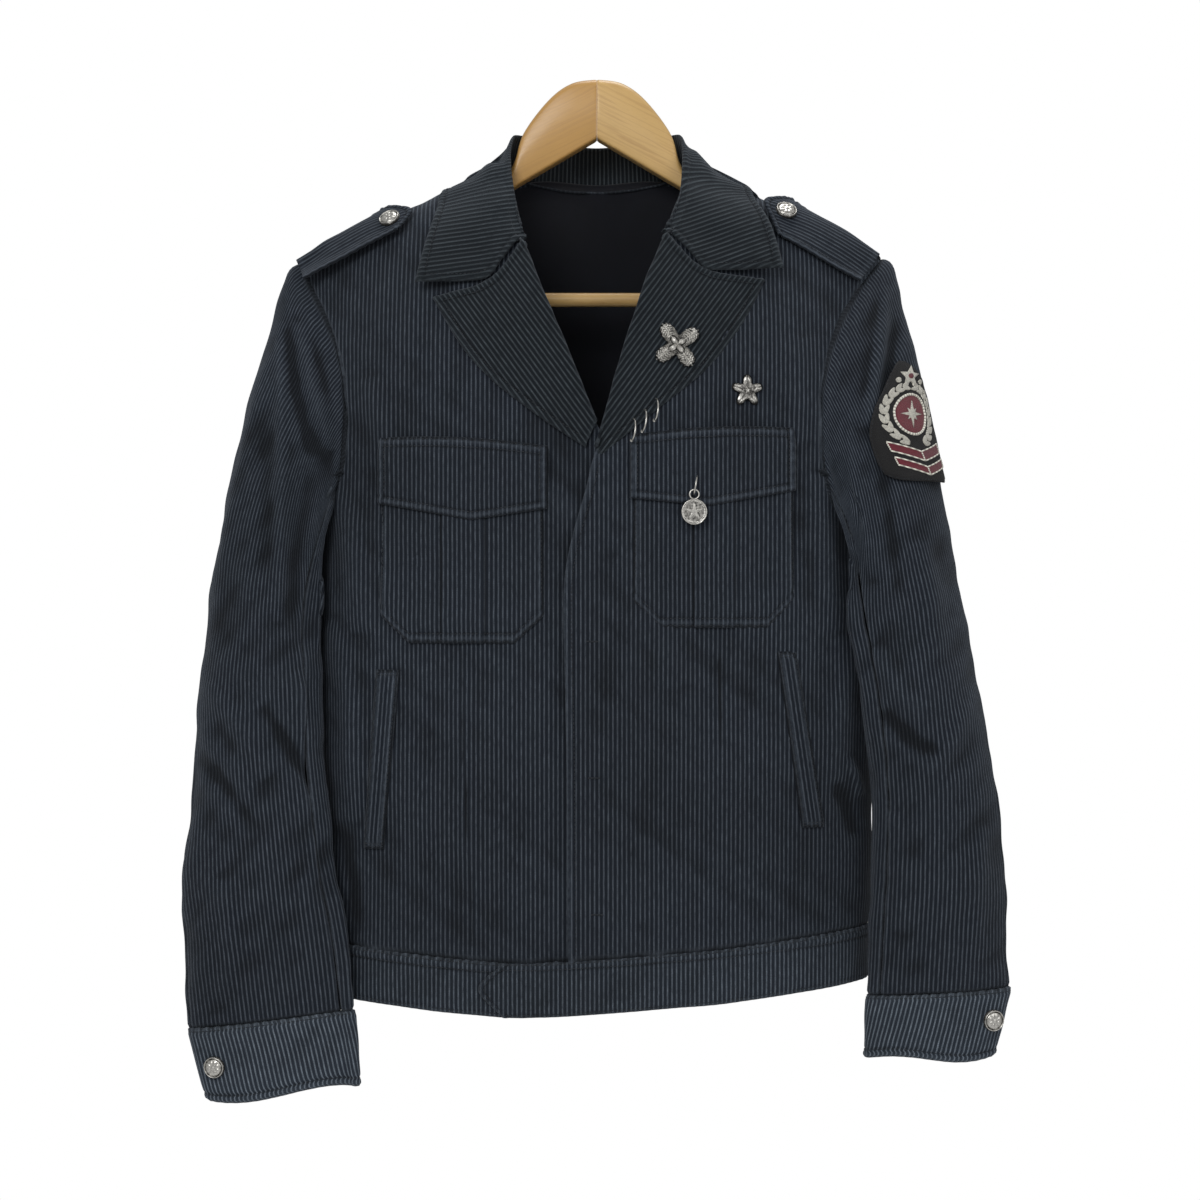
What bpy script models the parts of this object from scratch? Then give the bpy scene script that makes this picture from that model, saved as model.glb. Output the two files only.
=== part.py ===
"""A cropped military-style blazer on a wooden hanger, at real size.

Metres, +Z up, the front faces -Y and the wearer's left is +X. The origin is the
top of the hanger, where its hook would screw in.
"""
import math
from collections import namedtuple

import bmesh
import bpy
from mathutils import Vector
from mathutils.bvhtree import BVHTree

# Cloth walls and the gaps between pieces
WALL = 0.0016
TRIM_WALL = 0.0014
SEAM = 0.0005
SHOULDER_GAP = 0.0009

# Shoulder line, a straight slope on each side of the neck
NECK_HALF = 0.072
RIDGE_Z = -0.0635
RIDGE_SLOPE = 0.50
RIDGE_ROUND = 0.15

# Levels of the jacket
UNDERARM_Z = -0.345
HEM_LEVEL = -0.700
BAND_HEIGHT = 0.040
NECK_BACK_Z = -0.081

# The trunk seen from above is a superellipse at each level
TRUNK_POWER = 2.5
NECK_COLUMNS = 4
BACK_SIDE = 7
Level = namedtuple("Level", "z half_width front back")
TRUNK = [
    Level(-0.030, 0.246, 0.072, 0.056),
    Level(-0.140, 0.238, 0.072, 0.058),
    Level(-0.200, 0.222, 0.076, 0.060),
    Level(-0.260, 0.211, 0.079, 0.060),
    Level(-0.345, 0.208, 0.078, 0.060),
    Level(-0.450, 0.210, 0.074, 0.057),
    Level(-0.560, 0.209, 0.070, 0.055),
    Level(-0.720, 0.204, 0.066, 0.054),
]

# Armholes: height against the distance from the middle, front and back
Armhole = namedtuple("Armhole", "z front back")
ARMHOLES = {
    -1: [
        Armhole(-0.1375, 0.2200, 0.2200),
        Armhole(-0.156, 0.2170, 0.2140),
        Armhole(-0.177, 0.2055, 0.2060),
        Armhole(-0.201, 0.1950, 0.1985),
        Armhole(-0.226, 0.1880, 0.1920),
        Armhole(-0.255, 0.1855, 0.1885),
        Armhole(-0.290, 0.1880, 0.1905),
        Armhole(-0.322, 0.1945, 0.1965),
        Armhole(UNDERARM_Z, 0.2075, 0.2075),
    ],
    1: [
        Armhole(-0.1355, 0.2160, 0.2160),
        Armhole(-0.156, 0.1990, 0.2100),
        Armhole(-0.184, 0.1820, 0.2000),
        Armhole(-0.211, 0.1715, 0.1935),
        Armhole(-0.239, 0.1650, 0.1890),
        Armhole(-0.272, 0.1640, 0.1875),
        Armhole(-0.298, 0.1665, 0.1900),
        Armhole(-0.322, 0.1730, 0.1965),
        Armhole(-0.336, 0.1840, 0.2020),
        Armhole(UNDERARM_Z, 0.2075, 0.2075),
    ],
}

# Inner edge of each front: neckline, roll line of the lapel, then the closing edge
Edge = namedtuple("Edge", "z x")
FRONT_EDGES = {
    -1: [
        Edge(-0.0630, -0.0720),
        Edge(-0.0900, -0.0645),
        Edge(-0.1320, -0.0530),
        Edge(-0.1700, -0.0385),
        Edge(-0.2160, -0.0198),
        Edge(-0.2560, -0.0036),
        Edge(-0.2700, 0.0023),
        Edge(-0.3000, 0.0110),
        Edge(-0.3450, 0.0130),
        Edge(-0.7200, 0.0150),
    ],
    1: [
        Edge(-0.0630, 0.0720),
        Edge(-0.0900, 0.0610),
        Edge(-0.1260, 0.0495),
        Edge(-0.1700, 0.0333),
        Edge(-0.2160, 0.0178),
        Edge(-0.2560, 0.0070),
        Edge(-0.2830, -0.0010),
        Edge(-0.3110, -0.0072),
        Edge(-0.3485, -0.0180),
        Edge(-0.3780, -0.0236),
        Edge(-0.4025, -0.0245),
        Edge(-0.5185, -0.0220),
        Edge(-0.7200, -0.0205),
    ],
}
OVERLAP_LIFT = 0.0027
OVERLAP_FADE = 0.060

# Hem of the jacket: distance along the front against its height
HEM = [(-0.205, -0.6900), (-0.110, -0.6990), (-0.060, -0.7025), (0.000, -0.6990),
       (0.090, -0.6925), (0.205, -0.6790)]

# Sleeves: outline from the front, their depth and how far forward they hang
Cut = namedtuple("Cut", "z outer inner forward depth turn")
SLEEVES = {
    -1: [
        Cut(-0.345, 0.2860, 0.1985, 0.020, 0.047, -6),
        Cut(-0.380, 0.2905, 0.2000, 0.024, 0.045, -10),
        Cut(-0.433, 0.2972, 0.2050, 0.029, 0.042, -14),
        Cut(-0.470, 0.3002, 0.2095, 0.032, 0.039, -14),
        Cut(-0.509, 0.3032, 0.2060, 0.034, 0.036, -12),
        Cut(-0.560, 0.3063, 0.1975, 0.037, 0.032, -10),
        Cut(-0.615, 0.3092, 0.1888, 0.040, 0.028, -8),
        Cut(-0.655, 0.3088, 0.1833, 0.041, 0.024, -6),
        Cut(-0.685, 0.3068, 0.1808, 0.041, 0.020, -4),
        Cut(-0.706, 0.3045, 0.1795, 0.041, 0.017, -3),
    ],
    1: [
        Cut(-0.345, 0.2670, 0.1700, 0.029, 0.045, -12),
        Cut(-0.380, 0.2735, 0.1740, 0.032, 0.044, -14),
        Cut(-0.420, 0.2815, 0.1850, 0.034, 0.042, -16),
        Cut(-0.460, 0.2880, 0.1945, 0.034, 0.040, -16),
        Cut(-0.505, 0.2950, 0.2065, 0.034, 0.036, -12),
        Cut(-0.550, 0.3020, 0.2060, 0.037, 0.032, -10),
        Cut(-0.600, 0.3060, 0.2038, 0.040, 0.028, -8),
        Cut(-0.640, 0.3065, 0.2018, 0.041, 0.024, -6),
        Cut(-0.665, 0.3070, 0.2010, 0.041, 0.020, -4),
        Cut(-0.682, 0.3075, 0.2005, 0.041, 0.017, -3),
    ],
}
# Outline of the sleeve head, from the shoulder point to the underarm level
HEADS = {
    -1: [(0.2350, -0.1450), (0.2395, -0.1540), (0.2440, -0.1750), (0.2525, -0.2060),
         (0.2630, -0.2440), (0.2737, -0.2820), (0.2813, -0.3160), (0.2860, -0.3450)],
    1: [(0.2240, -0.1400), (0.2280, -0.1560), (0.2310, -0.1730), (0.2385, -0.2110),
        (0.2460, -0.2450), (0.2555, -0.2820), (0.2610, -0.3160), (0.2670, -0.3450)],
}
EVEN_REACH = 0.30
EVEN_STEPS = [(-1.0, 0.12), (-0.5, 0.23), (0.0, 0.30), (0.5, 0.23), (1.0, 0.12)]
SLEEVE_CLEAR = 0.0042
SLEEVE_HOLLOW = 0.0095
SPREAD = 3.0
BAND_ROOM = 0.0026
SIDE_ROOM = 0.0050
UNDERARM_ROOM = 0.0045
ARMHOLE_ROOM = 0.0021
SPREAD_AT_ARMHOLE = 9.0
UNDERARM_DROP = 0.060
INNER_REACH = 0.85
WRAP_ROOM = 0.0050
WRAP_HALF = 0.022
OVER_ARMHOLE = 0.055
WRAP_PAST = 0.004
UNDER_FRONT = 8
UNDERARM_RISE = 0.0026
EDGE_ROOM = 0.0026
UNDER_CLEAR = 0.0070
PUSH_FROM = 100.0
PUSH_BELOW = -0.300
UNDERARM_EASE = 0.0034
UNDERARM_SEAM = 4.2

# Folds pressed into the top sleeves: turn about the sleeve against height
Fold = namedtuple("Fold", "top bottom start end width rise")
SLEEVE_FOLDS = {
    -1: [
        Fold(-0.165, -0.400, 42, 36, 13, 0.0050),
        Fold(-0.200, -0.300, 70, 140, 16, -0.0040),
        Fold(-0.440, -0.540, 150, 80, 15, -0.0045),
    ],
    1: [
        Fold(-0.160, -0.290, 40, 78, 13, 0.0050),
        Fold(-0.250, -0.400, 95, 150, 16, -0.0040),
        Fold(-0.450, -0.560, 150, 90, 15, -0.0045),
    ],
}

# Seams of the sleeve: turn about the sleeve at the armhole and at the cuff
HIND_SEAM = (-62, 13)
FRONT_SEAM = (127, 147)
SLEEVE_SEAM = 0.0012

# Cuffs: outline from the front at the seam and at the opening
Cuff = namedtuple("Cuff", "outer_top outer_low inner_top inner_low x_outer x_inner")
CUFFS = {
    -1: Cuff(-0.7145, -0.7655, -0.6985, -0.7560, 0.2905, 0.1745),
    1: Cuff(-0.6835, -0.7320, -0.6890, -0.7370, 0.2960, 0.1985),
}
CUFF_DEPTH = 0.0175
CUFF_LIFT = 0.0012

# Lapels: the notch, the outer edge from the peak down, and the ends of the roll line
Lapel = namedtuple("Lapel", "roll_top roll_low notch edge")
LAPELS = {
    -1: Lapel(-0.1300, -0.2640, (-0.0784, -0.1605),
              [(-0.1209, -0.1722), (-0.1004, -0.2074), (-0.0758, -0.2353),
               (-0.0358, -0.2658), (-0.0085, -0.2835)]),
    1: Lapel(-0.1245, -0.2830, (0.0786, -0.1528),
             [(0.1240, -0.1583), (0.1064, -0.1935), (0.0808, -0.2258),
              (0.0434, -0.2566), (0.0020, -0.2905)]),
}
ROLL_ROOM = 0.0024
NECK_ROOM = 0.0056
LAPEL_LIFT = 0.0024
LAPEL_ROLL = 0.0030
NOTCH_SHARE = 0.42

# Collar: neck seam, fold and outer edge, from the gorge round to the middle of the back
COLLAR_SEAM = [(0.0535, -0.0535, -0.1265), (0.0580, -0.0450, -0.1060), (0.0645, -0.0270, -0.0810),
               (0.0680, -0.0030, -0.0625), (0.0660, 0.0140, -0.0655), (0.0420, 0.0320, -0.0750),
               (0.0000, 0.0375, -0.0785)]
COLLAR_FOLD = [(0.0545, -0.0580, -0.1270), (0.0605, -0.0500, -0.1120), (0.0640, -0.0340, -0.0850),
               (0.0655, -0.0130, -0.0560), (0.0610, 0.0080, -0.0400), (0.0400, 0.0330, -0.0420),
               (0.0000, 0.0405, -0.0450)]
COLLAR_EDGES = {
    -1: [(0.1340, -0.0660, -0.1610), (0.1270, -0.0520, -0.1290), (0.1200, -0.0280, -0.1010),
         (0.1150, 0.0060, -0.0830), (0.0950, 0.0420, -0.0960), (0.0500, 0.0520, -0.1060),
         (0.0000, 0.0550, -0.1080)],
    1: [(0.1375, -0.0660, -0.1505), (0.1300, -0.0500, -0.1180), (0.1200, -0.0260, -0.0950),
        (0.1110, 0.0060, -0.0790), (0.0920, 0.0420, -0.0930), (0.0500, 0.0520, -0.1060),
        (0.0000, 0.0550, -0.1080)],
}
COLLAR_CLEAR = 0.0046
STAND_CLEAR = 0.0036
COLLAR_OVER_RIDGE = 0.0048
RIDGE_WIDTH = 0.018
COLLAR_WALL = 0.0016
LINING_WALL = 0.0010
LINING_IN = 0.0042
NOTCH_GAP = 0.0034

# Shoulder straps: corners at the armhole, corners of the inner end, and the point
Strap = namedtuple("Strap", "low_out high_out low_in high_in tip")
STRAPS = {
    -1: Strap((0.2200, -0.0330, -0.1540), (0.2265, 0.0060, -0.1400), (0.1497, -0.0330, -0.1165),
              (0.1630, 0.0070, -0.0960), (0.1384, -0.0180, -0.1015)),
    1: Strap((0.1970, -0.0330, -0.1560), (0.2130, 0.0060, -0.1375), (0.1341, -0.0330, -0.1240),
             (0.1483, 0.0070, -0.0885), (0.1248, -0.0180, -0.0960)),
}
STRAP_CLEAR = 0.0062
STRAP_SEAT = 0.0052
STRAP_OVER_RIDGE = 0.0038

# Chest pockets and their flaps, by side: distances along X and heights
Pocket = namedtuple("Pocket", "left right top low corner_x corner_z pleat_left pleat_right")
POCKETS = {
    -1: Pocket(-0.1590, -0.0390, -0.2905, -0.4270, 0.0210, 0.0200, -0.1140, -0.0822),
    1: Pocket(0.0265, 0.1443, -0.2845, -0.4155, 0.0195, 0.0195, 0.0707, 0.1003),
}
POCKET_LIFT = 0.0020
PLEAT_RISE = 0.0012
PocketFlap = namedtuple("PocketFlap", "left right top_left top_right low_left low_right point_x point_z")
FLAPS = {
    -1: PocketFlap(-0.1600, -0.0360, -0.2755, -0.2825, -0.3242, -0.3286, -0.0913, -0.3367),
    1: PocketFlap(0.0240, 0.1452, -0.2745, -0.2685, -0.3210, -0.3147, 0.0813, -0.3264),
}
FLAP_LIFT = 0.0020
FLAP_STAND = 0.0032

# Slanted welts of the side pockets: top and low ends along X, and their heights
Welt = namedtuple("Welt", "top_left top_right top low_left low_right low")
WELTS = {
    -1: Welt(-0.1631, -0.1451, -0.4465, -0.1730, -0.1576, -0.5796),
    1: Welt(0.1321, 0.1468, -0.4330, 0.1512, 0.1688, -0.5635),
}

# Waistband
TAB_START = -0.0690
TAB_POINT = 0.0180
BAND_END = -0.0250
BAND_LIFT = 0.0007

# Hanger
HANGER_ARCH = [(0.0, 0.0), (0.0190, -0.0030), (0.0365, -0.0155), (0.0555, -0.0405), (0.0625, -0.0620),
               (0.0710, -0.0765)]
HANGER_HALF = 0.0090
HANGER_CROWN = 0.0035
HANGER_END = 0.2070
HANGER_LOW = -0.0456
HANGER_LOW_SLOPE = 0.59
HANGER_UNDER = 0.0072
BOSS_FROM = 0.1660
BOSS_TO = 0.1820
BOSS_LOW = -0.1800
BAR_Z = -0.1672
BAR_RADIUS = 0.0053
BAR_END = 0.1950
FIT_GAP = 0.0003

# Metal trimmings
BUTTON_RADIUS = 0.0073
BUTTON_HEIGHT = 0.0034
BROOCH_PLACE = (0.0585, -0.2092)
BROOCH_RADIUS = 0.0185
PIN_PLACE = (0.1100, -0.2420)
PIN_RADIUS = 0.0120
WIRE_RADIUS = 0.00065
HOOPS = [((0.0428, -0.2486), (0.0414, -0.2646)), ((0.0344, -0.2566), (0.0326, -0.2726)),
         ((0.0264, -0.2631), (0.0249, -0.2792))]
FLAP_HOOP = ((0.0725, -0.3047), (0.0702, -0.3185))
HOOP_LIFT = 0.0031
HOOP_END_LIFT = 0.0064
HOOP_BULGE = 0.0062
MEDAL_RADIUS = 0.0097
EYELET_RADIUS = 0.0034
EYELET_SLACK = 0.0009
EYELET_WIRE = 0.0006
EYELET_KNOT = 11
CUFF_BUTTONS = {-1: (0.2826, -0.7405), 1: (0.2930, -0.7060)}
CUFF_BUTTON_LIFT = 0.0002

# Sleeve patch: its front edge by height and distance from the middle, and the turn of its far edge
PatchRow = namedtuple("PatchRow", "z x back")
PATCH = [
    PatchRow(-0.2174, 0.2216, 30.0),
    PatchRow(-0.2314, 0.2152, 4.0),
    PatchRow(-0.2450, 0.2095, -14.0),
    PatchRow(-0.2663, 0.2010, -22.0),
    PatchRow(-0.2870, 0.2040, -23.0),
    PatchRow(-0.3078, 0.2090, -22.0),
]
PATCH_LIFT = 0.0030
PATCH_CLEAR = 0.0036
PATCH_WALL = 0.0012


def between(a, b, t):
    return a + (b - a) * t


def smooth(t):
    t = min(1.0, max(0.0, t))
    return t * t * (3.0 - 2.0 * t)


def read_table(table, column, z):
    """A column of a table at height z, with heights running downwards."""
    rows = sorted(table, key=lambda row: -row.z)
    if z >= rows[0].z:
        return getattr(rows[0], column)
    for high, low in zip(rows, rows[1:]):
        if z >= low.z:
            t = (high.z - z) / (high.z - low.z)
            return between(getattr(high, column), getattr(low, column), t)
    return getattr(rows[-1], column)


def along(points, t):
    """A point at a share of the way along a line of points, by a smooth curve."""
    spans = len(points) - 1
    place = min(max(t, 0.0), 1.0) * spans
    i = min(int(place), spans - 1)
    f = place - i
    before = points[max(i - 1, 0)]
    a, b = points[i], points[i + 1]
    after = points[min(i + 2, spans)]
    out = []
    for p, q, r, s in zip(before, a, b, after):
        slope_a, slope_b = 0.5 * (r - p), 0.5 * (s - q)
        out.append((2 * f**3 - 3 * f**2 + 1) * q + (f**3 - 2 * f**2 + f) * slope_a
                   + (-2 * f**3 + 3 * f**2) * r + (f**3 - f**2) * slope_b)
    return out


def ridge(x):
    return RIDGE_Z - RIDGE_SLOPE * (abs(x) - NECK_HALF)


def rounding(x, z):
    """How far the cloth has opened out below the shoulder line, from 0 to 1."""
    drop = min(1.0, max(0.0, (ridge(x) - z) / RIDGE_ROUND))
    return math.sin(0.5 * math.pi * drop) ** 0.6


def trunk_y(x, z, face, half_width=None):
    """Depth of the trunk's outside at x, z: face -1 is the front, 1 the back."""
    width = half_width or read_table(TRUNK, "half_width", z)
    depth = read_table(TRUNK, "front" if face < 0 else "back", z)
    share = max(0.0, 1.0 - min(1.0, abs(x) / width) ** TRUNK_POWER)
    return face * depth * share ** (1.0 / TRUNK_POWER) * rounding(x, z)


def armhole_x(side, z, face):
    return read_table(ARMHOLES[side], "front" if face < 0 else "back", z)


def armhole_z(side, turn):
    top = ARMHOLES[side][0].z
    return top + (UNDERARM_Z - top) * (1.0 - math.cos(turn)) / 2.0


def armhole_point(side, turn):
    """Turn 0 is the shoulder, a half turn the underarm, by way of the front."""
    face = -1 if math.sin(turn) > 0 else 1
    z = armhole_z(side, turn)
    x = armhole_x(side, z, face)
    return Vector((side * x, trunk_y(x, z, face), z))


def hem_z(x):
    rows = HEM
    if x <= rows[0][0]:
        return rows[0][1]
    for left, right in zip(rows, rows[1:]):
        if x <= right[0]:
            return between(left[1], right[1], (x - left[0]) / (right[0] - left[0]))
    return rows[-1][1]


def band_z(x):
    return hem_z(x) + BAND_HEIGHT


def front_lift(side, x):
    """The wearer's left front lies over the right one near the closing edge."""
    if side < 0:
        return 0.0
    return OVERLAP_LIFT * (1.0 - smooth((x - 0.004) / OVERLAP_FADE))


def outward(x, z, face):
    """Direction out of the trunk's outside at x, z."""
    step = 0.002
    dx = (trunk_y(x + step, z, face) - trunk_y(x - step, z, face)) / (2 * step)
    dz = (trunk_y(x, z + step, face) - trunk_y(x, z - step, face)) / (2 * step)
    return (Vector((-dx, 1.0, -dz)) * face).normalized()


def on_front(side, x, z, lift=0.0):
    """A point on the front's outside, moved out by lift."""
    y = trunk_y(x, z, -1) - front_lift(side, x)
    return Vector((x, y, z)) + outward(x, z, -1) * lift


def armhole_turns(rows):
    """Turns about the armhole at the rows of a body panel, one of them close to the top."""
    return [0.0, 0.035 * math.pi] + [math.pi * i / rows for i in range(1, rows + 1)]


def front_grid(side, rows_top, rows_low, columns):
    """Front from the shoulder seam down to the waistband, edge to side seam."""
    levels = []
    for turn in armhole_turns(rows_top):
        z_out = armhole_z(side, turn)
        z_in = between(FRONT_EDGES[side][0].z, UNDERARM_Z, (1.0 - math.cos(turn)) / 2.0)
        levels.append((armhole_x(side, z_out, -1), z_out, z_in))
    for i in range(1, rows_low + 1):
        z_out = between(UNDERARM_Z, band_z(side * 0.2) + SEAM, i / rows_low)
        z_in = between(UNDERARM_Z, band_z(0.0) + SEAM, i / rows_low)
        levels.append((read_table(TRUNK, "half_width", z_out), z_out, z_in))
    grid = []
    for i, (x_out, z_out, z_in) in enumerate(levels):
        x_in = read_table(FRONT_EDGES[side], "x", z_in)
        if z_in > LAPELS[side].roll_low:
            x_in += side * (NECK_ROOM if z_in > LAPELS[side].roll_top else ROLL_ROOM)
        start = math.asin(min(1.0, max(-1.0, side * x_in / x_out)))
        row = []
        for j in range(columns + 1):
            x = side * x_out * math.sin(between(start, math.pi / 2, j / columns))
            z = between(z_in, z_out, (x - x_in) / (side * x_out - x_in))
            if i == 0:
                z = ridge(x)
            if i == len(levels) - 1:
                z = band_z(x) + SEAM
            y = min(trunk_y(x, z, -1), -SHOULDER_GAP) - front_lift(side, x)
            row.append(Vector((x, y, z)))
        grid.append(row)
    return grid


def back_top(x):
    """Height of the back's top edge: the shoulder seams and the neckline between them."""
    neck = math.sqrt(max(0.0, 1.0 - (x / NECK_HALF) ** 2))
    return between(ridge(max(abs(x), NECK_HALF)), NECK_BACK_Z, neck)


def back_grid(rows_top, rows_low):
    """Back from the shoulder seams down to the waistband, side to side."""
    levels = []
    for turn in armhole_turns(rows_top):
        ends = [armhole_z(side, turn) for side in (-1, 1)]
        wide = [armhole_x(side, z, 1) for side, z in zip((-1, 1), ends)]
        levels.append((wide, (1.0 - math.cos(turn)) / 2.0, 0.0))
    for i in range(1, rows_low + 1):
        f = i / rows_low
        z = between(UNDERARM_Z, band_z(0.0), f)
        levels.append(([read_table(TRUNK, "half_width", z)] * 2, 1.0, f))
    grid = []
    for wide, high, low in levels:
        row = []
        for j in range(-BACK_SIDE - NECK_COLUMNS, BACK_SIDE + NECK_COLUMNS + 1):
            hand = 0 if j < 0 else 1
            if abs(j) <= NECK_COLUMNS:
                x = NECK_HALF * j / NECK_COLUMNS
            else:
                first = math.asin(NECK_HALF / wide[hand])
                phi = between(first, math.pi / 2, (abs(j) - NECK_COLUMNS) / BACK_SIDE)
                x = math.copysign(wide[hand] * math.sin(phi), j)
            z = between(back_top(x), UNDERARM_Z, high)
            z = between(z, band_z(x) + SEAM, low)
            row.append(Vector((x, max(trunk_y(x, z, 1), SHOULDER_GAP), z)))
        grid.append(row)
    return grid


def soft_least(a, b, blend):
    """The smaller of two values, with a rounded change from one to the other."""
    mix = min(1.0, max(0.0, 0.5 + 0.5 * (b - a) / blend))
    return between(b, a, mix) - blend * mix * (1.0 - mix)


def sleeve_frame(side, t):
    """Outer and inner points of the sleeve's ring, its depth, and how round it is.

    The share t runs from 0 at the armhole to 1 at the underarm level and 2 at the
    cuff seam.
    """
    cuts = SLEEVES[side]
    if t <= 1.0:
        inner = read_table(cuts, "inner", UNDERARM_Z - UNDERARM_DROP)
        x_in = between(0.2080, inner, smooth(t / INNER_REACH))
        z_in = UNDERARM_Z + UNDERARM_RISE * (1.0 - smooth(t / 0.12)) - UNDERARM_DROP * t ** 0.8
        x_out, z_out = along([(ARMHOLES[side][0].front, ARMHOLES[side][0].z)]
                             + HEADS[side], t)
        return (x_out, z_out), (x_in, z_in), cuts[0].forward * t, cuts[0].depth, cuts[0].turn * t
    low = CUFFS[side]
    f = t - 1.0
    top = UNDERARM_Z
    z = between(top, cuts[-1].z, f)
    cut = {c: read_table(cuts, c, z) for c in ("forward", "depth", "turn")}
    z_out = between(UNDERARM_Z, low.outer_top + SEAM, f)
    z_in = between(UNDERARM_Z - UNDERARM_DROP, low.inner_top + SEAM, f)
    x_out, x_in = read_table(cuts, "outer", z_out), read_table(cuts, "inner", z_in)
    return (x_out, z_out), (x_in, z_in), cut["forward"], cut["depth"], cut["turn"]


def sleeve_point(side, t, degrees):
    """A point of the sleeve's outside: 0 is outermost, 90 the front, 180 inside.

    Near the underarm it is evened out along the sleeve.
    """
    reach = min(EVEN_REACH, 0.8 * t) * smooth((1.75 - t) / 0.40)
    if reach < 0.001:
        return raw_sleeve_point(side, t, degrees)
    total = Vector((0.0, 0.0, 0.0))
    for step, weight in EVEN_STEPS:
        total += raw_sleeve_point(side, t + step * reach, degrees) * weight
    return total


def raw_sleeve_point(side, t, degrees):
    """A point of the sleeve's outside as its tables give it."""
    turn = math.radians(degrees)
    (x_out, z_out), (x_in, z_in), forward, depth, lean = sleeve_frame(side, t)
    middle_x, half_x = (x_out + x_in) / 2, (x_out - x_in) / 2
    middle_z, half_z = (z_out + z_in) / 2, (z_out - z_in) / 2
    x = middle_x + half_x * math.cos(turn)
    z = middle_z + half_z * math.cos(turn)
    bend = math.radians(lean)
    y = -forward - depth * math.sin(turn + bend)
    if t < 1.0:
        seam = armhole_point(side, turn)
        keep = 1.0 - smooth(t / 0.75)
        top, low = armhole_point(side, 0.0), armhole_point(side, math.pi)
        chord_x = (abs(top.x) + abs(low.x)) / 2 + (abs(top.x) - abs(low.x)) / 2 * math.cos(turn)
        chord_z = (top.z + low.z) / 2 + (top.z - low.z) / 2 * math.cos(turn)
        x += keep * (abs(seam.x) - chord_x)
        z += keep * (seam.z - chord_z)
        y = between(y, seam.y, keep)
    if t < 1.0:
        face = -1 if 0.0 < degrees < 180.0 else 1
        if z > UNDERARM_Z and (face > 0 or t < 0.05):
            low = smooth((-math.cos(turn) - 0.70) / 0.20)
            x = max(x, armhole_x(side, z, face) + ARMHOLE_ROOM + UNDERARM_EASE * low)
    if t < 1.0:
        wrap = smooth((degrees % 360.0 - 170.0) / 12.0) * smooth((300.0 - degrees % 360.0) / 30.0)
        wrap *= smooth((WRAP_HALF - abs(z - UNDERARM_Z + 0.004)) / 0.006)
        edge = read_table(TRUNK, "half_width", UNDERARM_Z) + WRAP_ROOM
        x = between(x, max(x, edge), wrap)
    y = clear_of_trunk(side, x, y, z, degrees, smooth(t / 0.22))
    rise = sum(fold_rise(fold, z, degrees) for fold in SLEEVE_FOLDS[side])
    out = Vector((math.cos(turn) * 0.6, -math.sin(turn), 0.0))
    point = Vector((x, y, z)) + out * rise
    return Vector((side * point.x, point.y, point.z))


def fold_rise(fold, z, degrees):
    """Height of one long fold at a place on the sleeve."""
    share = (fold.top - z) / (fold.top - fold.bottom)
    if not 0.0 < share < 1.0:
        return 0.0
    middle = between(fold.start, fold.end, share)
    across = (degrees - middle) / fold.width
    return fold.rise * math.sin(math.pi * share) ** 0.7 * math.exp(-across * across)


def clear_of_trunk(side, x, y, z, degrees, clear):
    """Keeps a sleeve's point in front of the trunk that it hangs against."""
    level = max(z, HEM_LEVEL)
    edge = read_table(TRUNK, "half_width", level)
    spread = between(SPREAD_AT_ARMHOLE, SPREAD, smooth((UNDERARM_Z - z) / 0.09))
    if z > UNDERARM_Z:
        if degrees > 180.0 or degrees < 0.0:
            return y
        over = clear * smooth(1.0 - (z - UNDERARM_Z) / OVER_ARMHOLE)
        edge = between(armhole_x(side, z, -1), edge, over)
    depth = -trunk_y(min(x, edge), level, -1)
    inner = 0.5 - 0.5 * math.cos(math.radians(degrees))
    front = smooth((188.0 - (degrees % 360.0)) / 26.0)
    gap = SLEEVE_CLEAR + front * SLEEVE_HOLLOW * inner
    gap += BAND_ROOM * smooth((-0.60 - z) / 0.03)
    gap += SIDE_ROOM * smooth((x - 0.165) / 0.030)
    gap += UNDERARM_ROOM * smooth((UNDERARM_Z + 0.045 - z) / 0.030) * smooth((z + 0.430) / 0.035)
    cap = -depth - gap * clear + spread * max(0.0, x - edge)
    if z < UNDERARM_Z + UNDERARM_RISE:
        cap -= EDGE_ROOM * (1.0 - clear)
    return soft_least(y, cap, 0.0005 + 0.004 * clear)


def seam_turn(side, t, degrees):
    """Turn that leaves half a seam's gap at a place on the sleeve."""
    span = (sleeve_point(side, t, degrees + 2.0) - sleeve_point(side, t, degrees - 2.0)).length
    return SLEEVE_SEAM * 4.0 / max(span, SLEEVE_SEAM)


def wrap_turn(side, t):
    """Turn at which the under sleeve passes the side of the trunk."""
    (x_out, _), (x_in, z_in), _, _, _ = sleeve_frame(side, t)
    side_x = read_table(TRUNK, "half_width", max(z_in, HEM_LEVEL)) + WRAP_PAST
    share = 1.0 - 2.0 * (side_x - x_in) / (x_out - x_in)
    return 180.0 + max(8.0, math.degrees(math.acos(min(1.0, max(-1.0, share)))))


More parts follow.
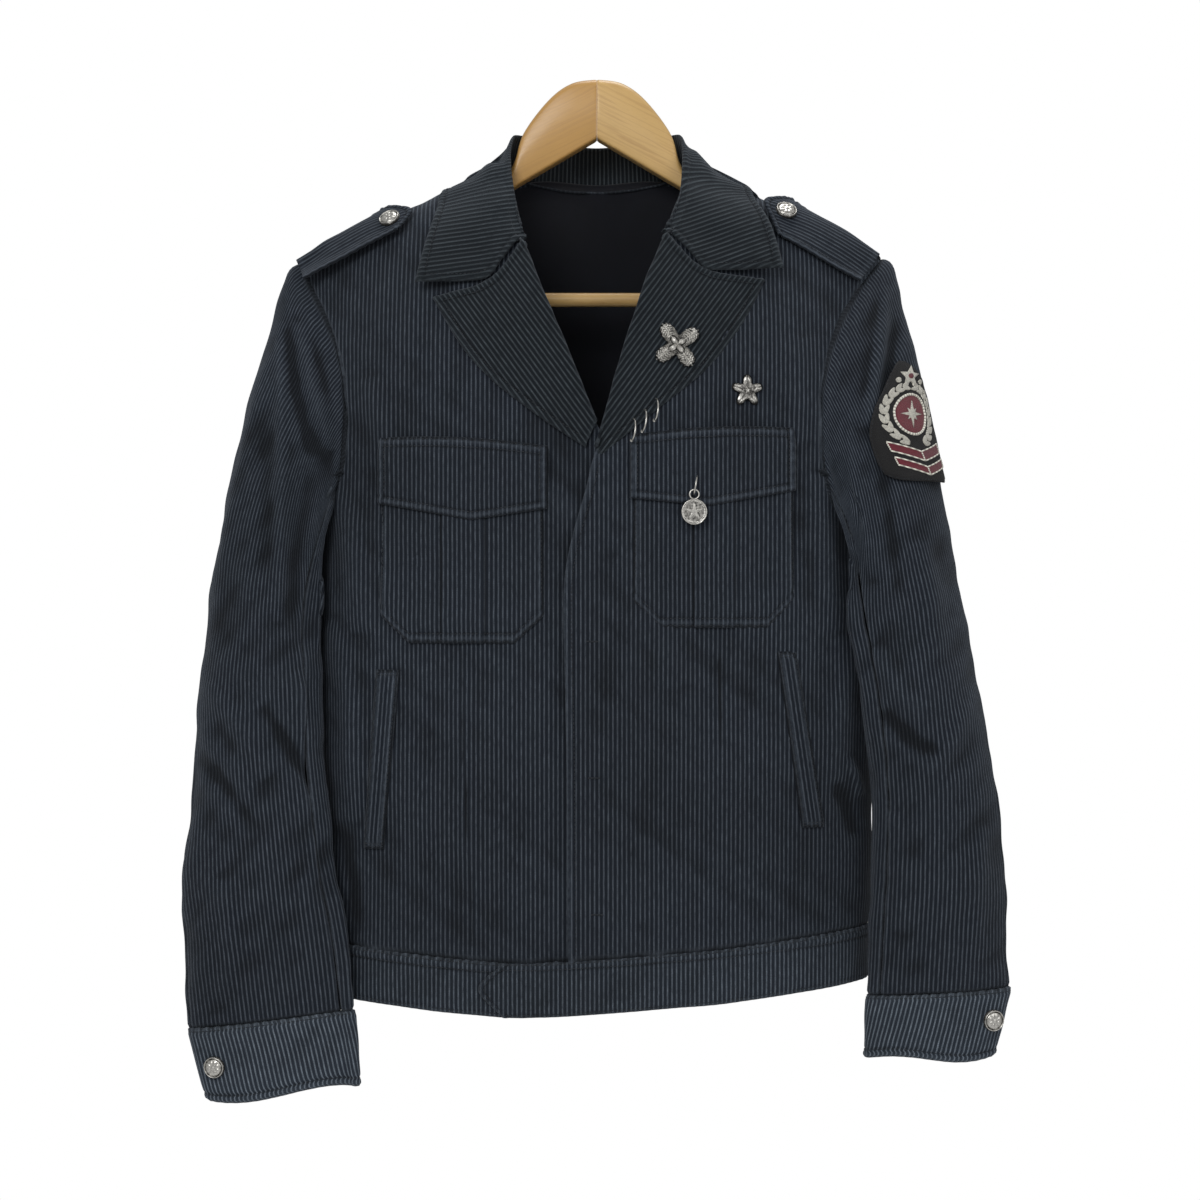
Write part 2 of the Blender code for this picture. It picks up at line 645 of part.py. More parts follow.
def sleeve_grid(side, piece, rows_top, rows_low, columns, tree=None):
    """Top sleeve or under sleeve, from the armhole to the cuff seam."""
    grid = []
    for i in range(rows_top + rows_low + 1):
        if i <= rows_top:
            t = between(0.012, 1.0, (i / rows_top) ** 1.25)
        else:
            t = 1.0 + (i - rows_top) / rows_low
        share = min(1.0, t / 2.0)
        hind = between(HIND_SEAM[0], HIND_SEAM[1], smooth(share * 1.25))
        front = between(FRONT_SEAM[0], FRONT_SEAM[1], share)
        hind_gap = seam_turn(side, t, hind)
        tuck = math.sin(math.pi * min(t, 1.0)) ** 0.8
        front_gap = seam_turn(side, t, front) * (1.0 + UNDERARM_SEAM * tuck)
        if piece == "top":
            start, end = hind + hind_gap, front - front_gap
        else:
            start, end = front + front_gap, hind + 360.0 - hind_gap
        turns = [between(start, end, j / columns) for j in range(columns + 1)]
        if piece == "under":
            side_turn = max(wrap_turn(side, t), start + 20.0)
            turns = [between(start, side_turn, j / UNDER_FRONT) for j in range(UNDER_FRONT)]
            turns += [between(side_turn, end, j / (columns - UNDER_FRONT))
                      for j in range(columns - UNDER_FRONT + 1)]
        row = [sleeve_point(side, t, turn) for turn in turns]
        room = UNDER_CLEAR * smooth((t - 0.02) / 0.25)
        if tree and room > 0.001:
            row = [nearest_out(tree, point, room) if turn > PUSH_FROM and point.z < PUSH_BELOW
                   else point for turn, point in zip(turns, row)]
        grid.append(row)
    return grid


def cuff_grid(side, rows, columns):
    """Flat cuff, a closed ring hung below the sleeve's end."""
    cuff, last = CUFFS[side], SLEEVES[side][-1]
    grid = []
    for i in range(rows + 1):
        f = i / rows
        row = []
        for j in range(columns):
            turn = 2 * math.pi * j / columns
            x_out = between(last.outer + CUFF_LIFT, cuff.x_outer, f)
            x_in = between(last.inner - CUFF_LIFT, cuff.x_inner, f)
            z_out = between(cuff.outer_top, cuff.outer_low, f)
            z_in = between(cuff.inner_top, cuff.inner_low, f)
            wave = 0.0035 * f * math.sin(1.7 * math.pi * (0.5 - 0.5 * math.cos(turn)) + 0.4)
            x = (x_out + x_in) / 2 + (x_out - x_in) / 2 * math.cos(turn)
            z = (z_out + z_in) / 2 + (z_out - z_in) / 2 * math.cos(turn) - wave
            squash = abs(math.sin(turn)) ** 0.8
            y = -last.forward - (CUFF_DEPTH + CUFF_LIFT) * math.copysign(squash, math.sin(turn))
            y = clear_of_trunk(side, x, y, z, math.degrees(turn), 1.0)
            row.append(Vector((side * x, y, z)))
        grid.append(row)
    return grid


def make_material(name, colour, roughness, metallic=0.0):
    material = bpy.data.materials.new(name)
    material.use_nodes = True
    shader = material.node_tree.nodes["Principled BSDF"]
    shader.inputs["Base Color"].default_value = (*colour, 1.0)
    shader.inputs["Roughness"].default_value = roughness
    shader.inputs["Metallic"].default_value = metallic
    return material


Finish = namedtuple("Finish", "colour roughness metallic")
CLOTH = Finish((0.018, 0.024, 0.034), 0.85, 0.0)
COLLAR_CLOTH = Finish((0.017, 0.024, 0.029), 0.85, 0.0)
LINING_CLOTH = Finish((0.004, 0.005, 0.010), 0.55, 0.0)
WOOD = Finish((0.62, 0.40, 0.17), 0.42, 0.0)
SILVER = Finish((0.55, 0.54, 0.50), 0.30, 1.0)
FELT = Finish((0.012, 0.012, 0.014), 0.95, 0.0)


def start_scene():
    for obj in list(bpy.data.objects):
        bpy.data.objects.remove(obj, do_unlink=True)
    parts = bpy.data.collections.new("blazer")
    cutters = bpy.data.collections.new("cutters")
    bpy.context.scene.collection.children.link(parts)
    bpy.context.scene.collection.children.link(cutters)
    return parts, cutters


def add_object(name, mesh, finish, collection):
    obj = bpy.data.objects.new(name, mesh)
    collection.objects.link(obj)
    if finish is not None:
        mesh.materials.append(make_material(name, *finish))
    return obj


def faces_of(rows, columns, closed):
    across = columns if closed else columns - 1
    return [(i * columns + j, i * columns + (j + 1) % columns,
             (i + 1) * columns + (j + 1) % columns, (i + 1) * columns + j)
            for i in range(rows - 1) for j in range(across)]


def cloth_object(name, grid, finish, collection, closed=False, flip=False, wall=WALL):
    """A cloth piece: an open surface through a grid of points, given its wall."""
    columns = len(grid[0])
    faces = faces_of(len(grid), columns, closed)
    if flip:
        faces = [face[::-1] for face in faces]
    mesh = bpy.data.meshes.new(name)
    mesh.from_pydata([tuple(point) for row in grid for point in row], [], faces)
    obj = add_object(name, mesh, finish, collection)
    solidify = obj.modifiers.new("wall", "SOLIDIFY")
    solidify.thickness = wall
    solidify.offset = -1.0
    solidify.use_quality_normals = True
    mesh.shade_smooth()
    return obj


def nearest_out(tree, point, gap):
    """Moves a point out of a surface until it is clear of it by gap."""
    place, normal, _, _ = tree.find_nearest(point)
    away = point - place
    if away.dot(normal) < 0.0:
        return place + normal * gap
    if away.length < gap:
        return place + away.normalized() * gap
    return point


def surface_tree(grids):
    """A search tree over the outside of several grids, faces pointing out."""
    points, faces = [], []
    for grid, flip in grids:
        start, columns = len(points), len(grid[0])
        points += [point for row in grid for point in row]
        for face in faces_of(len(grid), columns, False):
            face = tuple(start + k for k in (face[::-1] if flip else face))
            faces += [face[:3], (face[0], face[2], face[3])]
    return BVHTree.FromPolygons(points, faces)


def tent(u, peak):
    return u / peak if u < peak else (1.0 - u) / (1.0 - peak)


def lapel_grid(side, rows, columns):
    """Lapel from its roll line out to its edge, lying on the front."""
    lapel = LAPELS[side]
    grid = []
    for i in range(rows + 1):
        v = i / rows
        z_roll = between(lapel.roll_top - SEAM, lapel.roll_low, v)
        roll = (read_table(FRONT_EDGES[side], "x", z_roll), z_roll)
        edge = along(lapel.edge, v)
        top_roll = (read_table(FRONT_EDGES[side], "x", lapel.roll_top), lapel.roll_top)
        bend = [n - between(a, b, NOTCH_SHARE)
                for n, a, b in zip(lapel.notch, top_roll, lapel.edge[0])]
        fade = (1.0 - v) ** 5
        row = [on_front(side, roll[0] + side * 0.0004, roll[1], -0.0006),
               on_front(side, roll[0] - side * 0.0008, roll[1], 0.0012),
               on_front(side, roll[0] + side * 0.0004, roll[1], LAPEL_LIFT + LAPEL_ROLL * 0.75)]
        for j in range(1, columns + 1):
            u = (j / columns) ** 1.2
            x, z = [between(a, b, u) + bent * fade * tent(u, NOTCH_SHARE)
                    for a, b, bent in zip(roll, edge, bend)]
            lift = LAPEL_LIFT + LAPEL_ROLL * math.exp(-4.0 * u) * (1.0 - 0.6 * v)
            row.append(on_front(side, x, z, lift))
        grid.append(row)
    return grid


def collar_grid(stations, tree):
    """Collar in one wall: the stand up to its fold, and the fall down to its edge."""
    grid = []
    for i in range(-stations, stations + 1):
        side = -1 if i < 0 else 1
        s = 1.0 - abs(i) / stations
        seam, fold, edge = (Vector(along(line, s))
                            for line in (COLLAR_SEAM, COLLAR_FOLD, COLLAR_EDGES[side]))
        for point in (seam, fold, edge):
            point.x *= side
        lapel = LAPELS[side]
        corner = Vector((read_table(FRONT_EDGES[side], "x", lapel.roll_top), COLLAR_FOLD[0][1],
                         lapel.roll_top + 2 * SEAM))
        first = Vector(COLLAR_FOLD[0])
        first.x *= side
        shift = (corner - first) * max(0.0, 1.0 - (stations - abs(i)) / 3)
        seam, fold = seam + shift, fold + shift
        up = (fold - seam).normalized()
        out = (edge - fold).normalized()
        crest = fold + up * 0.0016 + out * 0.0018
        turn = nearest_out(tree, fold + out * 0.0042, STAND_CLEAR)
        row = [seam, (seam + fold) / 2, fold, crest, turn]
        for k in range(1, 6):
            t = k / 5
            point = between(turn, edge, t)
            if abs(i) >= stations - 1:
                fade = 1.0 if abs(i) == stations else 0.30
                mid = between(fold, edge, NOTCH_SHARE)
                bend = Vector((lapel.notch[0] - mid.x, 0.0, lapel.notch[1] + NOTCH_GAP - mid.z))
                point = point + bend * fade * tent(t, NOTCH_SHARE)
            near = math.exp(-(point.y / RIDGE_WIDTH) ** 2)
            row.append(nearest_out(tree, point, COLLAR_CLEAR + COLLAR_OVER_RIDGE * near))
        grid.append(row)
    return grid


def strap_grid(side, tree, rows, columns):
    """Shoulder strap, flat and tilted forward, pressed down at the armhole."""
    strap = STRAPS[side]
    low_out, high_out, low_in, high_in, tip = (Vector((side * c[0], c[1], c[2])) for c in strap)
    reach = tip - (low_in + high_in) / 2
    grid = []
    for i in range(rows + 1):
        u = i / rows
        row = []
        for j in range(columns + 1):
            v = j / columns
            low, high = between(low_out, low_in, u), between(high_out, high_in, u)
            point = between(low, high, v) + reach * (1.0 - abs(2 * v - 1)) * smooth((u - 0.55) / 0.45)
            near = math.exp(-(point.y / RIDGE_WIDTH) ** 2)
            clear = between(STRAP_SEAT, STRAP_CLEAR, smooth(u / 0.35))
            row.append(nearest_out(tree, point, clear + STRAP_OVER_RIDGE * near))
        grid.append(row)
    return grid


def pocket_grid(side, rows):
    """Patch pocket with cut corners and a raised box pleat down its middle."""
    pocket = POCKETS[side]
    width = pocket.right - pocket.left
    corner = pocket.corner_x / width
    pleats = [(edge - pocket.left) / width for edge in (pocket.pleat_left, pocket.pleat_right)]
    step = 0.0014 / width
    shares = [0.0, corner * 0.5, corner, pleats[0] - step, pleats[0] + step, sum(pleats) / 2,
              pleats[1] - step, pleats[1] + step, 1.0 - corner, 1.0 - corner * 0.5, 1.0]
    grid = []
    for i in range(rows + 1):
        row = []
        for u in shares:
            cut = max(0.0, 1.0 - min(u, 1.0 - u) / corner)
            low = pocket.low + pocket.corner_z * cut
            rise = PLEAT_RISE if pleats[0] < u < pleats[1] else 0.0
            x = between(pocket.left, pocket.right, u)
            row.append(on_front(side, x, between(pocket.top, low, i / rows), POCKET_LIFT + rise))
        grid.append(row)
    return grid


def flap_point(side, u, v):
    """A place on a pocket flap: u runs across it, v from its top down."""
    flap = FLAPS[side]
    peak = (flap.point_x - flap.left) / (flap.right - flap.left)
    top = between(flap.top_left, flap.top_right, u) + 0.0030 * math.sin(math.pi * u)
    line = between(flap.low_left, flap.low_right, u)
    low = line + (flap.point_z - between(flap.low_left, flap.low_right, peak)) * tent(u, peak)
    lift = FLAP_LIFT + FLAP_STAND * smooth((v - 0.02) / 0.22)
    return on_front(side, between(flap.left, flap.right, u), between(top, low, v), lift)


def flap_grid(side, rows, columns):
    return [[flap_point(side, j / columns, i / rows) for j in range(columns + 1)]
            for i in range(rows + 1)]


def welt_grid(side, rows):
    welt = WELTS[side]
    grid = []
    for i in range(rows + 1):
        f = i / rows
        left, right = between(welt.top_left, welt.low_left, f), between(welt.top_right, welt.low_right, f)
        grid.append([on_front(side, between(left, right, u), between(welt.top, welt.low, f), 0.0021)
                     for u in (0.0, 0.5, 1.0)])
    return grid


def band_grid(rows, front, behind):
    """Waistband, from its pointed end over the closing round to its plain end."""
    width = read_table(TRUNK, "half_width", HEM_LEVEL)
    grid = []
    for i in range(rows + 1):
        v = i / rows
        tip = TAB_START - TAB_POINT * (1.0 - abs(2 * v - 1))
        starts = (math.asin(tip / width), math.asin(BAND_END / width))
        turns = [between(starts[0], math.pi / 2, j / front) for j in range(front + 1)]
        turns += [math.pi / 2 + math.pi * j / behind for j in range(1, behind + 1)]
        turns += [between(1.5 * math.pi, 2 * math.pi + starts[1], j / (front - 3))
                  for j in range(1, front - 2)]
        row = []
        for k, turn in enumerate(turns):
            x = width * math.sin(turn)
            z = band_z(x) - SEAM - BAND_HEIGHT * v
            if math.cos(turn) < 1e-9 and front < k < front + behind:
                y = trunk_y(x, z, 1)
                row.append(Vector((x, y, z)) + outward(x, z, 1) * BAND_LIFT)
            else:
                side = 1 if k <= front else -1
                lift = front_lift(side, x) + BAND_LIFT
                y = trunk_y(x, z, -1)
                row.append(Vector((x, y, z)) + outward(x * 0.999, z, -1) * lift)
        grid.append(row)
    return grid


def lining_grid(rows, columns):
    """The part of the lining that shows through the neck: inside the back."""
    grid = []
    for i in range(rows + 1):
        row = []
        for j in range(columns + 1):
            x = between(-0.165, 0.165, j / columns)
            top = min(-0.0840, ridge(x) - 0.020)
            z = between(top, -0.600, i / rows)
            row.append(Vector((x, trunk_y(x, z, 1), z)) - outward(x, z, 1) * LINING_IN)
        grid.append(row)
    return grid


def hanger_top(x):
    x = abs(x)
    if x < HANGER_ARCH[-1][0]:
        for k in range(41):
            place = along(HANGER_ARCH, k / 40)
            if place[0] >= x:
                return place[1]
    return ridge(x) - HANGER_UNDER


def hanger_low(x):
    line = HANGER_LOW - HANGER_LOW_SLOPE * abs(x)
    return between(line, BOSS_LOW, smooth((abs(x) - BOSS_FROM) / (BOSS_TO - BOSS_FROM)))


def hanger_object(parts, cutters):
    """Wooden hanger: a loft of rounded sections, with a blind hole for the bar each side."""
    places = [0.0, 0.012, 0.024, 0.036, 0.047, 0.0555, 0.0635, 0.071, 0.110, 0.140, 0.163, 0.170,
              0.177, 0.184, 0.196, 0.204, HANGER_END]
    places = [-x for x in places[:0:-1]] + places
    points, faces = [], []
    for x in places:
        end = 1.0 if abs(x) < 0.2 else 0.72 if abs(x) > 0.206 else 0.92
        top, low, half = hanger_top(x), hanger_low(x), HANGER_HALF * end
        top, low = between(low, top, 0.5 + end / 2), between(top, low, 0.5 + end / 2)
        crown = HANGER_CROWN * smooth((abs(x) - 0.05) / 0.03)
        section = [(0.0, top), (0.62 * half, top - 0.0012 - 0.3 * crown),
                   (half, top - 0.0050 - crown), (half, low + 0.0014), (half - 0.0014, low)]
        ring = section + [(-y, z) for y, z in reversed(section[1:])]
        points += [(x, y, z) for y, z in ring]
    count = len(points) // len(places)
    for i in range(len(places) - 1):
        for j in range(count):
            k = (j + 1) % count
            faces.append((i * count + j, (i + 1) * count + j, (i + 1) * count + k, i * count + k))
    last = len(points) - count
    faces += [tuple(range(count)), tuple(range(last, last + count))[::-1]]
    mesh = bpy.data.meshes.new("hanger")
    mesh.from_pydata(points, [], faces)
    hanger = add_object("hanger", mesh, WOOD, parts)
    cutter = turned_rod("bar_socket", BAR_RADIUS + FIT_GAP, BAR_END + FIT_GAP, cutters, None)
    cutter.hide_render = True
    cutter.display_type = "WIRE"
    cut = hanger.modifiers.new("bar_socket", "BOOLEAN")
    cut.operation, cut.object, cut.solver = "DIFFERENCE", cutter, "EXACT"
    turned_rod("hanger_bar", BAR_RADIUS, BAR_END, parts, WOOD)


def turned_rod(name, radius, half_length, collection, finish):
    mesh = bpy.data.meshes.new(name)
    shape = bmesh.new()
    bmesh.ops.create_cone(shape, cap_ends=True, segments=18, radius1=radius, radius2=radius,
                          depth=2 * half_length)
    shape.to_mesh(mesh)
    shape.free()
    rod = add_object(name, mesh, finish, collection)
    rod.rotation_euler = (0.0, math.pi / 2, 0.0)
    rod.location = (0.0, 0.0, BAR_Z)
    return rod


def face_along(obj, place, normal):
    """Puts a flat trimming on a surface, its face along the surface's normal."""
    obj.rotation_mode = "QUATERNION"
    obj.rotation_quaternion = Vector(normal).to_track_quat("Z", "X")
    obj.location = place


def turned_object(name, profile, segments, finish, collection):
    """A turned shape about Z from a profile of radius and height."""
    mesh = bpy.data.meshes.new(name)
    edges = [(i, i + 1) for i in range(len(profile) - 1)]
    mesh.from_pydata([(r, 0.0, z) for r, z in profile], edges, [])
    obj = add_object(name, mesh, finish, collection)
    screw = obj.modifiers.new("turn", "SCREW")
    screw.steps = screw.render_steps = segments
    screw.use_merge_vertices = True
    screw.merge_threshold = 0.00005
    screw.use_normal_calculate = True
    return obj


BUTTON_PROFILE = [(0.0, 0.80), (0.45, 0.74), (0.72, 0.52), (0.84, 0.62), (0.95, 0.58), (1.0, 0.36),
                  (0.96, 0.10), (0.0, 0.0)]


def button_object(name, place, normal, parts):
    profile = [(r * BUTTON_RADIUS, z * BUTTON_HEIGHT / 0.8) for r, z in BUTTON_PROFILE]
    obj = turned_object(name, profile, 12, SILVER, parts)
    face_along(obj, Vector(place) + Vector(normal) * FIT_GAP, normal)


def rosette_object(name, radius, height, lobes, depth, rings, parts):
    """A low relief with lobes, flat behind: a generic ornament."""
    mesh = bpy.data.meshes.new(name)
    around = lobes * 5
    points, faces = [(0.0, 0.0, height), (0.0, 0.0, 0.0)], []
    for f, z in rings:
        for k in range(around):
            turn = 2 * math.pi * k / around
            lobe = 1.0 - depth * f * (0.5 - 0.5 * math.cos(lobes * turn)) ** 1.4
            points.append((radius * f * lobe * math.cos(turn), radius * f * lobe * math.sin(turn),
                           height * z))
    for k in range(around):
        n = (k + 1) % around
        faces.append((0, 2 + k, 2 + n))
        for r in range(len(rings) - 1):
            a, b = 2 + r * around, 2 + (r + 1) * around
            faces.append((a + k, b + k, b + n, a + n))
        last = 2 + (len(rings) - 1) * around
        faces.append((1, last + n, last + k))
    mesh.from_pydata(points, [], faces)
    return add_object(name, mesh, SILVER, parts)


def wire_object(name, points, parts, ball):
    """A bent wire with round ends, or a ball on its free end."""
    curve = bpy.data.curves.new(name, "CURVE")
    curve.dimensions = "3D"
    spline = curve.splines.new("POLY")
    spline.points.add(len(points) - 1)
    for i, (knot, point) in enumerate(zip(spline.points, points)):
        knot.co = (*point, 1.0)
        if ball and i >= len(points) - 4:
            knot.radius = (1.0, 2.0, 2.2, 1.2)[i - len(points) + 4]
    curve.bevel_depth = WIRE_RADIUS
    curve.bevel_resolution = 1
    curve.use_fill_caps = True
    curve.materials.append(make_material(name, *SILVER))
    obj = bpy.data.objects.new(name, curve)
    parts.objects.link(obj)
    return obj


def hoop_points(start, end, count, bulge, side_bulge):
    """A half round of wire from one place to another, standing off the cloth."""
    middle = (start + end) / 2
    half = (start - end) / 2
    points = []
    for k in range(count + 1):
        turn = math.pi * k / count
        points.append(middle + half * math.cos(turn)
                      + Vector((side_bulge, -bulge, 0.0)) * math.sin(turn))
    return points


def halve(low, high, too_low):
    """The value between two others at which a test turns from true to false."""
    for _ in range(18):
        middle = (low + high) / 2
        if too_low(middle):
            low = middle
        else:
            high = middle
    return (low + high) / 2


def sleeve_share(side, degrees, z):
    """Share along the sleeve that reaches height z at a turn about it."""
    return halve(0.02, 1.4, lambda t: sleeve_point(side, t, degrees).z > z)


def patch_grid(rows, columns, tree):
    """Felt patch bent round the wearer's left sleeve."""
    grid = []
    for i in range(rows + 1):
        z, x, back = along([tuple(r) for r in PATCH], i / rows)
        front = halve(0.0, 130.0, lambda d: sleeve_point(1, sleeve_share(1, d, z), d).x > x)
        row = []
        for j in range(columns + 1):
            degrees = between(min(back, front - 4.0), front, j / columns)
            point = off_sleeve(1, sleeve_share(1, degrees, z), degrees, PATCH_LIFT)
            row.append(nearest_out(tree, point, PATCH_CLEAR))
        grid.append(row)
    return grid


def off_sleeve(side, t, degrees, lift):
    """A point off the sleeve's outside, along its normal."""
    along_t = sleeve_point(side, t + 0.08, degrees) - sleeve_point(side, t - 0.08, degrees)
    around = sleeve_point(side, t, degrees + 9.0) - sleeve_point(side, t, degrees - 9.0)
    normal = along_t.cross(around).normalized() * side
    centre = sleeve_point(side, t, 90.0) * 0.5 + sleeve_point(side, t, 270.0) * 0.5
    point = sleeve_point(side, t, degrees)
    if normal.dot(point - centre) < 0:
        normal = -normal
    return point + normal * lift


def make_body(parts):
    for side, name in ((-1, "front_right"), (1, "front_left")):
        cloth_object(name, front_grid(side, 9, 5, 9), CLOTH, parts, flip=side > 0)
    cloth_object("back", back_grid(9, 5), CLOTH, parts)


def make_sleeves(parts, body):
    for side, hand in ((-1, "right"), (1, "left")):
        for piece, columns in (("top", 13), ("under", 12)):
            grid = sleeve_grid(side, piece, 7, 8, columns, body)
            cloth_object(f"{piece}_sleeve_{hand}", grid, CLOTH, parts, flip=side < 0)
        cloth_object(f"cuff_{hand}", cuff_grid(side, 2, 20), CLOTH, parts, closed=True,
                     flip=side < 0)
    tree = surface_tree([(sleeve_grid(1, "top", 7, 8, 13), False)])
    cloth_object("sleeve_patch", patch_grid(6, 6, tree), FELT, parts, wall=PATCH_WALL)


def make_collar(parts, tree):
    cloth_object("collar", collar_grid(11, tree), COLLAR_CLOTH, parts, flip=True,
                 wall=COLLAR_WALL)
    for side, hand in ((-1, "right"), (1, "left")):
        cloth_object(f"lapel_{hand}", lapel_grid(side, 8, 5), COLLAR_CLOTH, parts, flip=side > 0,
                     wall=TRIM_WALL)
        grid = strap_grid(side, tree, 6, 4)
        cloth_object(f"shoulder_strap_{hand}", grid, CLOTH, parts, flip=side < 0, wall=TRIM_WALL)
        normal = (grid[5][3] - grid[4][2]).cross(grid[5][1] - grid[4][2]).normalized() * side
        if normal.z < 0:
            normal = -normal
        button_object(f"strap_button_{hand}", grid[5][2] + normal * FIT_GAP, normal, parts)


def make_trimmings(parts):
    for side, hand in ((-1, "right"), (1, "left")):
        cloth_object(f"chest_pocket_{hand}", pocket_grid(side, 5), CLOTH, parts, flip=True,
                     wall=TRIM_WALL)
        cloth_object(f"pocket_flap_{hand}", flap_grid(side, 4, 8), CLOTH, parts, flip=True,
                     wall=TRIM_WALL)
        cloth_object(f"side_welt_{hand}", welt_grid(side, 4), CLOTH, parts, flip=True,
                     wall=TRIM_WALL)
    cloth_object("waistband", band_grid(2, 12, 14), CLOTH, parts, flip=True)
    cloth_object("lining", lining_grid(7, 6), LINING_CLOTH, parts, wall=LINING_WALL)


def front_place(side, x, z, lift):
    """A place off the front and the direction out of it there."""
    return on_front(side, x, z, lift), outward(x, z, -1)


def make_badges(parts):
    dome = [(0.35, 0.95), (0.62, 0.55), (0.85, 0.62), (1.0, 0.30), (1.0, 0.0)]
    lift = LAPEL_LIFT + LAPEL_ROLL * 0.35 + FIT_GAP
    for name, place, radius, lobes, depth, high in (
            ("lapel_brooch", BROOCH_PLACE, BROOCH_RADIUS, 4, 0.62, lift),
            ("chest_pin", PIN_PLACE, PIN_RADIUS, 5, 0.45, 2 * FIT_GAP)):
        badge = rosette_object(name, radius, 0.0034, lobes, depth, dome, parts)
        point, normal = front_place(1, *place, high)
        face_along(badge, point, normal)


def make_hoops(parts):
    for k, (start, end) in enumerate(HOOPS):
        first = on_front(1, *start, HOOP_LIFT)
        last = on_front(1, *end, HOOP_END_LIFT)
        wire_object(f"lapel_hoop_{k + 1}", hoop_points(first, last, 11, HOOP_BULGE, 0.0022), parts, True)


def medal_hoop_points():
    start, end = FLAP_HOOP
    lift = FLAP_LIFT + FLAP_STAND + WIRE_RADIUS
    return hoop_points(on_front(1, *start, lift), on_front(1, *end, lift), 14, HOOP_BULGE, 0.0)


def make_medal(parts):
    """The medal hangs by its eyelet from the hoop in the pocket flap."""
    points = medal_hoop_points()
    wire_object("flap_hoop", points, parts, False)
    pivot = points[EYELET_KNOT]
    eyelet_z = pivot.z - (EYELET_RADIUS - EYELET_WIRE - WIRE_RADIUS - EYELET_SLACK)
    middle = Vector((pivot.x, pivot.y, eyelet_z - EYELET_RADIUS - MEDAL_RADIUS + 0.0004))
    profile = [(0.0, 0.0011), (0.30, 0.0011), (0.62, 0.0007), (0.86, 0.0007), (0.90, 0.0012),
               (1.0, 0.0010), (1.0, -0.0008), (0.0, -0.0008)]
    medal = turned_object("medal", [(r * MEDAL_RADIUS, z) for r, z in profile], 20, SILVER, parts)
    medal.rotation_euler = (math.pi / 2, 0.0, 0.0)
    medal.location = middle
    bpy.ops.mesh.primitive_torus_add(major_radius=EYELET_RADIUS, minor_radius=EYELET_WIRE,
                                     major_segments=16, minor_segments=6,
                                     location=(pivot.x, pivot.y, eyelet_z),
                                     rotation=(math.pi / 2, 0.0, 0.0))
    ring = bpy.context.object
    ring.name = "medal_eyelet_union"
    ring.hide_render = True
    ring.display_type = "WIRE"
    for owner in list(ring.users_collection):
        owner.objects.unlink(ring)
    bpy.data.collections["cutters"].objects.link(ring)
    join = medal.modifiers.new("eyelet", "BOOLEAN")
    join.operation, join.object, join.solver = "UNION", ring, "EXACT"


def make_cuff_buttons(parts):
    for side, hand in ((-1, "right"), (1, "left")):
        x, z = CUFF_BUTTONS[side]
        grid = [row + row[:1] for row in cuff_grid(side, 2, 20)]
        cuff = surface_tree([(grid, side < 0)])
        place, normal, _, _ = cuff.ray_cast(Vector((side * x, -1.0, z)), Vector((0.0, 1.0, 0.0)))
        button_object(f"cuff_button_{hand}", place + normal * CUFF_BUTTON_LIFT, normal, parts)


def main():
    parts, cutters = start_scene()
    make_body(parts)
    panels = [(front_grid(-1, 9, 5, 9), False), (front_grid(1, 9, 5, 9), True),
              (back_grid(9, 5), False)]
    make_sleeves(parts, surface_tree(panels))
    tops = [(sleeve_grid(-1, "top", 7, 8, 13), True), (sleeve_grid(1, "top", 7, 8, 13), False)]
    tree = surface_tree(panels + tops)
    make_collar(parts, tree)
    make_trimmings(parts)
    make_badges(parts)
    make_hoops(parts)
    make_medal(parts)
    make_cuff_buttons(parts)
    hanger_object(parts, cutters)


main()
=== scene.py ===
"""Looks of the cropped military-style blazer on its wooden hanger.

Every cloth piece is made again as a fine sheet over its CAD solid, with its seams,
stitches and creases, and the wood and metal pieces get their finer shapes and finishes.
Metres, +Z up, the front faces -Y and the wearer's left is +X.
"""
import math
from collections import namedtuple

import bmesh
import bpy
import numpy as np
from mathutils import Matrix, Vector
from mathutils.bvhtree import BVHTree


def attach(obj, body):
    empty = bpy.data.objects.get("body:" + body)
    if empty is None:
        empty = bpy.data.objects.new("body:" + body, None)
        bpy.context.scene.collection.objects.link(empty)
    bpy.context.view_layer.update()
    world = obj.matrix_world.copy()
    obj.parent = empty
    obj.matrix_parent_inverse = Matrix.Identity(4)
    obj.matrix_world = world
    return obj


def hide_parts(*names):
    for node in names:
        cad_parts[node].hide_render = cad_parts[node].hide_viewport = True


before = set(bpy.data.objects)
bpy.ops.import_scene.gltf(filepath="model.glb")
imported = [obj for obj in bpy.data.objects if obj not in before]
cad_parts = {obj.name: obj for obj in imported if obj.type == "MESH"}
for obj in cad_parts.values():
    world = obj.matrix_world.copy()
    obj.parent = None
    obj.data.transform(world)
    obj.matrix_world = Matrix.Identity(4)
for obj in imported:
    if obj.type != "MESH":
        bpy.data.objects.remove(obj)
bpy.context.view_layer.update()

# Cloth walls and the gaps between pieces
WALL = 0.0016
TRIM_WALL = 0.0014
SEAM = 0.0005
SHOULDER_GAP = 0.0009

# Shoulder line, a straight slope on each side of the neck
NECK_HALF = 0.072
RIDGE_Z = -0.0635
RIDGE_SLOPE = 0.50
RIDGE_ROUND = 0.15

# Levels of the jacket
UNDERARM_Z = -0.345
HEM_LEVEL = -0.700
BAND_HEIGHT = 0.040
NECK_BACK_Z = -0.081

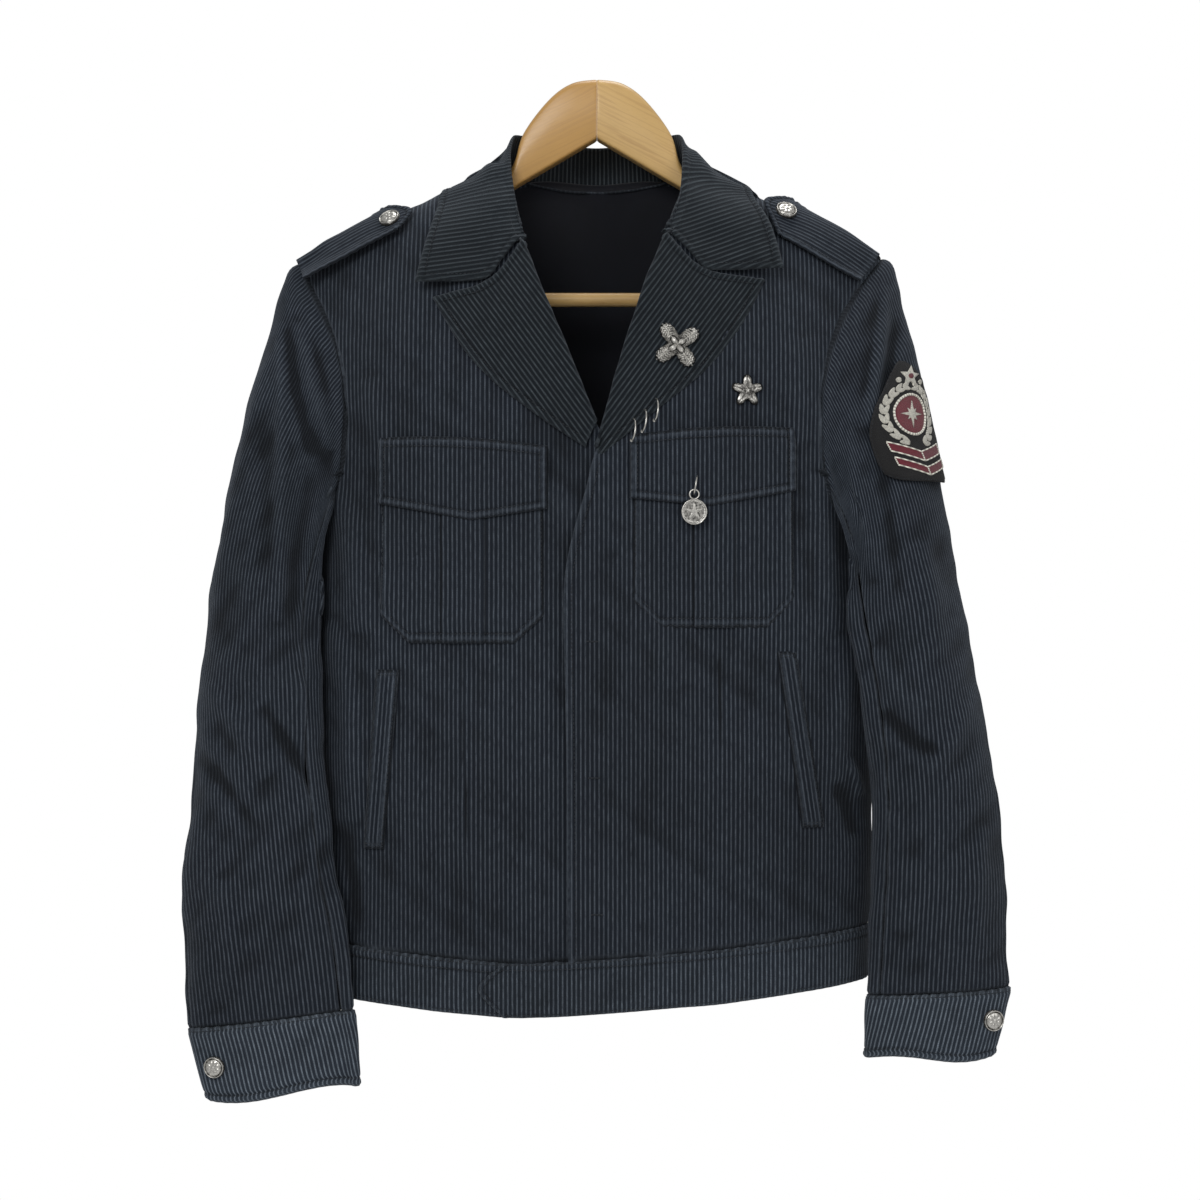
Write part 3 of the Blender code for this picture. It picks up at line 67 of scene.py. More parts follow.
# The trunk seen from above is a superellipse at each level
TRUNK_POWER = 2.5
NECK_COLUMNS = 4
BACK_SIDE = 7
Level = namedtuple("Level", "z half_width front back")
TRUNK = [
    Level(-0.030, 0.246, 0.072, 0.056),
    Level(-0.140, 0.238, 0.072, 0.058),
    Level(-0.200, 0.222, 0.076, 0.060),
    Level(-0.260, 0.211, 0.079, 0.060),
    Level(-0.345, 0.208, 0.078, 0.060),
    Level(-0.450, 0.210, 0.074, 0.057),
    Level(-0.560, 0.209, 0.070, 0.055),
    Level(-0.720, 0.204, 0.066, 0.054),
]

# Armholes: height against the distance from the middle, front and back
Armhole = namedtuple("Armhole", "z front back")
ARMHOLES = {
    -1: [
        Armhole(-0.1375, 0.2200, 0.2200),
        Armhole(-0.156, 0.2170, 0.2140),
        Armhole(-0.177, 0.2055, 0.2060),
        Armhole(-0.201, 0.1950, 0.1985),
        Armhole(-0.226, 0.1880, 0.1920),
        Armhole(-0.255, 0.1855, 0.1885),
        Armhole(-0.290, 0.1880, 0.1905),
        Armhole(-0.322, 0.1945, 0.1965),
        Armhole(UNDERARM_Z, 0.2075, 0.2075),
    ],
    1: [
        Armhole(-0.1355, 0.2160, 0.2160),
        Armhole(-0.156, 0.1990, 0.2100),
        Armhole(-0.184, 0.1820, 0.2000),
        Armhole(-0.211, 0.1715, 0.1935),
        Armhole(-0.239, 0.1650, 0.1890),
        Armhole(-0.272, 0.1640, 0.1875),
        Armhole(-0.298, 0.1665, 0.1900),
        Armhole(-0.322, 0.1730, 0.1965),
        Armhole(-0.336, 0.1840, 0.2020),
        Armhole(UNDERARM_Z, 0.2075, 0.2075),
    ],
}

# Inner edge of each front: neckline, roll line of the lapel, then the closing edge
Edge = namedtuple("Edge", "z x")
FRONT_EDGES = {
    -1: [
        Edge(-0.0630, -0.0720),
        Edge(-0.0900, -0.0645),
        Edge(-0.1320, -0.0530),
        Edge(-0.1700, -0.0385),
        Edge(-0.2160, -0.0198),
        Edge(-0.2560, -0.0036),
        Edge(-0.2700, 0.0023),
        Edge(-0.3000, 0.0110),
        Edge(-0.3450, 0.0130),
        Edge(-0.7200, 0.0150),
    ],
    1: [
        Edge(-0.0630, 0.0720),
        Edge(-0.0900, 0.0610),
        Edge(-0.1260, 0.0495),
        Edge(-0.1700, 0.0333),
        Edge(-0.2160, 0.0178),
        Edge(-0.2560, 0.0070),
        Edge(-0.2830, -0.0010),
        Edge(-0.3110, -0.0072),
        Edge(-0.3485, -0.0180),
        Edge(-0.3780, -0.0236),
        Edge(-0.4025, -0.0245),
        Edge(-0.5185, -0.0220),
        Edge(-0.7200, -0.0205),
    ],
}
OVERLAP_LIFT = 0.0027
OVERLAP_FADE = 0.060

# Hem of the jacket: distance along the front against its height
HEM = [(-0.205, -0.6900), (-0.110, -0.6990), (-0.060, -0.7025), (0.000, -0.6990),
       (0.090, -0.6925), (0.205, -0.6790)]

# Sleeves: outline from the front, their depth and how far forward they hang
Cut = namedtuple("Cut", "z outer inner forward depth turn")
SLEEVES = {
    -1: [
        Cut(-0.345, 0.2860, 0.1985, 0.020, 0.047, -6),
        Cut(-0.380, 0.2905, 0.2000, 0.024, 0.045, -10),
        Cut(-0.433, 0.2972, 0.2050, 0.029, 0.042, -14),
        Cut(-0.470, 0.3002, 0.2095, 0.032, 0.039, -14),
        Cut(-0.509, 0.3032, 0.2060, 0.034, 0.036, -12),
        Cut(-0.560, 0.3063, 0.1975, 0.037, 0.032, -10),
        Cut(-0.615, 0.3092, 0.1888, 0.040, 0.028, -8),
        Cut(-0.655, 0.3088, 0.1833, 0.041, 0.024, -6),
        Cut(-0.685, 0.3068, 0.1808, 0.041, 0.020, -4),
        Cut(-0.706, 0.3045, 0.1795, 0.041, 0.017, -3),
    ],
    1: [
        Cut(-0.345, 0.2670, 0.1700, 0.029, 0.045, -12),
        Cut(-0.380, 0.2735, 0.1740, 0.032, 0.044, -14),
        Cut(-0.420, 0.2815, 0.1850, 0.034, 0.042, -16),
        Cut(-0.460, 0.2880, 0.1945, 0.034, 0.040, -16),
        Cut(-0.505, 0.2950, 0.2065, 0.034, 0.036, -12),
        Cut(-0.550, 0.3020, 0.2060, 0.037, 0.032, -10),
        Cut(-0.600, 0.3060, 0.2038, 0.040, 0.028, -8),
        Cut(-0.640, 0.3065, 0.2018, 0.041, 0.024, -6),
        Cut(-0.665, 0.3070, 0.2010, 0.041, 0.020, -4),
        Cut(-0.682, 0.3075, 0.2005, 0.041, 0.017, -3),
    ],
}
# Outline of the sleeve head, from the shoulder point to the underarm level
HEADS = {
    -1: [(0.2350, -0.1450), (0.2395, -0.1540), (0.2440, -0.1750), (0.2525, -0.2060),
         (0.2630, -0.2440), (0.2737, -0.2820), (0.2813, -0.3160), (0.2860, -0.3450)],
    1: [(0.2240, -0.1400), (0.2280, -0.1560), (0.2310, -0.1730), (0.2385, -0.2110),
        (0.2460, -0.2450), (0.2555, -0.2820), (0.2610, -0.3160), (0.2670, -0.3450)],
}
EVEN_REACH = 0.30
EVEN_STEPS = [(-1.0, 0.12), (-0.5, 0.23), (0.0, 0.30), (0.5, 0.23), (1.0, 0.12)]
SLEEVE_CLEAR = 0.0042
SLEEVE_HOLLOW = 0.0095
SPREAD = 3.0
BAND_ROOM = 0.0026
SIDE_ROOM = 0.0050
UNDERARM_ROOM = 0.0045
ARMHOLE_ROOM = 0.0021
SPREAD_AT_ARMHOLE = 9.0
UNDERARM_DROP = 0.060
INNER_REACH = 0.85
WRAP_ROOM = 0.0050
WRAP_HALF = 0.022
OVER_ARMHOLE = 0.055
WRAP_PAST = 0.004
UNDER_FRONT = 8
UNDERARM_RISE = 0.0026
EDGE_ROOM = 0.0026
UNDER_CLEAR = 0.0070
PUSH_FROM = 100.0
PUSH_BELOW = -0.300
UNDERARM_EASE = 0.0034
UNDERARM_SEAM = 0.0

# Folds pressed into the top sleeves: turn about the sleeve against height
Fold = namedtuple("Fold", "top bottom start end width rise")
SLEEVE_FOLDS = {
    -1: [
        Fold(-0.165, -0.400, 42, 36, 13, 0.0050),
        Fold(-0.200, -0.300, 70, 140, 16, -0.0040),
        Fold(-0.440, -0.540, 150, 80, 15, -0.0045),
    ],
    1: [
        Fold(-0.160, -0.290, 40, 78, 13, 0.0050),
        Fold(-0.250, -0.400, 95, 150, 16, -0.0040),
        Fold(-0.450, -0.560, 150, 90, 15, -0.0045),
    ],
}

# Seams of the sleeve: turn about the sleeve at the armhole and at the cuff
HIND_SEAM = (-62, 13)
FRONT_SEAM = (127, 147)
SLEEVE_SEAM = 0.0004

# Cuffs: outline from the front at the seam and at the opening
Cuff = namedtuple("Cuff", "outer_top outer_low inner_top inner_low x_outer x_inner")
CUFFS = {
    -1: Cuff(-0.7145, -0.7655, -0.6985, -0.7560, 0.2905, 0.1745),
    1: Cuff(-0.6835, -0.7320, -0.6890, -0.7370, 0.2960, 0.1985),
}
CUFF_DEPTH = 0.0175
CUFF_LIFT = 0.0012

# Lapels: the notch, the outer edge from the peak down, and the ends of the roll line
Lapel = namedtuple("Lapel", "roll_top roll_low notch edge")
LAPELS = {
    -1: Lapel(-0.1300, -0.2640, (-0.0784, -0.1605),
              [(-0.1209, -0.1722), (-0.1004, -0.2074), (-0.0758, -0.2353),
               (-0.0358, -0.2658), (-0.0085, -0.2835)]),
    1: Lapel(-0.1245, -0.2830, (0.0786, -0.1528),
             [(0.1240, -0.1583), (0.1064, -0.1935), (0.0808, -0.2258),
              (0.0434, -0.2566), (0.0020, -0.2905)]),
}
ROLL_ROOM = 0.0024
NECK_ROOM = 0.0056
LAPEL_LIFT = 0.0024
LAPEL_ROLL = 0.0030
NOTCH_SHARE = 0.42

# Collar: neck seam, fold and outer edge, from the gorge round to the middle of the back
COLLAR_SEAM = [(0.0535, -0.0535, -0.1265), (0.0580, -0.0450, -0.1060), (0.0645, -0.0270, -0.0810),
               (0.0680, -0.0030, -0.0625), (0.0660, 0.0140, -0.0655), (0.0420, 0.0320, -0.0750),
               (0.0000, 0.0375, -0.0785)]
COLLAR_FOLD = [(0.0545, -0.0580, -0.1270), (0.0605, -0.0500, -0.1120), (0.0640, -0.0340, -0.0850),
               (0.0655, -0.0130, -0.0560), (0.0610, 0.0080, -0.0400), (0.0400, 0.0330, -0.0420),
               (0.0000, 0.0405, -0.0450)]
COLLAR_EDGES = {
    -1: [(0.1340, -0.0660, -0.1610), (0.1270, -0.0520, -0.1290), (0.1200, -0.0280, -0.1010),
         (0.1150, 0.0060, -0.0830), (0.0950, 0.0420, -0.0960), (0.0500, 0.0520, -0.1060),
         (0.0000, 0.0550, -0.1080)],
    1: [(0.1375, -0.0660, -0.1505), (0.1300, -0.0500, -0.1180), (0.1200, -0.0260, -0.0950),
        (0.1110, 0.0060, -0.0790), (0.0920, 0.0420, -0.0930), (0.0500, 0.0520, -0.1060),
        (0.0000, 0.0550, -0.1080)],
}
COLLAR_CLEAR = 0.0046
STAND_CLEAR = 0.0036
COLLAR_OVER_RIDGE = 0.0048
RIDGE_WIDTH = 0.018
COLLAR_WALL = 0.0016
LINING_WALL = 0.0010
LINING_IN = 0.0042
LINING_HALF = 0.165
LINING_TOP = -0.079
LINING_BELOW_RIDGE = 0.020
LINING_END = -0.600
NOTCH_GAP = 0.0008

# Shoulder straps: corners at the armhole, corners of the inner end, and the point
Strap = namedtuple("Strap", "low_out high_out low_in high_in tip")
STRAPS = {
    -1: Strap((0.2200, -0.0330, -0.1540), (0.2265, 0.0060, -0.1400), (0.1497, -0.0330, -0.1165),
              (0.1630, 0.0070, -0.0960), (0.1384, -0.0180, -0.1015)),
    1: Strap((0.1970, -0.0330, -0.1560), (0.2130, 0.0060, -0.1375), (0.1341, -0.0330, -0.1240),
             (0.1483, 0.0070, -0.0885), (0.1248, -0.0180, -0.0960)),
}
STRAP_CLEAR = 0.0054
STRAP_SEAT = 0.0036
STRAP_OVER_RIDGE = 0.0038

# Chest pockets and their flaps, by side: distances along X and heights
Pocket = namedtuple("Pocket", "left right top low corner_x corner_z pleat_left pleat_right")
POCKETS = {
    -1: Pocket(-0.1590, -0.0390, -0.2905, -0.4270, 0.0210, 0.0200, -0.1140, -0.0822),
    1: Pocket(0.0265, 0.1443, -0.2845, -0.4155, 0.0195, 0.0195, 0.0707, 0.1003),
}
POCKET_LIFT = 0.0020
PLEAT_RISE = 0.0012
PLEAT_GROOVE = 0.0009
PLEAT_GROOVE_WIDTH = 0.0011
PocketFlap = namedtuple("PocketFlap", "left right top_left top_right low_left low_right point_x point_z")
FLAPS = {
    -1: PocketFlap(-0.1600, -0.0360, -0.2755, -0.2825, -0.3242, -0.3286, -0.0913, -0.3367),
    1: PocketFlap(0.0240, 0.1452, -0.2745, -0.2685, -0.3210, -0.3147, 0.0813, -0.3264),
}
FLAP_LIFT = 0.0020
FLAP_STAND = 0.0032

# Slanted welts of the side pockets: top and low ends along X, and their heights
Welt = namedtuple("Welt", "top_left top_right top low_left low_right low")
WELTS = {
    -1: Welt(-0.1631, -0.1451, -0.4465, -0.1730, -0.1576, -0.5796),
    1: Welt(0.1321, 0.1468, -0.4330, 0.1512, 0.1688, -0.5635),
}
WELT_LIFT = 0.0021

# Waistband
TAB_START = -0.0690
TAB_POINT = 0.0180
BAND_END = -0.0250
BAND_LIFT = 0.0007

# Hanger
HANGER_ARCH = [(0.0, 0.0), (0.0190, -0.0030), (0.0365, -0.0155), (0.0555, -0.0405), (0.0625, -0.0620),
               (0.0710, -0.0765)]
HANGER_HALF = 0.0090
HANGER_CROWN = 0.0035
HANGER_END = 0.2070
HANGER_LOW = -0.0456
HANGER_LOW_SLOPE = 0.59
HANGER_UNDER = 0.0072
BOSS_FROM = 0.1660
BOSS_TO = 0.1820
BOSS_LOW = -0.1800
BAR_Z = -0.1672
BAR_RADIUS = 0.0053
BAR_END = 0.1950
FIT_GAP = 0.0003

# Metal trimmings
BUTTON_RADIUS = 0.0073
BUTTON_HEIGHT = 0.0034
BROOCH_PLACE = (0.0585, -0.2092)
BROOCH_RADIUS = 0.0185
PIN_PLACE = (0.1100, -0.2420)
PIN_RADIUS = 0.0120
WIRE_RADIUS = 0.00065
HOOPS = [((0.0428, -0.2486), (0.0414, -0.2646)), ((0.0344, -0.2566), (0.0326, -0.2726)),
         ((0.0264, -0.2631), (0.0249, -0.2792))]
FLAP_HOOP = ((0.0725, -0.3047), (0.0702, -0.3185))
HOOP_LIFT = 0.0031
HOOP_END_LIFT = 0.0064
HOOP_BULGE = 0.0062
MEDAL_RADIUS = 0.0097
EYELET_RADIUS = 0.0034
EYELET_SLACK = 0.0009
EYELET_WIRE = 0.0006
EYELET_KNOT = 11
CUFF_BUTTONS = {-1: (0.2826, -0.7405), 1: (0.2930, -0.7060)}
CUFF_BUTTON_LIFT = 0.0002

# Sleeve patch: its front edge by height and distance from the middle, and the turn of its far edge
PatchRow = namedtuple("PatchRow", "z x back")
PATCH = [
    PatchRow(-0.2174, 0.2216, 30.0),
    PatchRow(-0.2314, 0.2152, 4.0),
    PatchRow(-0.2450, 0.2095, -14.0),
    PatchRow(-0.2663, 0.2010, -22.0),
    PatchRow(-0.2870, 0.2040, -23.0),
    PatchRow(-0.3078, 0.2090, -22.0),
]
PATCH_LIFT = 0.0030
PATCH_CLEAR = 0.0036
PATCH_WALL = 0.0012


def between(a, b, t):
    return a + (b - a) * t


def smooth(t):
    t = min(1.0, max(0.0, t))
    return t * t * (3.0 - 2.0 * t)


def read_table(table, column, z):
    """A column of a table at height z, with heights running downwards."""
    rows = sorted(table, key=lambda row: -row.z)
    if z >= rows[0].z:
        return getattr(rows[0], column)
    for high, low in zip(rows, rows[1:]):
        if z >= low.z:
            t = (high.z - z) / (high.z - low.z)
            return between(getattr(high, column), getattr(low, column), t)
    return getattr(rows[-1], column)


def along(points, t):
    """A point at a share of the way along a line of points, by a smooth curve."""
    spans = len(points) - 1
    place = min(max(t, 0.0), 1.0) * spans
    i = min(int(place), spans - 1)
    f = place - i
    before = points[max(i - 1, 0)]
    a, b = points[i], points[i + 1]
    after = points[min(i + 2, spans)]
    out = []
    for p, q, r, s in zip(before, a, b, after):
        slope_a, slope_b = 0.5 * (r - p), 0.5 * (s - q)
        out.append((2 * f**3 - 3 * f**2 + 1) * q + (f**3 - 2 * f**2 + f) * slope_a
                   + (-2 * f**3 + 3 * f**2) * r + (f**3 - f**2) * slope_b)
    return out


def ridge(x):
    return RIDGE_Z - RIDGE_SLOPE * (abs(x) - NECK_HALF)


def rounding(x, z):
    """How far the cloth has opened out below the shoulder line, from 0 to 1."""
    drop = min(1.0, max(0.0, (ridge(x) - z) / RIDGE_ROUND))
    return math.sin(0.5 * math.pi * drop) ** 0.6


def trunk_y(x, z, face):
    """Depth of the trunk's outside at x, z: face -1 is the front, 1 the back."""
    width = read_table(TRUNK, "half_width", z)
    depth = read_table(TRUNK, "front" if face < 0 else "back", z)
    share = max(0.0, 1.0 - min(1.0, abs(x) / width) ** TRUNK_POWER)
    return face * depth * share ** (1.0 / TRUNK_POWER) * rounding(x, z)


def armhole_x(side, z, face):
    return read_table(ARMHOLES[side], "front" if face < 0 else "back", z)


def armhole_z(side, turn):
    top = ARMHOLES[side][0].z
    return top + (UNDERARM_Z - top) * (1.0 - math.cos(turn)) / 2.0


def armhole_point(side, turn):
    """Turn 0 is the shoulder, a half turn the underarm, by way of the front."""
    face = -1 if math.sin(turn) > 0 else 1
    z = armhole_z(side, turn)
    x = armhole_x(side, z, face)
    return Vector((side * x, trunk_y(x, z, face), z))


def hem_z(x):
    rows = HEM
    if x <= rows[0][0]:
        return rows[0][1]
    for left, right in zip(rows, rows[1:]):
        if x <= right[0]:
            return between(left[1], right[1], (x - left[0]) / (right[0] - left[0]))
    return rows[-1][1]


def band_z(x):
    return hem_z(x) + BAND_HEIGHT


def front_lift(side, x):
    """The wearer's left front lies over the right one near the closing edge."""
    if side < 0:
        return 0.0
    return OVERLAP_LIFT * (1.0 - smooth((x - 0.004) / OVERLAP_FADE))


def outward(x, z, face):
    """Direction out of the trunk's outside at x, z."""
    step = 0.002
    dx = (trunk_y(x + step, z, face) - trunk_y(x - step, z, face)) / (2 * step)
    dz = (trunk_y(x, z + step, face) - trunk_y(x, z - step, face)) / (2 * step)
    return (Vector((-dx, 1.0, -dz)) * face).normalized()


def on_front(side, x, z, lift=0.0):
    """A point on the front's outside, moved out by lift."""
    y = trunk_y(x, z, -1) - front_lift(side, x)
    return Vector((x, y, z)) + outward(x, z, -1) * lift


def armhole_turns(rows):
    """Turns about the armhole at the rows of a body panel, one of them close to the top."""
    return [0.0, 0.035 * math.pi] + [math.pi * i / rows for i in range(1, rows + 1)]


def front_grid(side, rows_top, rows_low, columns):
    """Front from the shoulder seam down to the waistband, edge to side seam."""
    levels = []
    for turn in armhole_turns(rows_top):
        z_out = armhole_z(side, turn)
        z_in = between(FRONT_EDGES[side][0].z, UNDERARM_Z, (1.0 - math.cos(turn)) / 2.0)
        levels.append((armhole_x(side, z_out, -1), z_out, z_in))
    for i in range(1, rows_low + 1):
        z_out = between(UNDERARM_Z, band_z(side * 0.2) + SEAM, i / rows_low)
        z_in = between(UNDERARM_Z, band_z(0.0) + SEAM, i / rows_low)
        levels.append((read_table(TRUNK, "half_width", z_out), z_out, z_in))
    grid = []
    for i, (x_out, z_out, z_in) in enumerate(levels):
        x_in = read_table(FRONT_EDGES[side], "x", z_in)
        if z_in > LAPELS[side].roll_low:
            x_in += side * (NECK_ROOM if z_in > LAPELS[side].roll_top else ROLL_ROOM)
        start = math.asin(min(1.0, max(-1.0, side * x_in / x_out)))
        row = []
        for j in range(columns + 1):
            x = side * x_out * math.sin(between(start, math.pi / 2, j / columns))
            z = between(z_in, z_out, (x - x_in) / (side * x_out - x_in))
            if i == 0:
                z = ridge(x)
            if i == len(levels) - 1:
                z = band_z(x) + SEAM
            y = min(trunk_y(x, z, -1), -SHOULDER_GAP) - front_lift(side, x)
            row.append(Vector((x, y, z)))
        grid.append(row)
    return grid


def back_top(x):
    """Height of the back's top edge: the shoulder seams and the neckline between them."""
    neck = math.sqrt(max(0.0, 1.0 - (x / NECK_HALF) ** 2))
    return between(ridge(max(abs(x), NECK_HALF)), NECK_BACK_Z, neck)


def back_grid(rows_top, rows_low):
    """Back from the shoulder seams down to the waistband, side to side."""
    levels = []
    for turn in armhole_turns(rows_top):
        ends = [armhole_z(side, turn) for side in (-1, 1)]
        wide = [armhole_x(side, z, 1) for side, z in zip((-1, 1), ends)]
        levels.append((wide, (1.0 - math.cos(turn)) / 2.0, 0.0))
    for i in range(1, rows_low + 1):
        f = i / rows_low
        z = between(UNDERARM_Z, band_z(0.0), f)
        levels.append(([read_table(TRUNK, "half_width", z)] * 2, 1.0, f))
    grid = []
    for wide, high, low in levels:
        row = []
        for j in range(-BACK_SIDE - NECK_COLUMNS, BACK_SIDE + NECK_COLUMNS + 1):
            hand = 0 if j < 0 else 1
            if abs(j) <= NECK_COLUMNS:
                x = NECK_HALF * j / NECK_COLUMNS
            else:
                first = math.asin(NECK_HALF / wide[hand])
                phi = between(first, math.pi / 2, (abs(j) - NECK_COLUMNS) / BACK_SIDE)
                x = math.copysign(wide[hand] * math.sin(phi), j)
            z = between(back_top(x), UNDERARM_Z, high)
            z = between(z, band_z(x) + SEAM, low)
            row.append(Vector((x, max(trunk_y(x, z, 1), SHOULDER_GAP), z)))
        grid.append(row)
    return grid


def soft_least(a, b, blend):
    """The smaller of two values, with a rounded change from one to the other."""
    mix = min(1.0, max(0.0, 0.5 + 0.5 * (b - a) / blend))
    return between(b, a, mix) - blend * mix * (1.0 - mix)


def sleeve_frame(side, t):
    """Outer and inner points of the sleeve's ring, its depth, and how round it is.

    The share t runs from 0 at the armhole to 1 at the underarm level and 2 at the
    cuff seam.
    """
    cuts = SLEEVES[side]
    if t <= 1.0:
        inner = read_table(cuts, "inner", UNDERARM_Z - UNDERARM_DROP)
        x_in = between(0.2080, inner, smooth(t / INNER_REACH))
        z_in = UNDERARM_Z + UNDERARM_RISE * (1.0 - smooth(t / 0.12)) - UNDERARM_DROP * t ** 0.8
        x_out, z_out = along([(ARMHOLES[side][0].front, ARMHOLES[side][0].z)]
                             + HEADS[side], t)
        return (x_out, z_out), (x_in, z_in), cuts[0].forward * t, cuts[0].depth, cuts[0].turn * t
    low = CUFFS[side]
    f = t - 1.0
    top = UNDERARM_Z
    z = between(top, cuts[-1].z, f)
    cut = {c: read_table(cuts, c, z) for c in ("forward", "depth", "turn")}
    z_out = between(UNDERARM_Z, low.outer_top + SEAM, f)
    z_in = between(UNDERARM_Z - UNDERARM_DROP, low.inner_top + SEAM, f)
    x_out, x_in = read_table(cuts, "outer", z_out), read_table(cuts, "inner", z_in)
    return (x_out, z_out), (x_in, z_in), cut["forward"], cut["depth"], cut["turn"]


def sleeve_point(side, t, degrees):
    """A point of the sleeve's outside: 0 is outermost, 90 the front, 180 inside.

    Near the underarm it is evened out along the sleeve.
    """
    reach = min(EVEN_REACH, 0.8 * t) * smooth((1.75 - t) / 0.40)
    if reach < 0.001:
        return raw_sleeve_point(side, t, degrees)
    total = Vector((0.0, 0.0, 0.0))
    for step, weight in EVEN_STEPS:
        total += raw_sleeve_point(side, t + step * reach, degrees) * weight
    return total


def raw_sleeve_point(side, t, degrees):
    """A point of the sleeve's outside as its tables give it."""
    turn = math.radians(degrees)
    (x_out, z_out), (x_in, z_in), forward, depth, lean = sleeve_frame(side, t)
    middle_x, half_x = (x_out + x_in) / 2, (x_out - x_in) / 2
    middle_z, half_z = (z_out + z_in) / 2, (z_out - z_in) / 2
    x = middle_x + half_x * math.cos(turn)
    z = middle_z + half_z * math.cos(turn)
    bend = math.radians(lean)
    y = -forward - depth * math.sin(turn + bend)
    if t < 1.0:
        seam = armhole_point(side, turn)
        keep = 1.0 - smooth(t / 0.75)
        top, low = armhole_point(side, 0.0), armhole_point(side, math.pi)
        chord_x = (abs(top.x) + abs(low.x)) / 2 + (abs(top.x) - abs(low.x)) / 2 * math.cos(turn)
        chord_z = (top.z + low.z) / 2 + (top.z - low.z) / 2 * math.cos(turn)
        x += keep * (abs(seam.x) - chord_x)
        z += keep * (seam.z - chord_z)
        y = between(y, seam.y, keep)
    if t < 1.0:
        face = -1 if 0.0 < degrees < 180.0 else 1
        if z > UNDERARM_Z and (face > 0 or t < 0.05):
            low = smooth((-math.cos(turn) - 0.70) / 0.20)
            x = max(x, armhole_x(side, z, face) + ARMHOLE_ROOM + UNDERARM_EASE * low)
    if t < 1.0:
        wrap = smooth((degrees % 360.0 - 170.0) / 12.0) * smooth((300.0 - degrees % 360.0) / 30.0)
        wrap *= smooth((WRAP_HALF - abs(z - UNDERARM_Z + 0.004)) / 0.006)
        edge = read_table(TRUNK, "half_width", UNDERARM_Z) + WRAP_ROOM
        x = between(x, max(x, edge), wrap)
    y = clear_of_trunk(side, x, y, z, degrees, smooth(t / 0.22))
    rise = sum(fold_rise(fold, z, degrees) for fold in SLEEVE_FOLDS[side])
    out = Vector((math.cos(turn) * 0.6, -math.sin(turn), 0.0))
    point = Vector((x, y, z)) + out * rise
    return Vector((side * point.x, point.y, point.z))


def fold_rise(fold, z, degrees):
    """Height of one long fold at a place on the sleeve."""
    share = (fold.top - z) / (fold.top - fold.bottom)
    if not 0.0 < share < 1.0:
        return 0.0
    middle = between(fold.start, fold.end, share)
    across = (degrees - middle) / fold.width
    return fold.rise * math.sin(math.pi * share) ** 0.7 * math.exp(-across * across)


def clear_of_trunk(side, x, y, z, degrees, clear):
    """Keeps a sleeve's point in front of the trunk that it hangs against."""
    level = max(z, HEM_LEVEL)
    edge = read_table(TRUNK, "half_width", level)
    spread = between(SPREAD_AT_ARMHOLE, SPREAD, smooth((UNDERARM_Z - z) / 0.09))
    if z > UNDERARM_Z:
        if degrees > 180.0 or degrees < 0.0:
            return y
        over = clear * smooth(1.0 - (z - UNDERARM_Z) / OVER_ARMHOLE)
        edge = between(armhole_x(side, z, -1), edge, over)
    depth = -trunk_y(min(x, edge), level, -1)
    inner = 0.5 - 0.5 * math.cos(math.radians(degrees))
    front = smooth((188.0 - (degrees % 360.0)) / 26.0)
    gap = SLEEVE_CLEAR + front * SLEEVE_HOLLOW * inner
    gap += BAND_ROOM * smooth((-0.60 - z) / 0.03)
    gap += SIDE_ROOM * smooth((x - 0.165) / 0.030)
    gap += UNDERARM_ROOM * smooth((UNDERARM_Z + 0.045 - z) / 0.030) * smooth((z + 0.430) / 0.035)
    cap = -depth - gap * clear + spread * max(0.0, x - edge)
    if z < UNDERARM_Z + UNDERARM_RISE:
        cap -= EDGE_ROOM * (1.0 - clear)
    return soft_least(y, cap, 0.0005 + 0.004 * clear)


def seam_turn(side, t, degrees):
    """Turn that leaves half a seam's gap at a place on the sleeve."""
    span = (sleeve_point(side, t, degrees + 2.0) - sleeve_point(side, t, degrees - 2.0)).length
    return SLEEVE_SEAM * 4.0 / max(span, SLEEVE_SEAM)


def wrap_turn(side, t):
    """Turn at which the under sleeve passes the side of the trunk."""
    (x_out, _), (x_in, z_in), _, _, _ = sleeve_frame(side, t)
    side_x = read_table(TRUNK, "half_width", max(z_in, HEM_LEVEL)) + WRAP_PAST
    share = 1.0 - 2.0 * (side_x - x_in) / (x_out - x_in)
    return 180.0 + max(8.0, math.degrees(math.acos(min(1.0, max(-1.0, share)))))


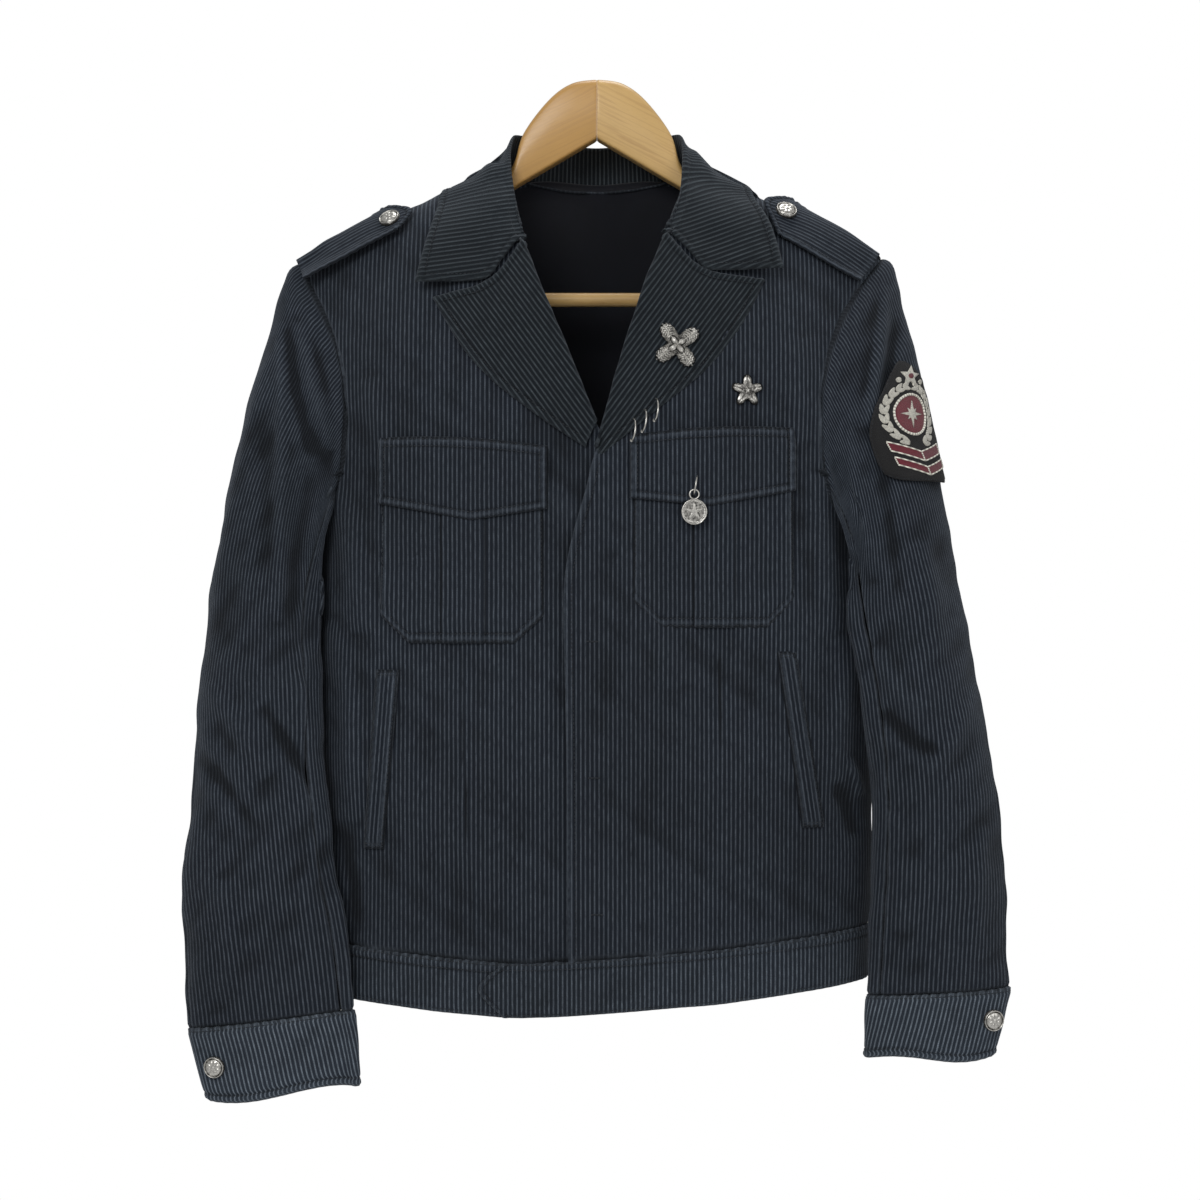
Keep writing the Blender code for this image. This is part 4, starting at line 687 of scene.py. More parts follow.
def sleeve_grid(side, piece, rows_top, rows_low, columns, tree):
    """Top sleeve or under sleeve, from the armhole to the cuff seam."""
    grid = []
    for i in range(rows_top + rows_low + 1):
        if i <= rows_top:
            t = between(0.006, 1.0, (i / rows_top) ** 1.25)
        else:
            t = 1.0 + (i - rows_top) / rows_low
        share = min(1.0, t / 2.0)
        hind = between(HIND_SEAM[0], HIND_SEAM[1], smooth(share * 1.25))
        front = between(FRONT_SEAM[0], FRONT_SEAM[1], share)
        hind_gap = seam_turn(side, t, hind)
        tuck = math.sin(math.pi * min(t, 1.0)) ** 0.8
        front_gap = seam_turn(side, t, front) * (1.0 + UNDERARM_SEAM * tuck)
        if piece == "top":
            start, end = hind + hind_gap, front - front_gap
        else:
            start, end = front + front_gap, hind + 360.0 - hind_gap
        turns = [between(start, end, j / columns) for j in range(columns + 1)]
        if piece == "under":
            side_turn = max(wrap_turn(side, t), start + 20.0)
            turns = [between(start, side_turn, j / UNDER_FRONT) for j in range(UNDER_FRONT)]
            turns += [between(side_turn, end, j / (columns - UNDER_FRONT))
                      for j in range(columns - UNDER_FRONT + 1)]
        row = [sleeve_point(side, t, turn) for turn in turns]
        room = UNDER_CLEAR * smooth((t - 0.02) / 0.25)
        if room > 0.001:
            row = [nearest_out(tree, point, room) if turn > PUSH_FROM and point.z < PUSH_BELOW
                   else point for turn, point in zip(turns, row)]
        grid.append(row)
    return grid


def cuff_grid(side, rows, columns):
    """Flat cuff, a closed ring hung below the sleeve's end."""
    cuff, last = CUFFS[side], SLEEVES[side][-1]
    grid = []
    for i in range(rows + 1):
        f = i / rows
        row = []
        for j in range(columns):
            turn = 2 * math.pi * j / columns
            x_out = between(last.outer + CUFF_LIFT, cuff.x_outer, f)
            x_in = between(last.inner - CUFF_LIFT, cuff.x_inner, f)
            z_out = between(cuff.outer_top, cuff.outer_low, f)
            z_in = between(cuff.inner_top, cuff.inner_low, f)
            wave = 0.0035 * f * math.sin(1.7 * math.pi * (0.5 - 0.5 * math.cos(turn)) + 0.4)
            x = (x_out + x_in) / 2 + (x_out - x_in) / 2 * math.cos(turn)
            z = (z_out + z_in) / 2 + (z_out - z_in) / 2 * math.cos(turn) - wave
            squash = abs(math.sin(turn)) ** 0.8
            y = -last.forward - (CUFF_DEPTH + CUFF_LIFT) * math.copysign(squash, math.sin(turn))
            y = clear_of_trunk(side, x, y, z, math.degrees(turn), 1.0)
            row.append(Vector((side * x, y, z)))
        grid.append(row)
    return grid


def faces_of(rows, columns, closed):
    across = columns if closed else columns - 1
    return [(i * columns + j, i * columns + (j + 1) % columns,
             (i + 1) * columns + (j + 1) % columns, (i + 1) * columns + j)
            for i in range(rows - 1) for j in range(across)]


def nearest_out(tree, point, gap):
    """Moves a point out of a surface until it is clear of it by gap."""
    place, normal, _, _ = tree.find_nearest(point)
    away = point - place
    if away.dot(normal) < 0.0:
        return place + normal * gap
    if away.length < gap:
        return place + away.normalized() * gap
    return point


def surface_tree(grids):
    """A search tree over the outside of several grids, faces pointing out."""
    points, faces = [], []
    for grid, flip in grids:
        start, columns = len(points), len(grid[0])
        points += [point for row in grid for point in row]
        for face in faces_of(len(grid), columns, False):
            face = tuple(start + k for k in (face[::-1] if flip else face))
            faces += [face[:3], (face[0], face[2], face[3])]
    return BVHTree.FromPolygons(points, faces)


def tent(u, peak):
    return u / peak if u < peak else (1.0 - u) / (1.0 - peak)


def lapel_grid(side, rows, columns):
    """Lapel from its roll line out to its edge, lying on the front."""
    lapel = LAPELS[side]
    grid = []
    for i in range(rows + 1):
        v = i / rows
        z_roll = between(lapel.roll_top - SEAM, lapel.roll_low, v)
        roll = (read_table(FRONT_EDGES[side], "x", z_roll), z_roll)
        edge = along(lapel.edge, v)
        top_roll = (read_table(FRONT_EDGES[side], "x", lapel.roll_top), lapel.roll_top)
        bend = [n - between(a, b, NOTCH_SHARE)
                for n, a, b in zip(lapel.notch, top_roll, lapel.edge[0])]
        fade = (1.0 - v) ** 5
        row = [on_front(side, roll[0] + side * 0.0004, roll[1], -0.0006),
               on_front(side, roll[0] - side * 0.0008, roll[1], 0.0012),
               on_front(side, roll[0] + side * 0.0004, roll[1], LAPEL_LIFT + LAPEL_ROLL * 0.75)]
        for j in range(1, columns + 1):
            u = (j / columns) ** 1.2
            x, z = [between(a, b, u) + bent * fade * tent(u, NOTCH_SHARE)
                    for a, b, bent in zip(roll, edge, bend)]
            lift = LAPEL_LIFT + LAPEL_ROLL * math.exp(-4.0 * u) * (1.0 - 0.6 * v)
            row.append(on_front(side, x, z, lift))
        grid.append(row)
    return grid


def collar_grid(stations, tree):
    """Collar in one wall: the stand up to its fold, and the fall down to its edge."""
    grid = []
    for i in range(-stations, stations + 1):
        side = -1 if i < 0 else 1
        s = 1.0 - abs(i) / stations
        seam, fold, edge = (Vector(along(line, s))
                            for line in (COLLAR_SEAM, COLLAR_FOLD, COLLAR_EDGES[side]))
        for point in (seam, fold, edge):
            point.x *= side
        lapel = LAPELS[side]
        corner = Vector((read_table(FRONT_EDGES[side], "x", lapel.roll_top), COLLAR_FOLD[0][1],
                         lapel.roll_top + 2 * SEAM))
        first = Vector(COLLAR_FOLD[0])
        first.x *= side
        shift = (corner - first) * max(0.0, 1.0 - (stations - abs(i)) / 3)
        seam, fold = seam + shift, fold + shift
        up = (fold - seam).normalized()
        out = (edge - fold).normalized()
        crest = fold + up * 0.0016 + out * 0.0018
        turn = nearest_out(tree, fold + out * 0.0042, STAND_CLEAR)
        row = [seam, (seam + fold) / 2, fold, crest, turn]
        for k in range(1, 6):
            t = k / 5
            point = between(turn, edge, t)
            if abs(i) >= stations - 1:
                fade = 1.0 if abs(i) == stations else 0.30
                mid = between(fold, edge, NOTCH_SHARE)
                bend = Vector((lapel.notch[0] - mid.x, 0.0, lapel.notch[1] + NOTCH_GAP - mid.z))
                point = point + bend * fade * tent(t, NOTCH_SHARE)
            near = math.exp(-(point.y / RIDGE_WIDTH) ** 2)
            row.append(nearest_out(tree, point, COLLAR_CLEAR + COLLAR_OVER_RIDGE * near))
        grid.append(row)
    return grid


def strap_grid(side, tree, rows, columns):
    """Shoulder strap, flat and tilted forward, pressed down at the armhole."""
    strap = STRAPS[side]
    low_out, high_out, low_in, high_in, tip = (Vector((side * c[0], c[1], c[2])) for c in strap)
    reach = tip - (low_in + high_in) / 2
    grid = []
    for i in range(rows + 1):
        u = i / rows
        row = []
        for j in range(columns + 1):
            v = j / columns
            low, high = between(low_out, low_in, u), between(high_out, high_in, u)
            point = between(low, high, v) + reach * (1.0 - abs(2 * v - 1)) * smooth((u - 0.55) / 0.45)
            near = math.exp(-(point.y / RIDGE_WIDTH) ** 2)
            clear = between(STRAP_SEAT, STRAP_CLEAR, smooth(u / 0.35))
            row.append(nearest_out(tree, point, clear + STRAP_OVER_RIDGE * near))
        grid.append(row)
    return grid


def flap_point(side, u, v):
    """A place on a pocket flap: u runs across it, v from its top down."""
    flap = FLAPS[side]
    peak = (flap.point_x - flap.left) / (flap.right - flap.left)
    top = between(flap.top_left, flap.top_right, u) + 0.0030 * math.sin(math.pi * u)
    line = between(flap.low_left, flap.low_right, u)
    low = line + (flap.point_z - between(flap.low_left, flap.low_right, peak)) * tent(u, peak)
    lift = FLAP_LIFT + FLAP_STAND * smooth((v - 0.02) / 0.22)
    return on_front(side, between(flap.left, flap.right, u), between(top, low, v), lift)


def welt_grid(side, rows):
    welt = WELTS[side]
    grid = []
    for i in range(rows + 1):
        f = i / rows
        left = between(welt.top_left, welt.low_left, f)
        right = between(welt.top_right, welt.low_right, f)
        z = between(welt.top, welt.low, f)
        grid.append([on_front(side, between(left, right, u), z, WELT_LIFT) for u in (0.0, 0.5, 1.0)])
    return grid


def band_grid(rows, front, behind):
    """Waistband, from its pointed end over the closing round to its plain end."""
    width = read_table(TRUNK, "half_width", HEM_LEVEL)
    grid = []
    for i in range(rows + 1):
        v = i / rows
        tip = TAB_START - TAB_POINT * (1.0 - abs(2 * v - 1))
        starts = (math.asin(tip / width), math.asin(BAND_END / width))
        turns = [between(starts[0], math.pi / 2, j / front) for j in range(front + 1)]
        turns += [math.pi / 2 + math.pi * j / behind for j in range(1, behind + 1)]
        turns += [between(1.5 * math.pi, 2 * math.pi + starts[1], j / (front - 3))
                  for j in range(1, front - 2)]
        row = []
        for k, turn in enumerate(turns):
            x = width * math.sin(turn)
            z = band_z(x) - SEAM - BAND_HEIGHT * v
            if math.cos(turn) < 1e-9 and front < k < front + behind:
                y = trunk_y(x, z, 1)
                row.append(Vector((x, y, z)) + outward(x, z, 1) * BAND_LIFT)
            else:
                side = 1 if k <= front else -1
                lift = front_lift(side, x) + BAND_LIFT
                y = trunk_y(x, z, -1)
                row.append(Vector((x, y, z)) + outward(x * 0.999, z, -1) * lift)
        grid.append(row)
    return grid


def lining_grid(rows, columns):
    """The part of the lining that shows through the neck: inside the back."""
    grid = []
    for i in range(rows + 1):
        row = []
        for j in range(columns + 1):
            x = between(-LINING_HALF, LINING_HALF, j / columns)
            top = min(LINING_TOP, ridge(x) - LINING_BELOW_RIDGE)
            z = between(top, LINING_END, i / rows)
            row.append(Vector((x, trunk_y(x, z, 1), z)) - outward(x, z, 1) * LINING_IN)
        grid.append(row)
    return grid


def hanger_top(x):
    line = [along(HANGER_ARCH, k / 60) for k in range(61)]
    if abs(x) < HANGER_ARCH[-1][0]:
        return float(np.interp(abs(x), [place[0] for place in line], [place[1] for place in line]))
    return ridge(x) - HANGER_UNDER


def hanger_low(x):
    line = HANGER_LOW - HANGER_LOW_SLOPE * abs(x)
    return between(line, BOSS_LOW, smooth((abs(x) - BOSS_FROM) / (BOSS_TO - BOSS_FROM)))


def hoop_points(start, end, count, bulge, side_bulge):
    """A half round of wire from one place to another, standing off the cloth."""
    middle = (start + end) / 2
    half = (start - end) / 2
    points = []
    for k in range(count + 1):
        turn = math.pi * k / count
        points.append(middle + half * math.cos(turn)
                      + Vector((side_bulge, -bulge, 0.0)) * math.sin(turn))
    return points


def halve(low, high, too_low):
    """The value between two others at which a test turns from true to false."""
    for _ in range(18):
        middle = (low + high) / 2
        if too_low(middle):
            low = middle
        else:
            high = middle
    return (low + high) / 2


def sleeve_share(side, degrees, z):
    """Share along the sleeve that reaches height z at a turn about it."""
    return halve(0.02, 1.4, lambda t: sleeve_point(side, t, degrees).z > z)


def patch_grid(rows, columns, tree):
    """Felt patch bent round the wearer's left sleeve."""
    grid = []
    for i in range(rows + 1):
        z, x, back = along([tuple(r) for r in PATCH], i / rows)
        front = halve(0.0, 130.0, lambda d: sleeve_point(1, sleeve_share(1, d, z), d).x > x)
        row = []
        for j in range(columns + 1):
            degrees = between(min(back, front - 4.0), front, j / columns)
            point = off_sleeve(1, sleeve_share(1, degrees, z), degrees, PATCH_LIFT)
            row.append(nearest_out(tree, point, PATCH_CLEAR))
        grid.append(row)
    return grid


def off_sleeve(side, t, degrees, lift):
    """A point off the sleeve's outside, along its normal."""
    along_t = sleeve_point(side, t + 0.08, degrees) - sleeve_point(side, t - 0.08, degrees)
    around = sleeve_point(side, t, degrees + 9.0) - sleeve_point(side, t, degrees - 9.0)
    normal = along_t.cross(around).normalized() * side
    centre = sleeve_point(side, t, 90.0) * 0.5 + sleeve_point(side, t, 270.0) * 0.5
    point = sleeve_point(side, t, degrees)
    if normal.dot(point - centre) < 0:
        normal = -normal
    return point + normal * lift


def medal_hoop_points(count):
    start, end = FLAP_HOOP
    lift = FLAP_LIFT + FLAP_STAND + WIRE_RADIUS
    return hoop_points(on_front(1, *start, lift), on_front(1, *end, lift), count, HOOP_BULGE, 0.0)


# Fine sheets: smooth grids through the coarse ones, with seams and creases pressed in
PIN_PITCH = 0.00335
STITCH_PITCH = 0.0031
STITCH_LENGTH = 0.0023
STITCH_HALF = 0.00028
STITCH_FLAT = 0.8
SEAM_ROLL = 0.0012
SEAM_SINK = 0.0011
CHANNEL_SINK = 0.00060
BEAD_RISE = 0.00055
CHANNEL_WIDTH = 0.0011
PUCKER = 0.00030
PUCKER_PITCH = 0.0074
SMALL_WAVES = 0.00045
HEM_DEPTH = 0.0032
# Painted shade: the depth below the smoothed sheet that takes the full painted crevice shade, and the
# share of the broad rise that counts
CREVICE_SHADE_DEPTH = 0.0009
BROAD_SHARE = 0.12
# Width of the painted shade line along the edges of trim pieces
SHADE_OUTLINE_WIDTH = 0.0017
# Lighter band: wear along the edges, moved inward on trim pieces, and a painted highlight on raised
# ridges
WEAR_WIDTH = 0.0016
WEAR_INSET = 0.0034
INNER_WEAR = 0.6
RIDGE_HIGHLIGHT_GAIN = 140.0
SMOOTHINGS = 24
WAVE_COUNT = 7


def refine(points, count, axis, closed=False):
    """Evenly spaced points along one axis of a grid, on a smooth curve through those it has."""
    points = np.moveaxis(points, axis, 0)
    if closed:
        points = np.concatenate([points[-1:], points, points[:2]])
    steps = np.linalg.norm(np.diff(points, axis=0), axis=2).mean(axis=1)
    gone = np.concatenate([[0.0], np.cumsum(steps)])
    flat = points.reshape(len(points), -1)
    slope = np.gradient(flat, gone, axis=0)
    start, end = (gone[1], gone[-2]) if closed else (0.0, gone[-1])
    place = np.linspace(start, end, count, endpoint=not closed)
    first = np.clip(np.searchsorted(gone, place, side="right") - 1, 0, len(gone) - 2)
    span = steps[first][:, None]
    f = (place - gone[first])[:, None] / span
    out = ((2 * f**3 - 3 * f**2 + 1) * flat[first] + (f**3 - 2 * f**2 + f) * span * slope[first]
           + (-2 * f**3 + 3 * f**2) * flat[first + 1] + (f**3 - f**2) * span * slope[first + 1])
    return np.moveaxis(out.reshape((count,) + points.shape[1:]), 0, axis)


def fine(grid, rows, columns, closed=False):
    points = np.array([[tuple(point) for point in row] for row in grid])
    return refine(refine(points, rows, 0), columns, 1, closed)


def unit(vectors):
    return vectors / np.maximum(np.linalg.norm(vectors, axis=-1, keepdims=True), 1e-12)


def slopes(points, closed):
    """Steps down and across a grid at each of its points."""
    down = np.gradient(points, axis=0)
    if closed:
        across = (np.roll(points, -1, 1) - np.roll(points, 1, 1)) / 2
    else:
        across = np.gradient(points, axis=1)
    return down, across


def facing(points, flip, closed=False):
    """The outward direction at each point of a grid."""
    down, across = slopes(points, closed)
    return unit(np.cross(across, down)) * (-1.0 if flip else 1.0)


def run(points, axis):
    """Distance along one axis of a grid from its first point."""
    steps = np.linalg.norm(np.diff(points, axis=axis), axis=2)
    start = np.zeros_like(np.take(steps, [0], axis=axis))
    return np.concatenate([start, np.cumsum(steps, axis=axis)], axis=axis)


def edges_of(points):
    """Distance of each point from the grid's top, low, left and right edges."""
    down, across = run(points, 0), run(points, 1)
    return {"top": down, "low": down[-1:] - down, "left": across, "right": across[:, -1:] - across}


def bump(distance, width):
    return np.exp(-(distance / width) ** 2)


def waves(points, size, seed):
    """Soft irregular waves in space, about as long as size, from -1 to 1."""
    draw = np.random.default_rng(seed)
    total = np.zeros(points.shape[:-1])
    for _ in range(WAVE_COUNT):
        way = draw.normal(size=3)
        way /= np.linalg.norm(way)
        length = size * draw.uniform(0.6, 1.7)
        total += np.sin(points @ way * 2 * math.pi / length + draw.uniform(0, 2 * math.pi))
    return total / math.sqrt(2 * WAVE_COUNT)


def crease(points, line, width, height):
    """A long fold seen from the front: its line is points of X and Z."""
    x, z = points[..., 0], points[..., 2]
    total = sum(math.dist(a, b) for a, b in zip(line, line[1:]))
    best = np.full(x.shape, 9.0)
    share = np.zeros(x.shape)
    gone = 0.0
    for (ax, az), (bx, bz) in zip(line, line[1:]):
        length = math.dist((ax, az), (bx, bz))
        t = np.clip(((x - ax) * (bx - ax) + (z - az) * (bz - az)) / length**2, 0, 1)
        away = np.hypot(x - ax - t * (bx - ax), z - az - t * (bz - az))
        nearer = away < best
        best = np.where(nearer, away, best)
        share = np.where(nearer, (gone + t * length) / total, share)
        gone += length
    fade = np.sin(math.pi * np.clip(share, 0.0, 1.0)) ** 0.6
    return height * fade * bump(best, width)


def stitched(edges, side, place):
    """The channel that a row of stitches pulls into the cloth, and the puckers beside it."""
    distance = edges[side]
    along_edge = edges["left"] if side in ("top", "low") else edges["top"]
    wave = np.sin(along_edge * 2 * math.pi / PUCKER_PITCH + 1.3 * np.sin(along_edge * 97.0))
    near_edge = np.clip(1.0 - distance / (place * 1.6), 0.0, 1.0)
    bead = BEAD_RISE * bump(distance - 0.45 * place, 0.30 * place) if place > 0.004 else 0.0
    return bead - CHANNEL_SINK * bump(distance - place, CHANNEL_WIDTH) + PUCKER * wave * near_edge


def rolled(edges, *sides):
    """Cloth that turns in at a seam or a folded edge."""
    return -sum(SEAM_SINK * bump(edges[side], SEAM_ROLL) for side in sides)


def add_values(mesh, name, values):
    """One number at each point of a mesh, for its finish to read."""
    layer = mesh.attributes.new(name, "FLOAT", "POINT")
    layer.data.foreach_set("value", np.array(values, np.float32).ravel())


def add_map(mesh, name, places):
    """A map of a mesh: one place for each corner of its faces."""
    layer = mesh.uv_layers.new(name=name)
    layer.data.foreach_set("uv", np.array(places, np.float32).ravel())


def turn_out(mesh):
    """Turns the faces of a closed mesh outward and shades them smooth."""
    shape = bmesh.new()
    shape.from_mesh(mesh)
    bmesh.ops.recalc_face_normals(shape, faces=shape.faces)
    shape.to_mesh(mesh)
    shape.free()
    mesh.shade_smooth()


def cloth_mesh(name, points, stripe, length, closed, flip):
    """A mesh through a grid, with a map that gives metres across and along the stripes."""
    rows, columns = points.shape[:2]
    faces = faces_of(rows, columns, closed)
    if flip:
        faces = [face[::-1] for face in faces]
    mesh = bpy.data.meshes.new(name)
    mesh.from_pydata(points.reshape(-1, 3).tolist(), [], faces)
    corners = np.array([corner for face in faces for corner in face])
    across = stripe.reshape(-1)[corners].astype(float)
    if closed:
        turn = stripe[:, -1] + (stripe[:, -1] - stripe[:, -2])
        wrapped = (corners % columns == 0) & np.repeat(
            [(face[0] % columns in (0, columns - 1)) and columns - 1 in
             [c % columns for c in face] for face in faces], 4)
        across = np.where(wrapped, turn[corners // columns], across)
    add_map(mesh, "cloth", np.stack([across, length.reshape(-1)[corners]], 1))
    mesh.shade_smooth()
    return mesh


def add_piece(name, mesh, material, body, node=None):
    obj = bpy.data.objects.new(name, mesh)
    bpy.context.scene.collection.objects.link(obj)
    if not mesh.materials:
        mesh.materials.append(material)
    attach(obj, body)
    if node:
        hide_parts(node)
    return obj


def smoothed(rise):
    """The broad part of a sheet's rise, without its seams and stitches."""
    even = rise
    for _ in range(SMOOTHINGS):
        wide = np.pad(even, 1, mode="edge")
        even = (wide[:-2, 1:-1] + wide[2:, 1:-1] + wide[1:-1, :-2] + wide[1:-1, 2:] + 4.0 * even) / 8.0
    return even


def hemmed(fields, out, side, reach, lean=(0.0, 0.0, 0.0)):
    """Adds cloth turned in behind one edge of a grid, so that no gap shows at the seam."""
    axis = 0 if side in ("top", "low") else 1
    first = side in ("top", "left")
    turned = [np.moveaxis(field, axis, 0)[::1 if first else -1] for field in (*fields, out)]
    reach = np.reshape(reach, (-1, 1))
    points, ways = turned[0], turned[-1]
    away = unit(unit(points[0] - points[2]) + np.array(lean))
    deep = points[0] + away * reach - ways[0] * HEM_DEPTH
    middle = points[0] + away * reach * 0.7 - ways[0] * HEM_DEPTH * 0.4
    made = []
    for k, field in enumerate(turned):
        rows = [deep, middle] if k == 0 else [field[0], field[0]]
        made.append(np.moveaxis(np.concatenate([rows, field])[::1 if first else -1], 0, axis))
    return made[:-1], made[-1]


def make_sheet(node, points, rise, material, stripe=None, length=None, flip=False, closed=False,
               wall=WALL, outline=0.0, hems=()):
    """A fine cloth piece in the place of a CAD node, and what its other pieces need of it."""
    out = facing(points, flip, closed)
    points = points + out * rise[..., None]
    stripe = run(points, 1) if stripe is None else stripe
    length = run(points, 0) if length is None else length
    edges = edges_of(points)
    nearest = np.minimum.reduce([edges["top"], edges["low"]] if closed else list(edges.values()))
    # Lighter where the cloth wears at its edges, and a painted highlight where it rises above its
    # smoothed shape
    inner = bump(nearest - WEAR_INSET, WEAR_WIDTH)
    edge_wear_and_highlight = bump(nearest, WEAR_WIDTH) * (1.0 - outline) + INNER_WEAR * outline * inner
    small = rise - smoothed(rise)
    edge_wear_and_highlight = np.clip(edge_wear_and_highlight + RIDGE_HIGHLIGHT_GAIN * np.maximum(small, 0.0), 0.0, 1.0)
    # Painted shade, darker where the sheet sinks below its smoothed rise and along the edges of trim
    # pieces
    deep = -(small + BROAD_SHARE * rise) / CREVICE_SHADE_DEPTH
    painted_shade = np.clip(deep + outline * bump(nearest, SHADE_OUTLINE_WIDTH), 0.0, 1.0)
    fields, ways = [points, stripe, length, edge_wear_and_highlight, painted_shade], facing(points, flip, closed)
    for hem in hems:
        fields, ways = hemmed(fields, ways, *hem)
    full, stripe, length, edge_wear_and_highlight, painted_shade = fields
    mesh = cloth_mesh(node + "_cloth", full, stripe, length, closed, flip)
    add_values(mesh, "wear_and_highlight", edge_wear_and_highlight)
    add_values(mesh, "crevice_shade", painted_shade)
    obj = add_piece(node + "_cloth", mesh, material, "root", node)
    solid = obj.modifiers.new("wall", "SOLIDIFY")
    solid.thickness = wall
    solid.offset = -1.0
    return obj, points, facing(points, flip, closed)


def edge_line(points, out, side, place):
    """The line on a sheet that lies a set distance in from one of its edges."""
    distance = edges_of(points)[side]
    if side in ("top", "low"):
        points, out, distance = (np.swapaxes(a, 0, 1) for a in (points, out, distance))
    line = []
    for spot, way, gone in zip(points, out, distance):
        order = np.argsort(gone)
        gone, spot, way = gone[order], spot[order], way[order]
        if gone[-1] < place:
            continue
        share = [np.interp(place, gone, spot[:, k]) for k in range(3)]
        turn = [np.interp(place, gone, way[:, k]) for k in range(3)]
        line.append((share, turn))
    return np.array([p for p, _ in line]), unit(np.array([w for _, w in line]))


def add_stitches(store, line, out, start, end):
    """Adds a row of stitches along a line on a sheet: middle, direction and outward way."""
    gone = np.concatenate([[0.0], np.cumsum(np.linalg.norm(np.diff(line, axis=0), axis=1))])
    places = np.arange(gone[-1] * start + STITCH_PITCH, gone[-1] * end - STITCH_PITCH * 0.5,
                       STITCH_PITCH)
    for place in places:
        ends = [np.array([np.interp(place + k * STITCH_LENGTH / 2, gone, line[:, i])
                          for i in range(3)]) for k in (-1, 1)]
        way = unit(np.array([np.interp(place, gone, out[:, i]) for i in range(3)]))
        store.append((ends[0], ends[1], way))


def stitch_object(name, store, material):
    """A mesh of all the stitches of one sheet, each a small thread that dips at its ends."""
    points, faces = [], []
    for a, b, way in store:
        side = unit(np.cross(b - a, way)) * STITCH_HALF
        start = len(points)
        for share, lift, wide in ((0.0, -0.9, 0.45), (0.22, 0.75, 1.0), (0.78, 0.75, 1.0),
                                  (1.0, -0.9, 0.45)):
            middle = a + (b - a) * share + way * STITCH_HALF * lift
            high = way * STITCH_HALF * STITCH_FLAT * wide
            points += [middle + side * wide, middle + high, middle - side * wide, middle - high]
        for r in range(3):
            for k in range(4):
                n = (k + 1) % 4
                faces.append((start + 4 * r + k, start + 4 * r + n, start + 4 * r + 4 + n,
                              start + 4 * r + 4 + k))
        faces.append((start, start + 3, start + 2, start + 1))
        faces.append((start + 12, start + 13, start + 14, start + 15))
    mesh = bpy.data.meshes.new(name)
    mesh.from_pydata([tuple(p) for p in points], [], faces)
    turn_out(mesh)
    return add_piece(name, mesh, material, "root")


# Finishes, all worked out by nodes
NAVY = (0.0072, 0.0105, 0.0172)
PIN_LINE = (0.0840, 0.1010, 0.1240)
COLLAR_NAVY = (0.0056, 0.0084, 0.0118)
COLLAR_LINE = (0.0600, 0.0740, 0.0840)
# Lighter copy of the pinstripe cloth for the waistband: painted light that it catches
LIT_BAND_NAVY = (0.0112, 0.0158, 0.0236)
LIT_BAND_LINE = (0.1200, 0.1440, 0.1740)
# Lighter copy of the pinstripe cloth for the cuffs: painted light that they catch
LIT_CUFF_NAVY = (0.0190, 0.0260, 0.0370)
LIT_CUFF_LINE = (0.1850, 0.2200, 0.2620)
LINING_NAVY = (0.0020, 0.0032, 0.0082)
LIGHT_WOOD = (0.660, 0.425, 0.160)
WARM_WOOD = (0.540, 0.305, 0.092)
WOOD_LINE = (0.430, 0.232, 0.080)
BRIGHT_SILVER = (0.640, 0.625, 0.585)
DARK_SILVER = (0.045, 0.043, 0.040)
FELT_BLACK = (0.0090, 0.0085, 0.0100)
SILVER_THREAD = (0.930, 0.900, 0.790)
RED_THREAD = (0.230, 0.010, 0.030)
# Colour of the painted shade in creases, seam channels and along trim edges
CREVICE_SHADE = (0.0020, 0.0028, 0.0042)
STITCH_NAVY = (0.0150, 0.0200, 0.0280)
LINE_SHARE = 0.30
DOT_PITCH = 0.0013
TWILL_PITCH = 0.0008
SATIN_PITCH = 0.0007
RING_PITCH = 0.0052


